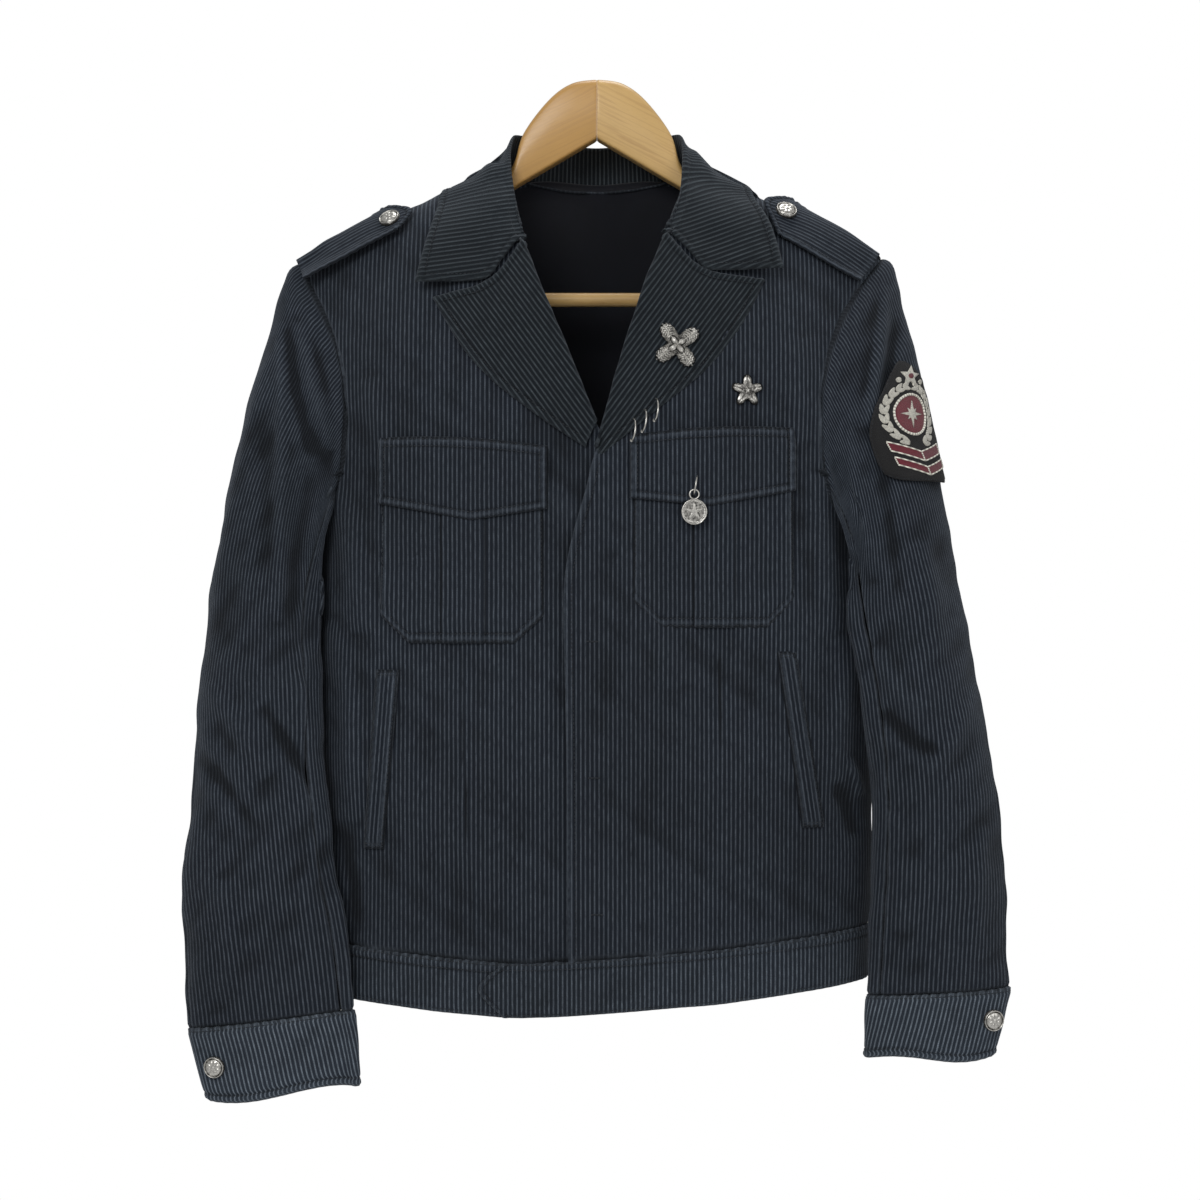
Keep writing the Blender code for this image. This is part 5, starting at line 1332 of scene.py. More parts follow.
class Recipe:
    """A material and its nodes."""

    def __init__(self, name, roughness, metallic=0.0, specular=0.5):
        self.material = bpy.data.materials.new(name)
        self.material.use_nodes = True
        self.tree = self.material.node_tree
        self.shader = self.tree.nodes["Principled BSDF"]
        self.set("Roughness", roughness)
        self.set("Metallic", metallic)
        self.set("Specular IOR Level", specular)

    def put(self, value, socket):
        """Links a value to a socket, or sets it there if it is a number or a colour."""
        if isinstance(value, bpy.types.NodeSocket):
            self.tree.links.new(value, socket)
        elif isinstance(value, tuple):
            socket.default_value = (*value, 1.0)
        else:
            socket.default_value = value

    def set(self, name, value):
        self.put(value, self.shader.inputs[name])

    def node(self, kind, inputs=None, **settings):
        made = self.tree.nodes.new(kind)
        for name, value in settings.items():
            setattr(made, name, value)
        for key, value in (inputs or {}).items():
            self.put(value, made.inputs[key])
        return made

    def maths(self, operation, a, b=0.0):
        return self.node("ShaderNodeMath", {0: a, 1: b}, operation=operation).outputs[0]

    def spread(self, value, low, high, to_low, to_high, soft=False):
        kind = "SMOOTHSTEP" if soft else "LINEAR"
        made = self.node("ShaderNodeMapRange", {"Value": value, "From Min": low, "From Max": high,
                                                "To Min": to_low, "To Max": to_high},
                         interpolation_type=kind)
        return made.outputs["Result"]

    def blend(self, share, a, b, kind="MIX"):
        made = self.node("ShaderNodeMix", {0: share, 6: a, 7: b}, data_type="RGBA", blend_type=kind)
        return made.outputs[2]

    def noise(self, scale, detail, place=None):
        """Noise in the object's own space, or over the places given."""
        place = place or self.node("ShaderNodeTexCoord").outputs["Object"]
        made = self.node("ShaderNodeTexNoise", {"Vector": place, "Scale": scale, "Detail": detail})
        return made.outputs["Fac"]

    def map(self, name):
        split = self.node("ShaderNodeSeparateXYZ",
                          {0: self.node("ShaderNodeUVMap", uv_map=name).outputs[0]})
        return split.outputs[0], split.outputs[1]

    def places(self, x, y):
        return self.node("ShaderNodeCombineXYZ", {0: x, 1: y}).outputs[0]

    def value(self, name):
        return self.node("ShaderNodeAttribute", attribute_name=name).outputs["Fac"]

    def ripple(self, value, pitch):
        """A wave from -1 to 1 that comes round once in each pitch."""
        return self.maths("SINE", self.maths("MULTIPLY", value, 2 * math.pi / pitch))

    def grey(self, shade):
        return self.node("ShaderNodeCombineColor", {0: shade, 1: shade, 2: shade}).outputs[0]

    def shaded(self, colour, shade):
        """A colour made lighter or darker by a shade about 1."""
        return self.blend(1.0, colour, self.grey(shade), "MULTIPLY")

    def emboss(self, height, distance):
        made = self.node("ShaderNodeBump", {"Height": height, "Distance": distance, "Strength": 1.0})
        self.set("Normal", made.outputs[0])


def cloth_finish(name, ground, line):
    """Corded cotton with a fine pinstripe, a little faded where it wears, lighter on raised ridges as a
    painted highlight, and darker in creases and along seams as painted shade.
    """
    r = Recipe(name, 0.86, specular=0.22)
    across, down = r.map("cloth")
    turn = r.maths("FRACT", r.maths("DIVIDE", across, PIN_PITCH))
    away = r.maths("ABSOLUTE", r.maths("SUBTRACT", turn, 0.5))
    stripe = r.spread(away, LINE_SHARE * 0.32, LINE_SHARE * 0.80, 1.0, 0.0, soft=True)
    dots = r.ripple(down, DOT_PITCH)
    ragged = r.noise(900.0, 3.0, r.places(across, r.maths("MULTIPLY", down, 0.16)))
    strength = r.maths("MULTIPLY", stripe, r.spread(ragged, 0.30, 0.68, 0.35, 1.0))
    strength = r.maths("MULTIPLY", strength, r.spread(dots, -1.0, 1.0, 0.80, 1.0))
    colour = r.blend(strength, ground, line)
    # Lighter where worn at the edges, and a painted highlight on raised ridges
    fade_and_highlight = r.maths("MULTIPLY", r.value("wear_and_highlight"), r.spread(r.noise(260.0, 3.0), 0.3, 0.7, 0.10, 0.42))
    colour = r.blend(fade_and_highlight, colour, tuple(min(1.0, 1.5 * c) for c in line))
    # Painted shade in creases, seam channels and along trim edges
    colour = r.blend(r.maths("MULTIPLY", r.value("crevice_shade"), 0.75), colour, CREVICE_SHADE)
    broad = r.spread(r.noise(7.0, 4.0), 0.30, 0.70, 0.86, 1.16)
    fuzz = r.spread(r.noise(1500.0, 2.0), 0.25, 0.75, 0.72, 1.30)
    shade = r.maths("MULTIPLY", broad, fuzz)
    r.set("Base Color", r.shaded(colour, shade))
    r.set("Sheen Weight", 0.16)
    r.set("Sheen Roughness", 0.45)
    r.set("Sheen Tint", (0.62, 0.70, 0.82))
    cord = r.spread(away, 0.0, 0.5, 1.0, 0.0, soft=True)
    twill = r.ripple(r.maths("ADD", across, down), TWILL_PITCH)
    height = r.maths("ADD", cord, r.maths("MULTIPLY", twill, 0.16))
    height = r.maths("ADD", height, r.maths("MULTIPLY", fuzz, 0.35))
    r.emboss(height, 0.00022)
    return r.material


def plain_cloth(name, colour, roughness, thread=0.0006, height=0.00008):
    """Plain woven cloth: lining, felt and thread."""
    r = Recipe(name, roughness, specular=0.3)
    space = r.node("ShaderNodeSeparateXYZ", {0: r.node("ShaderNodeTexCoord").outputs["Object"]})
    x, z = space.outputs[0], space.outputs[2]
    weave = [r.ripple(r.maths(kind, x, z), thread) for kind in ("ADD", "SUBTRACT")]
    fibre = r.noise(1800.0, 3.0)
    shade = r.maths("MULTIPLY", r.spread(r.noise(40.0, 3.0), 0.3, 0.7, 0.85, 1.15),
                    r.spread(fibre, 0.25, 0.75, 0.75, 1.25))
    r.set("Base Color", r.shaded(colour, shade))
    r.set("Sheen Weight", 0.12)
    r.emboss(r.maths("ADD", r.maths("MULTIPLY", weave[0], weave[1]), fibre), height)
    return r.material


def satin_thread(name, colour, roughness):
    """Embroidery: lines of shiny thread laid side by side."""
    r = Recipe(name, roughness, specular=0.55)
    line = r.ripple(r.map("thread")[0], SATIN_PITCH)
    loose = r.noise(700.0, 2.0)
    shade = r.maths("MULTIPLY", r.spread(line, -1.0, 1.0, 0.45, 1.12),
                    r.spread(loose, 0.3, 0.7, 0.82, 1.15))
    r.set("Base Color", r.shaded(colour, shade))
    r.set("Sheen Weight", 0.2)
    r.emboss(r.maths("ADD", line, r.maths("MULTIPLY", loose, 0.5)), 0.00018)
    return r.material


def wood_finish(name, light, dark):
    """Varnished pale wood with its grain along each arm."""
    r = Recipe(name, 0.36, specular=0.5)
    along_grain, across_grain = r.map("grain")
    figure = r.noise(1.0, 4.0, r.places(r.maths("MULTIPLY", along_grain, 9.0),
                                        r.maths("MULTIPLY", across_grain, 170.0)))
    bent = r.maths("ADD", across_grain, r.maths("MULTIPLY", figure, 0.020))
    rings = r.ripple(bent, RING_PITCH)
    pores = r.noise(1.0, 2.0, r.places(r.maths("MULTIPLY", along_grain, 120.0),
                                       r.maths("MULTIPLY", across_grain, 2600.0)))
    share = r.maths("MULTIPLY", r.spread(rings, -0.2, 1.0, 0.0, 0.42, soft=True),
                    r.spread(figure, 0.35, 0.70, 0.35, 1.0))
    share = r.maths("ADD", share, r.spread(pores, 0.56, 0.72, 0.0, 0.30))
    colour = r.blend(share, light, dark)
    broad = r.spread(r.noise(14.0, 3.0), 0.3, 0.7, 0.93, 1.06)
    r.set("Base Color", r.shaded(colour, broad))
    r.set("Roughness", r.spread(pores, 0.3, 0.7, 0.30, 0.46))
    r.set("Coat Weight", 0.25)
    r.set("Coat Roughness", 0.22)
    r.emboss(pores, 0.00005)
    return r.material


def silver_finish(name):
    """Antique silver: bright on what stands up, blackened in the low places."""
    r = Recipe(name, 0.3, metallic=1.0)
    height = r.value("relief")
    mottle = r.noise(520.0, 4.0)
    share = r.spread(r.maths("ADD", height, r.spread(mottle, 0.3, 0.7, -0.14, 0.14)), 0.28, 0.72,
                     0.0, 1.0, soft=True)
    r.set("Base Color", r.blend(share, DARK_SILVER, BRIGHT_SILVER))
    r.set("Roughness", r.spread(mottle, 0.3, 0.7, 0.24, 0.44))
    r.emboss(mottle, 0.00006)
    return r.material


def floor_finish():
    r = Recipe("pale_floor", 0.9)
    broad = r.spread(r.noise(3.0, 3.0), 0.3, 0.7, 0.84, 0.88)
    r.set("Base Color", r.grey(broad))
    return r.material


FINISHES = {
    "body": cloth_finish("pinstripe_cloth", NAVY, PIN_LINE),
    "collar": cloth_finish("collar_cloth", COLLAR_NAVY, COLLAR_LINE),
    # Lighter copy of the body cloth on the cuffs: painted light
    "cuff": cloth_finish("cuff_cloth", LIT_CUFF_NAVY, LIT_CUFF_LINE),
    # Lighter copy of the body cloth on the waistband: painted light
    "band": cloth_finish("band_cloth", LIT_BAND_NAVY, LIT_BAND_LINE),
    "lining": plain_cloth("lining_cloth", LINING_NAVY, 0.55),
    "felt": plain_cloth("black_felt", FELT_BLACK, 0.95, height=0.00025),
    "thread": plain_cloth("navy_thread", STITCH_NAVY, 0.7, 0.0004),
    "silver_thread": satin_thread("silver_thread", SILVER_THREAD, 0.42),
    "red_thread": satin_thread("red_thread", RED_THREAD, 0.55),
    "wood_left": wood_finish("pale_wood", LIGHT_WOOD, WOOD_LINE),
    "wood_right": wood_finish("warm_wood", WARM_WOOD, WOOD_LINE),
    "silver": silver_finish("antique_silver"),
}


# Cut size of a cloth piece, a record that no piece is given: width and length of the cloth, and its area
# where not a rectangle; then bars of thread on the left front
Cloth = namedtuple("Cloth", "width length area")
FLY_BARS = [(-0.0035, -0.4255), (-0.0021, -0.5255), (0.0001, -0.6258)]
STAY_LIFT = 0.0003
STAY_RADIUS = 0.00055
STAY_LENGTH = 0.0085

# Long creases, as lines of X and Z seen from the front, with their width and height
Crease = namedtuple("Crease", "line width height")
DART = Crease([(-0.0986, -0.4354), (-0.0979, -0.5079), (-0.0950, -0.5664), (-0.0921, -0.6476)],
              0.0011, -0.0011)
FRONT_CREASES = {
    -1: [
        DART,
        Crease(DART.line, 0.0060, 0.0007),
        Crease([(-0.205, -0.300), (-0.182, -0.345), (-0.172, -0.420)], 0.0100, 0.0026),
        Crease([(-0.198, -0.410), (-0.183, -0.470), (-0.180, -0.560)], 0.0085, 0.0022),
        Crease([(-0.192, -0.560), (-0.182, -0.610), (-0.178, -0.655)], 0.0080, -0.0018),
        Crease([(-0.060, -0.300), (-0.010, -0.340), (0.010, -0.370)], 0.0120, 0.0016),
        Crease([(-0.170, -0.230), (-0.160, -0.265), (-0.158, -0.300)], 0.0090, 0.0018),
    ],
    1: [
        Crease([(0.0901, -0.4350), (0.0901, -0.5120)], 0.0011, -0.0010),
        Crease([(0.1856, -0.5125), (0.1925, -0.5260), (0.1987, -0.5418)], 0.0032, 0.0026),
        Crease([(0.1760, -0.5280), (0.1860, -0.5480), (0.1930, -0.5720)], 0.0055, -0.0022),
        Crease([(0.1650, -0.3000), (0.1680, -0.3500), (0.1760, -0.4200)], 0.0100, 0.0026),
        Crease([(0.1950, -0.4200), (0.1800, -0.4800), (0.1760, -0.5400)], 0.0090, 0.0020),
        Crease([(0.1500, -0.2000), (0.1480, -0.2400), (0.1520, -0.2800)], 0.0100, 0.0018),
        Crease([(0.0200, -0.3600), (0.0500, -0.4200), (0.0600, -0.4600)], 0.0120, 0.0014),
    ],
}
BACK_FOLDS = [(-0.150, 0.020), (0.148, -0.018), (-0.095, 0.006), (0.102, -0.008)]
BACK_FOLD_WIDTH = 0.012
BACK_FOLD_RISE = 0.0030
SLEEVE_CREASES = {
    -1: [
        Crease([(-0.2225, -0.1860), (-0.2120, -0.2350), (-0.1974, -0.2854)], 0.0055, 0.0030),
        Crease([(-0.2330, -0.1900), (-0.2240, -0.2400), (-0.2110, -0.2900)], 0.0050, -0.0024),
        Crease([(-0.2372, -0.1859), (-0.2343, -0.2390), (-0.2328, -0.2854), (-0.2332, -0.3701),
                (-0.2340, -0.4122)], 0.0048, 0.0032),
        Crease([(-0.2480, -0.2500), (-0.2440, -0.3300), (-0.2470, -0.4000)], 0.0075, -0.0020),
        Crease([(-0.2110, -0.3000), (-0.2200, -0.3600), (-0.2240, -0.4200)], 0.0065, -0.0024),
        Crease([(-0.2250, -0.4480), (-0.2188, -0.4615), (-0.1967, -0.5131)], 0.0070, 0.0030),
        Crease([(-0.2450, -0.4700), (-0.2280, -0.5000), (-0.2050, -0.5400)], 0.0065, -0.0028),
        Crease([(-0.2850, -0.4550), (-0.2650, -0.4850), (-0.2400, -0.5250)], 0.0085, 0.0022),
        Crease([(-0.2960, -0.5100), (-0.2750, -0.5300), (-0.2500, -0.5650)], 0.0070, -0.0018),
        Crease([(-0.2000, -0.5600), (-0.2130, -0.6050), (-0.2060, -0.6700)], 0.0080, 0.0020),
        Crease([(-0.2780, -0.6000), (-0.2700, -0.6500), (-0.2770, -0.6950)], 0.0080, 0.0018),
    ],
    1: [
        Crease([(0.2175, -0.1586), (0.2131, -0.1903), (0.2072, -0.2279), (0.1983, -0.2684)],
               0.0048, 0.0032),
        Crease([(0.2260, -0.1800), (0.2200, -0.2150), (0.2120, -0.2600)], 0.0050, -0.0022),
        Crease([(0.1850, -0.2700), (0.1920, -0.3200), (0.2060, -0.3800)], 0.0065, 0.0030),
        Crease([(0.2080, -0.2900), (0.2160, -0.3400), (0.2230, -0.4000)], 0.0065, -0.0024),
        Crease([(0.2400, -0.3500), (0.2450, -0.4000), (0.2480, -0.4400)], 0.0085, 0.0020),
        Crease([(0.2020, -0.4300), (0.2230, -0.4650), (0.2400, -0.4850)], 0.0070, 0.0028),
        Crease([(0.2080, -0.4750), (0.2300, -0.4980), (0.2560, -0.5100)], 0.0060, -0.0026),
        Crease([(0.2750, -0.4700), (0.2600, -0.5000), (0.2380, -0.5250)], 0.0080, 0.0020),
        Crease([(0.2180, -0.5500), (0.2260, -0.6000), (0.2220, -0.6400)], 0.0080, 0.0020),
        Crease([(0.2850, -0.5600), (0.2790, -0.6100), (0.2800, -0.6600)], 0.0080, 0.0018),
    ],
}

# Rows of stitches: the edge each follows, its distance in from it, and where it starts and ends
TOPSTITCH = 0.0062
NARROW_STITCH = TOPSTITCH * 0.8
DOUBLE_STITCH = 0.0020
SECOND_STITCH = DOUBLE_STITCH + 0.0055
CLOSING_ROWS = [("left", TOPSTITCH, 0.42, 1.0)]
CUFF_ROWS = [("low", TOPSTITCH, 0.0, 1.0), ("top", DOUBLE_STITCH, 0.0, 1.0)]
COLLAR_ROWS = [("right", TOPSTITCH, 0.02, 0.98), ("top", TOPSTITCH, 0.45, 0.93),
               ("low", TOPSTITCH, 0.45, 0.93)]
LAPEL_ROWS = [("right", TOPSTITCH, 0.04, 0.97), ("top", TOPSTITCH, 0.45, 0.93)]
STRAP_ROWS = [("left", NARROW_STITCH, 0.05, 0.93), ("right", NARROW_STITCH, 0.05, 0.93),
              ("low", NARROW_STITCH, 0.12, 0.88)]
POCKET_ROWS = [("left", DOUBLE_STITCH, 0.0, 0.86), ("right", DOUBLE_STITCH, 0.0, 0.86),
               ("low", DOUBLE_STITCH, 0.0, 1.0), ("low", SECOND_STITCH, 0.06, 0.94)]
FLAP_ROWS = [("top", DOUBLE_STITCH, 0.02, 0.98), ("top", SECOND_STITCH, 0.02, 0.98),
             ("left", TOPSTITCH, 0.0, 0.86), ("right", TOPSTITCH, 0.0, 0.86),
             ("low", TOPSTITCH, 0.05, 0.95)]
WELT_ROWS = [(side, DOUBLE_STITCH * times, 0.0, 1.0) for side, times in
             (("left", 1), ("right", 1), ("top", 1), ("top", 2), ("low", 1), ("low", 2))]
BAND_ROWS = [("top", DOUBLE_STITCH, 0.0, 1.0), ("top", SECOND_STITCH, 0.0, 1.0),
             ("low", DOUBLE_STITCH * 1.5, 0.0, 1.0), ("left", NARROW_STITCH, 0.1, 0.9)]
PATCH_ROWS = [(side, 0.0014, 0.02, 0.98) for side in ("left", "right", "top", "low")]

# Cloth turned in behind the edges: its reach, and its lean where it isn't straight
FRONT_HEMS = [("right", 0.0085), ("top", 0.0010), ("low", 0.0065)]
BACK_HEMS = [("left", 0.0012), ("right", 0.0012), ("top", 0.0040), ("low", 0.0065)]
SLEEVE_TOP_HEM = 0.0065
SLEEVE_HEMS = [("left", 0.0005), ("right", 0.0005), ("low", 0.0010)]
CUFF_HEMS = [("top", 0.0010)]
BAND_HEMS = [("top", 0.0008), ("low", 0.0004)]
LINING_HEMS = [("top", 0.0080, (0.0, 0.9, 0.0))]
LAPEL_TUCK = 0.0045

# Steps down and across each piece: in its coarse shape, then points in its fine one
Steps = namedtuple("Steps", "coarse fine")
STEPS = {
    "front": Steps((18, 10, 18), (164, 104)),
    "back": Steps((18, 10), (124, 140)),
    "top": Steps((14, 16, 26), (160, 96)),
    "under": Steps((14, 16, 20), (160, 64)),
    "cuff": Steps((2, 20), (28, 210)),
    "collar": Steps((11,), (196, 74)),
    "lapel": Steps((8, 5), (106, 66)),
    "strap": Steps((6, 4), (84, 44)),
    "pocket": Steps((72, 104), None),
    "flap": Steps((38, 104), None),
    "welt": Steps((4,), (90, 16)),
    "band": Steps((2, 12, 14), (22, 400)),
    "lining": Steps((7, 6), (52, 84)),
    "patch": Steps((6, 6), (64, 60)),
}
BODY_STEPS = {"front": (9, 5, 9), "back": (9, 5)}
HANDS = ((-1, "right"), (1, "left"))

# Soft waves of each piece: their height, length and seed
WAVES = {
    "front": [(0.0013, 0.11, 11), (SMALL_WAVES, 0.030, 15)],
    "back": [(0.0016, 0.13, 31), (SMALL_WAVES, 0.035, 32)],
    "sleeve": [(0.0020, 0.085, 51), (0.0007, 0.030, 55)],
    "cuff": [(0.0007, 0.050, 71), (0.0003, 0.018, 75)],
    "collar": [(0.0005, 0.060, 81), (0.0002, 0.020, 82)],
    "lapel": [(0.0005, 0.060, 91), (0.0002, 0.018, 95)],
    "strap": [(0.0003, 0.030, 101)],
    "pocket": [(0.0004, 0.040, 111)],
    "flap": [(0.0004, 0.035, 121)],
    "band": [(0.0006, 0.060, 131), (0.0003, 0.022, 132)],
    "lining": [(0.0009, 0.070, 141)],
    "patch": [(0.0002, 0.020, 151)],
}

# Lines that stand up along a piece: height, distance from where it is measured, and width
Line = namedtuple("Line", "height place width")
COVER_FROM = -0.275
COVER_FADE = 0.02
COVER_EDGE = Line(0.0022, 0.0, 0.016)
COVER_BEAD = Line(0.0009, 0.0022, 0.0020)
BACK_GROOVE = Line(0.0011, 0.0, 0.0012)
BACK_BEADS = Line(0.0005, 0.0045, 0.0030)
SLEEVE_CROWN = Line(0.0010, 0.010, 0.007)
POCKET_BULGE = Line(0.0011, 0.016, 0.012)
LINING_GROOVE = Line(0.0008, -0.0035, 0.0010)
LINING_PLEAT = Line(0.0006, 0.006, 0.0060)

# How strongly the creases are pressed, and the collar's even part
FRONT_PRESS = 1.6
SLEEVE_PRESS = 1.5
SLEEVE_FRONT = 1.4
SLEEVE_LEAN = (-1.6, 0.4)
UNDER_LIMIT = 0.0006
EVEN_ALONG = (0.74, 0.14)
EVEN_DOWN = (0.42, 0.20)

# Stripes, and where they are measured on the sleeves and the collar
STRIPE_LEVEL = -0.450
STRIPE_COLUMN = 70
COLLAR_COLUMN = 40
COLLAR_TILTS = {-1: 8.0, 1: 20.0}
COLLAR_TURN_FROM = 0.11
COLLAR_TURN_OVER = 0.05
COLLAR_MATCH = 0.135
LAPEL_TILT = 54.0
COLLAR_EVENINGS = 120
# Strength of the painted shade line along the edges of trim pieces and straps, which also moves their
# lighter edge band inward
TRIM_SHADE_OUTLINE = 1.0
STRAP_SHADE_OUTLINE = 0.5


def side_run(points):
    """Metres across the stripes of the body: X, and more where the cloth turns to the side."""
    width = read_table(TRUNK, "half_width", STRIPE_LEVEL)
    turns = np.linspace(0.0, math.pi / 2, 160)
    x = width * np.sin(turns)
    y = np.array([trunk_y(value, STRIPE_LEVEL, -1) for value in x])
    gone = np.concatenate([[0.0], np.cumsum(np.hypot(np.diff(x), np.diff(y)))])
    levels = sorted(TRUNK, key=lambda row: row.z)
    wide = np.interp(points[..., 2], [row.z for row in levels], [row.half_width for row in levels])
    share = np.clip(np.abs(points[..., 0]) / wide, 0.0, 1.0)
    extra = np.interp(share * width, x, gone) - share * width
    return points[..., 0] + np.sign(points[..., 0]) * extra


def wavy(points, piece, side=0):
    """The soft waves of a piece, the longest ones other on each side."""
    return sum(height * waves(points, size, seed + (side if k == 0 else 0))
               for k, (height, size, seed) in enumerate(WAVES[piece]))


def raised(distance, line):
    return line.height * bump(distance - line.place, line.width)


def pressed(points, creases):
    total = np.zeros(points.shape[:2])
    for line, width, height in creases:
        total += crease(points, line, width, height)
    return total


def sew(obj, points, out, rows):
    """Rows of stitches on a sheet: each row is the edge it follows, its place and its span."""
    store = []
    for side, place, start, end in rows:
        line, ways = edge_line(points, out, side, place)
        add_stitches(store, line, ways, start, end)
    name = "stitches_" + obj.name.removesuffix("_cloth")
    return stitch_object(name, store, FINISHES["thread"])


def channels(edges, rows):
    return sum(stitched(edges, side, place) for side, place, *_ in rows)


def sheet_with_rows(node, points, rise, rows, rests_on, finish="body", **more):
    """A cloth piece with its rows of stitches pressed in and sewn."""
    edges = edges_of(points)
    if rows:
        rise = rise + channels(edges, rows)
    obj, points, out = make_sheet(node, points, rise, FINISHES[finish], **more)
    sewn = [sew(obj, points, out, rows)] if rows else []
    return points, out


def thread_bar(cloth, x, z):
    """A level bar of close stitches sewn through a sheet."""
    points, out = cloth
    line = []
    for share in np.linspace(-0.5, 0.5, 9):
        place = x + share * STAY_LENGTH
        away = (points[..., 0] - place) ** 2 + (points[..., 2] - z) ** 2
        near = np.unravel_index(np.argmin(away + 9.0 * (out[..., 1] > 0.0)), away.shape)
        line.append((place, points[near][1] - STAY_LIFT, z))
    return tube(line, STAY_RADIUS, 8)


def make_fronts():
    fronts = {}
    steps = STEPS["front"]
    for side, hand in HANDS:
        points = fine(front_grid(side, *steps.coarse), *steps.fine)
        edges = edges_of(points)
        rise = wavy(points, "front", side) * np.clip(edges["left"] / 0.03, 0.2, 1.0)
        rise += FRONT_PRESS * pressed(points, FRONT_CREASES[side])
        rise += rolled(edges, "right", "top", "low")
        if side > 0:
            shown = np.clip((COVER_FROM - points[..., 2]) / COVER_FADE, 0.0, 1.0)
            rise += shown * (raised(edges["left"], COVER_EDGE) + raised(edges["left"], COVER_BEAD))
        rows = CLOSING_ROWS if side > 0 else []
        fronts[hand] = sheet_with_rows("front_" + hand, points, rise, rows, "hanger",
                                       stripe=side_run(points), flip=side > 0, hems=FRONT_HEMS)
    bars = [thread_bar(fronts["left"], x, z) for x, z in FLY_BARS]
    joined("fly_bars_thread", bars, FINISHES["thread"], "root")


def make_back():
    steps = STEPS["back"]
    points = fine(back_grid(*steps.coarse), *steps.fine)
    edges = edges_of(points)
    x = points[..., 0]
    rise = wavy(points, "back")
    rise -= raised(x, BACK_GROOVE) - raised(np.abs(x), BACK_BEADS)
    for place, shift in BACK_FOLDS:
        line = [(place, -0.260), (place + shift * 0.5, -0.340), (place + shift, -0.450)]
        rise += crease(points, line, BACK_FOLD_WIDTH, BACK_FOLD_RISE)
    rise += rolled(edges, "left", "right", "top", "low")
    sheet_with_rows("back", points, rise, [], "hanger", stripe=side_run(points), hems=BACK_HEMS)


def make_sleeves():
    panels = [(front_grid(side, *BODY_STEPS["front"]), side > 0) for side, _ in HANDS]
    panels.append((back_grid(*BODY_STEPS["back"]), False))
    body = surface_tree(panels)
    tops = []
    for side, hand in HANDS:
        for piece in ("top", "under"):
            steps = STEPS[piece]
            grid = sleeve_grid(side, piece, *steps.coarse, body)
            if piece == "top":
                tops.append((grid, side < 0))
            points = fine(grid, *steps.fine)
            edges = edges_of(points)
            front = np.clip(-facing(points, side < 0)[..., 1] * SLEEVE_FRONT, 0.0, 1.0)
            rise = wavy(points, "sleeve", side)
            rise *= np.clip(edges["top"] / 0.03, 0.1, 1.0) * np.clip(edges["low"] / 0.02, 0.2, 1.0)
            if piece == "top":
                rise += SLEEVE_PRESS * pressed(points, SLEEVE_CREASES[side]) * front
                rise += raised(edges["top"], SLEEVE_CROWN)
            rise += rolled(edges, "left", "right", "top", "low")
            if piece == "under":
                rise = np.minimum(rise, UNDER_LIMIT)
            stripe = run(points, 1)
            if piece == "top":
                stripe = stripe - stripe[:, STRIPE_COLUMN:STRIPE_COLUMN + 1]
            lean = (SLEEVE_LEAN[0] * side, SLEEVE_LEAN[1], 0.0)
            hems = [("top", SLEEVE_TOP_HEM, lean), *SLEEVE_HEMS]
            sheet_with_rows(f"{piece}_sleeve_{hand}", points, rise, [], "hanger", stripe=stripe,
                            flip=side < 0, hems=hems)
        steps = STEPS["cuff"]
        points = fine(cuff_grid(side, *steps.coarse), *steps.fine, closed=True)
        rise = wavy(points, "cuff", side) + rolled(edges_of(points), "top", "low")
        sheet_with_rows("cuff_" + hand, points, rise, CUFF_ROWS, "top_sleeve_" + hand,
                        finish="cuff", closed=True, flip=side < 0, hems=CUFF_HEMS)
    return surface_tree(panels + tops), tops


def evened(points):
    """The collar's leaf without the small steps where it passes over the shoulder."""
    even = points.copy()
    for _ in range(COLLAR_EVENINGS):
        even[1:-1] = (even[:-2] + 2.0 * even[1:-1] + even[2:]) / 4.0
    rows, columns = points.shape[:2]
    along_collar = np.abs(np.linspace(-1.0, 1.0, rows))[:, None]
    down_leaf = np.linspace(0.0, 1.0, columns)[None]
    share = np.clip((EVEN_ALONG[0] - along_collar) / EVEN_ALONG[1], 0.0, 1.0)
    share = share * np.clip((down_leaf - EVEN_DOWN[0]) / EVEN_DOWN[1], 0.0, 1.0)
    return points + (even - points) * share[..., None]


def make_collar(tree):
    steps = STEPS["collar"]
    points = evened(fine(collar_grid(*steps.coarse, tree), *steps.fine))
    station = run(points, 0)[:, COLLAR_COLUMN:COLLAR_COLUMN + 1]
    station = station - station[len(station) // 2]
    stripe = np.zeros(points.shape[:2])
    for hand, tilt in COLLAR_TILTS.items():
        turn = math.radians(tilt)
        drop = hand * (points[..., 0] * math.sin(turn) - points[..., 2] * math.cos(turn))
        here = station * hand > 0.0
        front = np.clip((np.abs(station) - COLLAR_TURN_FROM) / COLLAR_TURN_OVER, 0.0, 1.0)
        front = front * front * (3.0 - 2.0 * front)
        change = np.argmin(np.abs(station[:, 0] - hand * COLLAR_MATCH))
        match = station[change] - drop[change, COLLAR_COLUMN]
        stripe += here * ((1.0 - front) * station + front * (drop + match))
    rise = wavy(points, "collar") + rolled(edges_of(points), "right", "top", "low", "left")
    sheet_with_rows("collar", points, rise, COLLAR_ROWS, "hanger", finish="collar", stripe=stripe,
                    flip=True, wall=COLLAR_WALL)


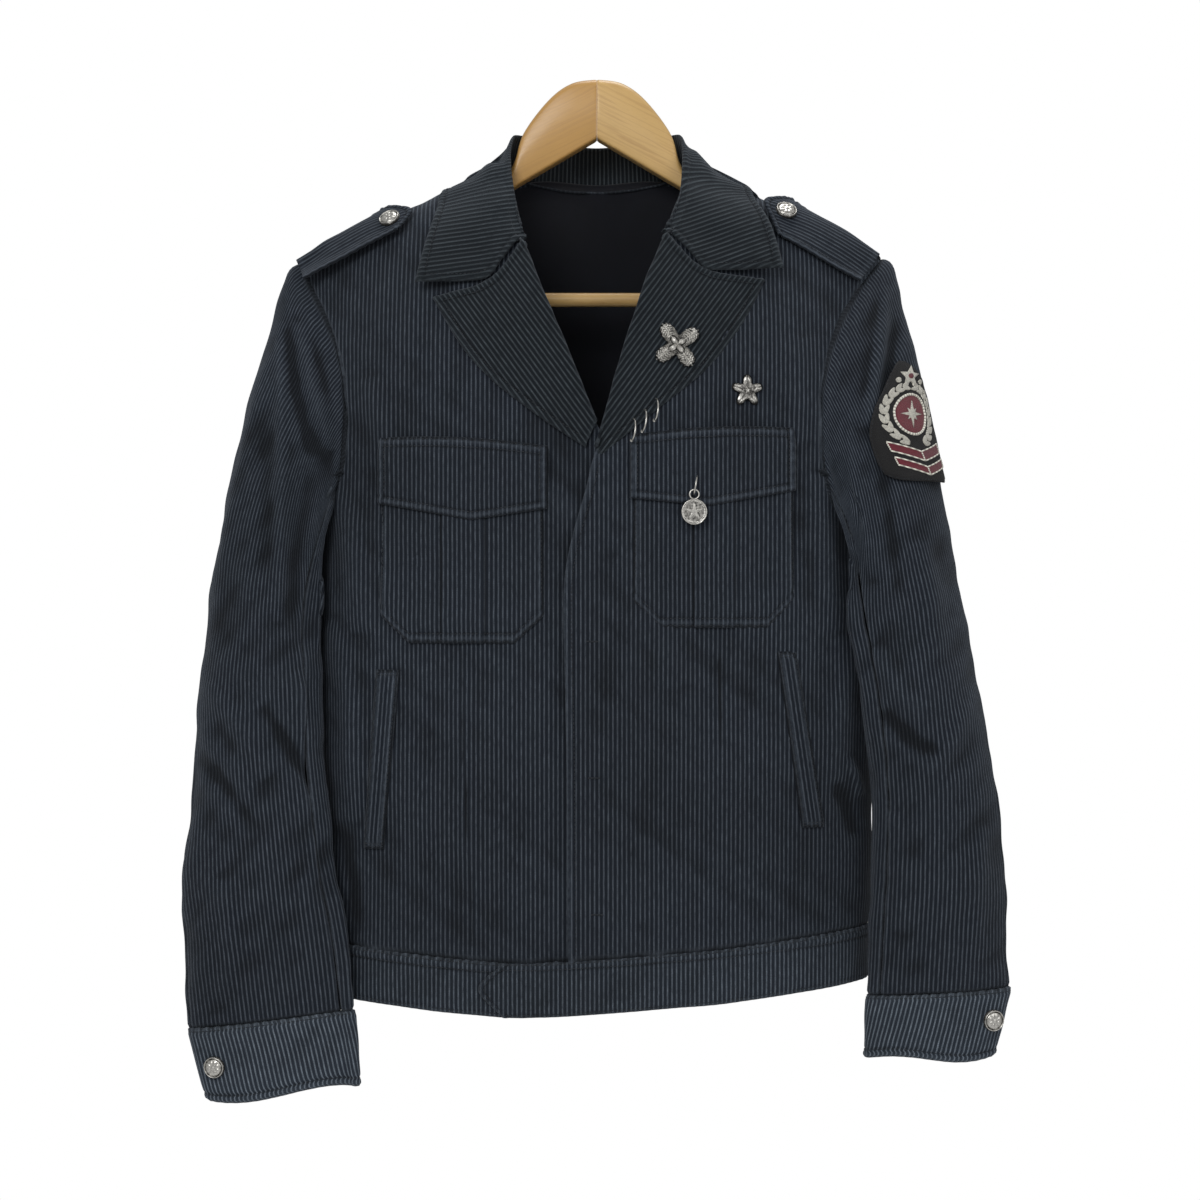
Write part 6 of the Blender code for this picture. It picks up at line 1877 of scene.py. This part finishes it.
def make_lapels():
    steps = STEPS["lapel"]
    for side, hand in HANDS:
        points = fine(lapel_grid(side, *steps.coarse), *steps.fine)
        turn = math.radians(LAPEL_TILT)
        way = np.array([-side * math.cos(turn), -math.sin(turn)])
        offset = points[..., [0, 2]] - points[0, 4, [0, 2]]
        stripe = offset[..., 0] * way[1] - offset[..., 1] * way[0]
        length = offset @ way
        rise = wavy(points, "lapel", side) + rolled(edges_of(points), "right", "top")
        share = np.linspace(0.0, 1.0, points.shape[1])
        tuck = LAPEL_TUCK * (1.0 - np.clip(share / 0.42, 0.0, 1.0) ** 3)
        sheet_with_rows("lapel_" + hand, points, rise, LAPEL_ROWS, "front_" + hand,
                        finish="collar", stripe=stripe, length=length, flip=side > 0,
                        wall=TRIM_WALL, hems=[("top", tuck)])


def make_straps(tree):
    steps = STEPS["strap"]
    for side, hand in HANDS:
        grid = strap_grid(side, tree, *steps.coarse)
        points = fine(grid, *steps.fine)
        rise = wavy(points, "strap", side) + rolled(edges_of(points), "left", "right", "low")
        along_strap, across_strap = run(points, 0), run(points, 1)
        sheet_with_rows("shoulder_strap_" + hand, points, rise, STRAP_ROWS, "front_" + hand,
                        stripe=across_strap, length=along_strap, flip=side < 0, wall=TRIM_WALL,
                        outline=STRAP_SHADE_OUTLINE)
        normal = (grid[5][3] - grid[4][2]).cross(grid[5][1] - grid[4][2]).normalized() * side
        if normal.z < 0:
            normal = -normal
        make_button("strap_button_" + hand, grid[5][2] + normal * FIT_GAP, normal)


def pocket_sheet(side, rows, columns):
    """The patch pocket at fine steps, flat, and the shape of its pleat as a height."""
    pocket = POCKETS[side]
    grid, heights = [], []
    for i in range(rows + 1):
        row, high = [], []
        for j in range(columns + 1):
            u = j / columns
            x = between(pocket.left, pocket.right, u)
            near = min(x - pocket.left, pocket.right - x)
            low = pocket.low + pocket.corner_z * max(0.0, 1.0 - near / pocket.corner_x)
            row.append(on_front(side, x, between(pocket.top, low, i / rows), POCKET_LIFT))
            inside = pocket.pleat_left < x < pocket.pleat_right
            fold = min(abs(x - pocket.pleat_left), abs(x - pocket.pleat_right))
            groove = PLEAT_GROOVE * math.exp(-(fold / PLEAT_GROOVE_WIDTH) ** 2)
            high.append((PLEAT_RISE if inside else 0.0) - groove)
        grid.append(row)
        heights.append(high)
    return np.array([[tuple(p) for p in row] for row in grid]), np.array(heights)


def make_pockets():
    # Trim pieces get a painted shade line along their edges
    trim = {"flip": True, "wall": TRIM_WALL, "outline": TRIM_SHADE_OUTLINE}
    for side, hand in HANDS:
        front = "front_" + hand
        points, pleat = pocket_sheet(side, *STEPS["pocket"].coarse)
        edges = edges_of(points)
        rise = pleat + wavy(points, "pocket", side) + rolled(edges, "left", "right", "low")
        rise += raised(edges["low"], POCKET_BULGE)
        sheet_with_rows("chest_pocket_" + hand, points, rise, POCKET_ROWS, front,
                        stripe=points[..., 0], **trim)
        rows, columns = STEPS["flap"].coarse
        points = np.array([[tuple(flap_point(side, j / columns, i / rows))
                            for j in range(columns + 1)] for i in range(rows + 1)])
        rise = wavy(points, "flap", side) + rolled(edges_of(points), "left", "right", "low", "top")
        sheet_with_rows("pocket_flap_" + hand, points, rise, FLAP_ROWS, front,
                        stripe=points[..., 0], **trim)
        steps = STEPS["welt"]
        points = fine(welt_grid(side, *steps.coarse), *steps.fine)
        rise = rolled(edges_of(points), "left", "right", "top", "low")
        sheet_with_rows("side_welt_" + hand, points, rise, WELT_ROWS, front, **trim)


def make_waistband():
    steps = STEPS["band"]
    points = fine(band_grid(*steps.coarse), *steps.fine)
    rise = wavy(points, "band") + rolled(edges_of(points), "top", "low", "left", "right")
    sheet_with_rows("waistband", points, rise, BAND_ROWS, "front_left", finish="band",
                    stripe=side_run(points), flip=True, hems=BAND_HEMS)


def make_lining():
    steps = STEPS["lining"]
    points = fine(lining_grid(*steps.coarse), *steps.fine)
    x = points[..., 0]
    rise = wavy(points, "lining") - raised(x, LINING_GROOVE)
    rise += raised(x, LINING_PLEAT) + rolled(edges_of(points), "top")
    sheet_with_rows("lining", points, -rise, [], "back", finish="lining", wall=LINING_WALL,
                    hems=LINING_HEMS)


def joined(name, shapes, material, body, node=None, map_name=None):
    """One piece from several small meshes, each given as points, faces and map or relief values."""
    points, faces, values, maps = [], [], [], []
    for shape in shapes:
        start = len(points)
        points += [tuple(p) for p in shape["points"]]
        faces += [tuple(start + k for k in face) for face in shape["faces"]]
        values += list(shape.get("relief", [1.0] * len(shape["points"])))
        maps += list(shape.get("map", [(0.0, 0.0)] * len(shape["points"])))
    mesh = bpy.data.meshes.new(name)
    mesh.from_pydata(points, [], faces)
    add_values(mesh, "relief", values)
    if map_name:
        corners = np.array([corner for face in faces for corner in face])
        add_map(mesh, map_name, np.array(maps)[corners])
    turn_out(mesh)
    obj = add_piece(name, mesh, material, body, node)
    return obj


def tube(points, radius, around, swell=None, closed=False):
    """A round tube along a line, thicker where swell says."""
    line = np.array([tuple(p) for p in points])
    count = len(line)
    if closed:
        ways = unit(np.roll(line, -1, 0) - np.roll(line, 1, 0))
    else:
        ways = unit(np.gradient(line, axis=0))
    side = unit(np.cross(ways[0], [0.31, 0.22, 0.93]))
    out, faces = [], []
    for k in range(count):
        side = unit(side - ways[k] * (side @ ways[k]))
        other = np.cross(ways[k], side)
        wide = radius * (swell(k / (count - 1)) if swell else 1.0)
        for a in range(around):
            turn = 2 * math.pi * a / around
            out.append(line[k] + wide * (side * math.cos(turn) + other * math.sin(turn)))
    for k in range(count if closed else count - 1):
        for a in range(around):
            b, low, high = (a + 1) % around, k * around, ((k + 1) % count) * around
            faces.append((low + a, low + b, high + b, high + a))
    if not closed:
        faces.append(tuple(range(around))[::-1])
        faces.append(tuple((count - 1) * around + a for a in range(around)))
    return {"points": out, "faces": faces}


def relief_disc(radius, thick, height, rings, around, outline=None, behind=0.0):
    """A round badge with its relief: height and outline are functions of radius and turn."""
    points, values, faces = [(0.0, 0.0, thick * height(0.0, 0.0))], [height(0.0, 0.0)], []
    for i in range(1, rings + 1):
        f = i / rings
        for k in range(around):
            turn = 2 * math.pi * k / around
            wide = radius * f * (outline(turn) if outline else 1.0)
            high = height(f, turn)
            points.append((wide * math.cos(turn), wide * math.sin(turn), thick * high))
            values.append(high)
    for k in range(around):
        turn = 2 * math.pi * k / around
        wide = radius * (outline(turn) if outline else 1.0)
        points.append((wide * math.cos(turn), wide * math.sin(turn), -behind))
        values.append(0.3)
    points.append((0.0, 0.0, -behind))
    values.append(0.3)
    for k in range(around):
        n = (k + 1) % around
        faces.append((0, 1 + k, 1 + n))
        for i in range(rings):
            a, b = 1 + i * around, 1 + (i + 1) * around
            faces.append((a + k, b + k, b + n, a + n))
        last = 1 + rings * around
        faces.append((len(points) - 1, last + n, last + k))
    return {"points": points, "faces": faces, "relief": values}


def put_on(shape, place, normal, turn=0.0):
    """Turns a flat shape about its own axis, then sets it on a surface."""
    spin = Vector(normal).to_track_quat("Z", "Y").to_matrix()
    cos, sin = math.cos(turn), math.sin(turn)
    points = [Vector(place) + spin @ Vector((x * cos - y * sin, x * sin + y * cos, z))
              for x, y, z in shape["points"]]
    return {**shape, "points": points}


def button_height(f, turn):
    petals = 0.16 * abs(math.cos(4 * turn)) * math.exp(-((f - 0.46) / 0.17) ** 2)
    boss = 0.16 * math.exp(-(f / 0.13) ** 2)
    rim = 0.20 * math.exp(-((f - 0.93) / 0.050) ** 2)
    groove = 0.26 * math.exp(-((f - 0.80) / 0.045) ** 2)
    rope = 0.05 * math.cos(36 * turn) * math.exp(-((f - 0.93) / 0.05) ** 2)
    fall = 0.62 * smooth((f - 0.95) / 0.05)
    return 0.80 - 0.30 * f * f + petals + boss + rim - groove + rope - fall


BUTTON_RIM = 1.10
BUTTON_TURN = 0.4
BROOCH_RISE = 0.0040
PIN_RISE = 0.0038
MEDAL_RISE = 0.0013
MEDAL_BEHIND = 0.0008
HOOP_STEPS = 56
HOOP_SIDE = 0.0022
WIRE_AROUND = 14
KNOTS = 14


def silver_piece(name, shapes, body="root"):
    joined(name + "_silver", shapes, FINISHES["silver"], body, name)


def make_button(name, place, normal):
    disc = relief_disc(BUTTON_RADIUS * BUTTON_RIM, BUTTON_HEIGHT, button_height, 26, 72)
    silver_piece(name, [put_on(disc, place, normal, BUTTON_TURN)])


def spray_outline(turn):
    return 1.0 - 0.60 * (0.5 - 0.5 * math.cos(4 * turn)) ** 1.3 + 0.025 * math.cos(44 * turn)


def spray_height(f, turn):
    leaf = 0.5 + 0.5 * math.cos(4 * turn)
    vein = 0.12 * math.cos(62 * f - 9.0 * abs(math.sin(2 * turn)))
    ridge_line = 0.24 * math.exp(-(math.sin(2 * turn) / 0.10) ** 2) * smooth((f - 0.25) / 0.15)
    boss = 0.50 * math.exp(-(f / 0.17) ** 2)
    beads = 0.20 * math.exp(-((f - 0.30) / 0.035) ** 2) * (0.5 + 0.5 * math.cos(14 * turn))
    hollow = 0.20 * math.exp(-((f - 0.40) / 0.05) ** 2)
    edge = 0.34 * smooth((f - 0.90) / 0.10)
    vein = vein * smooth((f - 0.38) / 0.12)
    return 0.44 + 0.12 * leaf + vein + ridge_line + boss + beads - hollow - edge


def flower_outline(turn):
    return 1.0 - 0.46 * (0.5 - 0.5 * math.cos(5 * turn)) ** 1.3


def flower_height(f, turn):
    petal = 0.5 + 0.5 * math.cos(5 * turn)
    cup = 0.22 * math.exp(-((f - 0.68) / 0.20) ** 2) * petal
    fold = 0.22 * math.exp(-(math.sin(2.5 * turn) / 0.12) ** 2) * smooth((f - 0.3) / 0.2)
    boss = 0.46 * math.exp(-(f / 0.20) ** 4)
    grains = 0.07 * math.cos(9 * turn) * math.exp(-((f - 0.16) / 0.06) ** 2)
    edge = 0.26 * smooth((f - 0.88) / 0.12)
    return 0.40 + cup - fold * 0.6 + boss + grains - edge


def star_share(turn, points, low, high):
    """Radius of a star's outline at a turn about it."""
    spoke = abs((turn * points / (2 * math.pi)) % 1.0 - 0.5) * 2.0
    return low + (high - low) * spoke ** 1.8


def medal_height(f, turn):
    rim = 0.34 * math.exp(-((f - 0.92) / 0.045) ** 2)
    beads = 0.16 * math.exp(-((f - 0.80) / 0.035) ** 2) * (0.5 + 0.5 * math.cos(40 * turn))
    star = 0.42 * smooth((star_share(turn - math.pi / 2, 5, 0.24, 0.66) - f) / 0.05)
    edge = 0.4 * smooth((f - 0.96) / 0.04)
    return 0.50 + rim + beads + star - edge


def make_badges():
    lift = LAPEL_LIFT + LAPEL_ROLL * 0.35 + FIT_GAP
    brooch = relief_disc(BROOCH_RADIUS, BROOCH_RISE, spray_height, 46, 200, spray_outline)
    pin = relief_disc(PIN_RADIUS, PIN_RISE, flower_height, 40, 160, flower_outline)
    for name, shape, place, high, turn in (("lapel_brooch", brooch, BROOCH_PLACE, lift, 0.62),
                                           ("chest_pin", pin, PIN_PLACE, 2 * FIT_GAP, 0.31)):
        point, normal = on_front(1, *place, high), outward(*place, -1)
        silver_piece(name, [put_on(shape, point, normal, turn)])


def ball_end(share):
    """Swelling of a wire at its free end, where a small ball closes it."""
    ball = 1.25 * math.exp(-((share - 0.965) / 0.035) ** 2)
    return 1.0 + ball - 0.9 * smooth((share - 0.985) / 0.015)


def make_hoops():
    for k, (start, end) in enumerate(HOOPS):
        first, last = on_front(1, *start, HOOP_LIFT), on_front(1, *end, HOOP_END_LIFT)
        line = hoop_points(first, last, HOOP_STEPS, HOOP_BULGE, HOOP_SIDE)
        wire = tube(line, WIRE_RADIUS, WIRE_AROUND, ball_end)
        silver_piece(f"lapel_hoop_{k + 1}", [wire])


def make_medal():
    hoop = tube(medal_hoop_points(HOOP_STEPS), WIRE_RADIUS, WIRE_AROUND)
    silver_piece("flap_hoop", [hoop])
    pivot = medal_hoop_points(KNOTS)[EYELET_KNOT]
    eyelet_z = pivot.z - (EYELET_RADIUS - EYELET_WIRE - WIRE_RADIUS - EYELET_SLACK)
    middle = Vector((pivot.x, pivot.y, eyelet_z - EYELET_RADIUS - MEDAL_RADIUS + 0.0004))
    disc = relief_disc(MEDAL_RADIUS, MEDAL_RISE, medal_height, 44, 160, behind=MEDAL_BEHIND)
    ring = [Vector((x, pivot.y, z)) for x, z in circle(pivot.x, eyelet_z, EYELET_RADIUS, HOOP_STEPS)]
    shapes = [put_on(disc, middle, (0.0, -1.0, 0.0)),
              tube(ring, EYELET_WIRE, WIRE_AROUND, closed=True)]
    silver_piece("medal", shapes, "medal")


def make_cuff_buttons():
    for side, hand in HANDS:
        x, z = CUFF_BUTTONS[side]
        grid = [row + row[:1] for row in cuff_grid(side, *STEPS["cuff"].coarse)]
        cuff = surface_tree([(grid, side < 0)])
        place, normal, _, _ = cuff.ray_cast(Vector((side * x, -1.0, z)), Vector((0.0, 1.0, 0.0)))
        make_button("cuff_button_" + hand, place + normal * (CUFF_BUTTON_LIFT + 0.0005), normal)


# Wooden hanger in two halves that meet in the middle
JOINT_REACH = 0.0007
JOINT_SINK = 0.0005
JOINT_HALF = 0.00006
SLOPE_LENGTH = 1.118


def hanger_section(x):
    """Points round the hanger at a distance from its middle."""
    end = 1.0 - 0.28 * smooth((x - 0.199) / (HANGER_END - 0.199))
    top, low, half = hanger_top(x), hanger_low(x), HANGER_HALF * end
    top, low = between(low, top, 0.5 + end / 2), between(top, low, 0.5 + end / 2)
    sink = JOINT_SINK * bump(x, JOINT_REACH)
    top, low, half = top - sink, low + sink, half - sink
    crown = HANGER_CROWN * smooth((x - 0.05) / 0.03)
    section = [(0.0, top), (0.34 * half, top - 0.0003 - 0.06 * crown),
               (0.62 * half, top - 0.0011 - 0.3 * crown), (0.88 * half, top - 0.0028 - 0.72 * crown),
               (half, top - 0.0056 - crown), (half, between(low, top, 0.5)), (half, low + 0.0024),
               (half - 0.0006, low + 0.0007), (half - 0.0024, low), (0.4 * half, low), (0.0, low)]
    return section + [(-y, z) for y, z in reversed(section[1:-1])]


def make_hanger():
    steps = sorted({0.0, 0.0003, 0.0007, 0.0014} | {HANGER_END * k / 150 for k in range(1, 151)})
    rings = [hanger_section(x) for x in steps]
    for side, hand in HANDS:
        points = [(side * max(x, JOINT_HALF), y, z) for x, ring in zip(steps, rings) for y, z in ring]
        around = len(rings[0])
        faces = [face[::side] for face in faces_of(len(rings), around, True)]
        last = len(points) - around
        faces += [tuple(range(around))[::side], tuple(range(last, last + around))[::-side]]
        grain = [((abs(x) - RIDGE_SLOPE * z) / SLOPE_LENGTH + (0.4 if side < 0 else 0.0),
                  (RIDGE_SLOPE * abs(x) + z) / SLOPE_LENGTH + 0.35 * y + 0.013 * side)
                 for x, y, z in points]
        half = joined(f"hanger_half_{hand}", [{"points": points, "faces": faces, "map": grain}],
                      FINISHES["wood_" + hand], "root", None, "grain")
        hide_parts("hanger")
    line = [Vector((BAR_END * (2 * k / 60 - 1), 0.0, BAR_Z)) for k in range(61)]
    rod = tube(line, BAR_RADIUS, 40)
    rod["map"] = [(p[0], 0.4 * p[2] + 0.6 * p[1]) for p in rod["points"]]
    joined("hanger_bar_wood", [rod], FINISHES["wood_left"], "root", "hanger_bar", "grain")


# Embroidery on the felt patch, in metres from the middle of the patch
PATCH_MIDDLE = 0.0310
PATCH_LEAN = 0.33
PATCH_ROUND = 0.10
DISC_MIDDLE = 0.0010
DISC_RADIUS = 0.0150
WREATH_RADIUS = 0.0232
LEAF_LENGTH = 0.0086
LEAF_WIDE = 0.0040
LEAF_APART = 0.0038
DISC_PAD = 0.0007
STAR_PAD = 0.0009
LEAF_PAD = 0.0008
CREST_PAD = 0.0009
CORD_LIFT = 0.0006
CREST_Z = 0.0335
CREST_DOTS = [(-0.0125, 0.0290), (0.0125, 0.0290)]
DOT_RADIUS = 0.0026
CHEVRONS = [(-0.0275, 0.0070), (-0.0390, 0.0060)]
CHEVRON_HALF = 0.0265
CHEVRON_DROP = 0.0070


class Patch:
    """Places on the felt patch by distance from its middle."""

    def __init__(self, points, out):
        self.points, self.out = points, out
        self.height = float(run(points, 0)[-1].mean())

    def spot(self, x, z, lift):
        rows, columns = self.points.shape[:2]
        r = min(0.98, max(0.02, 0.5 - z / self.height)) * (rows - 1)
        i = min(int(r), rows - 2)
        width = float(run(self.points[i:i + 1], 1)[0, -1])
        c = min(0.98, max(0.02, 1.0 - (PATCH_MIDDLE - PATCH_LEAN * z + x) / width)) * (columns - 1)
        j = min(int(c), columns - 2)
        corner = [[(1 - (r - i)) * (1 - (c - j)), (1 - (r - i)) * (c - j)],
                  [(r - i) * (1 - (c - j)), (r - i) * (c - j)]]
        place = sum(self.points[i + a, j + b] * corner[a][b] for a in (0, 1) for b in (0, 1))
        way = sum(self.out[i + a, j + b] * corner[a][b] for a in (0, 1) for b in (0, 1))
        return place + unit(way) * lift

    def pad(self, outline, height, turn=0.0, base=0.0):
        """A raised shape of laid thread, its lines at a turn."""
        middle = np.mean(np.array(outline), axis=0)
        levels = [(1.0, -0.0002), (0.99, 0.55 * height), (0.90, 0.9 * height), (0.60, height),
                  (0.28, height)]
        flat, points = [], []
        for share, lift in levels:
            for x, z in outline:
                flat.append((middle[0] + (x - middle[0]) * share, middle[1] + (z - middle[1]) * share))
                points.append(self.spot(*flat[-1], base + lift))
        flat.append(tuple(middle))
        points.append(self.spot(*middle, base + height))
        count, faces = len(outline), []
        for r in range(len(levels) - 1):
            for k in range(count):
                n = (k + 1) % count
                faces.append((r * count + k, r * count + n, (r + 1) * count + n, (r + 1) * count + k))
        last = (len(levels) - 1) * count
        faces += [(last + k, last + (k + 1) % count, len(points) - 1) for k in range(count)]
        faces.append(tuple(range(count))[::-1])
        thread = [(x * math.cos(turn) + z * math.sin(turn), z * math.cos(turn) - x * math.sin(turn))
                  for x, z in flat]
        return {"points": points, "faces": faces, "map": thread}

    def cord(self, outline, radius, lift, closed=True):
        """A corded line of thread along an outline."""
        shape = tube([self.spot(x, z, lift) for x, z in outline], radius, 8, closed=closed)
        shape["map"] = [(k // 8 * 0.0004, 0.0) for k in range(len(shape["points"]))]
        return shape


def circle(x, z, radius, count=48):
    turns = [2 * math.pi * k / count for k in range(count)]
    return [(x + radius * math.cos(turn), z + radius * math.sin(turn)) for turn in turns]


def leaf(x, z, turn):
    shape = []
    for k in range(14):
        a = 2 * math.pi * k / 14
        out = LEAF_LENGTH / 2 * math.cos(a)
        across = LEAF_WIDE / 2 * math.sin(a) * (1.0 - 0.35 * math.cos(a))
        shape.append((x + out * math.cos(turn) - across * math.sin(turn),
                      z + out * math.sin(turn) + across * math.cos(turn)))
    return shape


def star(x, z, points, low, high, turn=math.pi / 2):
    return [(x + (high if k % 2 == 0 else low) * math.cos(turn + math.pi * k / points),
             z + (high if k % 2 == 0 else low) * math.sin(turn + math.pi * k / points))
            for k in range(2 * points)]


def rounded(points):
    """A sheet whose four corners are drawn in to round ones."""
    rows, columns = points.shape[:2]
    down, across = np.meshgrid(np.linspace(-1.0, 1.0, rows), np.linspace(-1.0, 1.0, columns),
                               indexing="ij")
    row = (down * (1.0 - PATCH_ROUND * np.abs(across) ** 6) + 1.0) / 2.0 * (rows - 1)
    column = (across * (1.0 - PATCH_ROUND * np.abs(down) ** 6) + 1.0) / 2.0 * (columns - 1)
    i = np.minimum(row.astype(int), rows - 2)
    j = np.minimum(column.astype(int), columns - 2)
    u, v = (row - i)[..., None], (column - j)[..., None]
    high = points[i, j] * (1.0 - v) + points[i, j + 1] * v
    low = points[i + 1, j] * (1.0 - v) + points[i + 1, j + 1] * v
    return high * (1.0 - u) + low * u


def make_patch(tops):
    tree = surface_tree([tops[1]])
    steps = STEPS["patch"]
    whole = fine(patch_grid(*steps.coarse, tree), *steps.fine)
    points = rounded(whole)
    rise = wavy(points, "patch") + rolled(edges_of(points), "left", "right", "top", "low")
    sheet_with_rows("sleeve_patch", points, rise, PATCH_ROWS, "top_sleeve_left", finish="felt",
                    wall=PATCH_WALL)
    patch = Patch(whole, facing(whole, False))
    silver, red = [], [patch.pad(circle(0.0, DISC_MIDDLE, DISC_RADIUS), DISC_PAD, 0.8)]
    rim = circle(0.0, DISC_MIDDLE, DISC_RADIUS + CORD_LIFT, 72)
    silver.append(patch.cord(rim, 0.0010, CORD_LIFT))
    large_star = star(0.0, DISC_MIDDLE, 4, 0.0024, 0.0108)
    silver.append(patch.pad(large_star, DISC_PAD, 0.3, DISC_PAD))
    small_star = star(0.0, DISC_MIDDLE, 4, 0.0022, 0.0064, math.pi / 4)
    silver.append(patch.pad(small_star, STAR_PAD, 1.1, DISC_PAD))
    for hand in (-1, 1):
        for k in range(9):
            turn = math.radians(-62.0 + 17.5 * k)
            x = hand * WREATH_RADIUS * math.cos(turn)
            z = DISC_MIDDLE + WREATH_RADIUS * math.sin(turn)
            for lean in (0.42, -0.42):
                way = math.atan2(math.cos(turn), -hand * math.sin(turn)) + hand * lean
                apart = lean * LEAF_APART
                shape = leaf(x - hand * apart * math.cos(turn), z - apart * math.sin(turn), way)
                silver.append(patch.pad(shape, LEAF_PAD, way + 1.0))
    silver.append(patch.pad(star(0.0, CREST_Z, 5, 0.0052, 0.0118), CREST_PAD, 0.5))
    red.append(patch.pad(circle(0.0, CREST_Z, DOT_RADIUS, 20), 0.0006, 0.5, 0.0008))
    for x, z in CREST_DOTS:
        silver.append(patch.pad(circle(x, z, DOT_RADIUS, 16), CREST_PAD, 0.5))
    for top, deep in CHEVRONS:
        for hand in (-1, 1):
            arm = [(0.0, top), (hand * CHEVRON_HALF, top + CHEVRON_DROP),
                   (hand * CHEVRON_HALF, top + CHEVRON_DROP - deep), (0.0, top - deep)]
            dense = [tuple(between(a, b, f / 8) for a, b in zip(p, q))
                     for p, q in zip(arm, arm[1:] + arm[:1]) for f in range(8)]
            red.append(patch.pad(dense, DISC_PAD, 1.2 * hand))
            silver.append(patch.cord(dense, 0.00055, CORD_LIFT))
    joined("patch_silver_thread", silver, FINISHES["silver_thread"], "root", None, "thread")
    joined("patch_red_thread", red, FINISHES["red_thread"], "root", None, "thread")


# Camera, light and floor
CAMERA_PLACE = (0.0023, -2.0, -0.3952)
CAMERA_LENS = 78.95
SKY_LIGHT = 0.36
FLOOR_Z = -1.25
FLOOR_RADIUS = 1.2
FLOOR_SIDES = 96
SENSOR_WIDTH = 36.0

# Lamps: name, place, aim, width and power
LIGHTS = [
    ("key", (-0.7, -1.9, 0.55), (0.0, 0.0, -0.38), 1.0, 17.0),
    ("fill", (1.3, -1.7, 0.1), (0.0, 0.0, -0.40), 1.4, 7.0),
    ("top", (0.2, 0.3, 1.3), (0.0, 0.0, -0.30), 1.0, 10.0),
]


def add_light(name, place, aim, size, power):
    light = bpy.data.lights.new(name, "AREA")
    light.shape = "DISK"
    light.size = size
    light.energy = power
    obj = bpy.data.objects.new(name, light)
    obj.location = place
    obj.rotation_euler = (Vector(aim) - Vector(place)).to_track_quat("-Z", "Y").to_euler()
    bpy.context.scene.collection.objects.link(obj)


def make_studio():
    scene = bpy.context.scene
    scene.view_settings.view_transform = "Standard"
    world = bpy.data.worlds.new("studio")
    world.use_nodes = True
    nodes, links = world.node_tree.nodes, world.node_tree.links
    sky, backdrop = nodes["Background"], nodes.new("ShaderNodeBackground")
    for background, strength in ((sky, SKY_LIGHT), (backdrop, 1.0)):
        background.inputs["Color"].default_value = (1.0, 1.0, 1.0, 1.0)
        background.inputs["Strength"].default_value = strength
    mix = nodes.new("ShaderNodeMixShader")
    links.new(nodes.new("ShaderNodeLightPath").outputs["Is Camera Ray"], mix.inputs[0])
    links.new(sky.outputs[0], mix.inputs[1])
    links.new(backdrop.outputs[0], mix.inputs[2])
    links.new(mix.outputs[0], nodes["World Output"].inputs[0])
    scene.world = world
    for light in LIGHTS:
        add_light(*light)
    mesh = bpy.data.meshes.new("floor")
    rim = [(x, y, FLOOR_Z) for x, y in circle(0.0, 0.0, FLOOR_RADIUS, FLOOR_SIDES)]
    mesh.from_pydata(rim, [], [tuple(range(FLOOR_SIDES))])
    mesh.materials.append(floor_finish())
    floor = bpy.data.objects.new("floor", mesh)
    scene.collection.objects.link(floor)
    camera = bpy.data.cameras.new("camera")
    camera.lens = CAMERA_LENS
    camera.sensor_width = SENSOR_WIDTH
    view = bpy.data.objects.new("camera", camera)
    view.location = CAMERA_PLACE
    view.rotation_euler = (math.pi / 2, 0.0, 0.0)
    scene.collection.objects.link(view)
    scene.camera = view


def main():
    make_studio()
    make_fronts()
    make_back()
    tree, tops = make_sleeves()
    make_collar(tree)
    make_lapels()
    make_straps(tree)
    make_pockets()
    make_waistband()
    make_lining()
    make_badges()
    make_hoops()
    make_medal()
    make_cuff_buttons()
    make_patch(tops)
    make_hanger()


main()
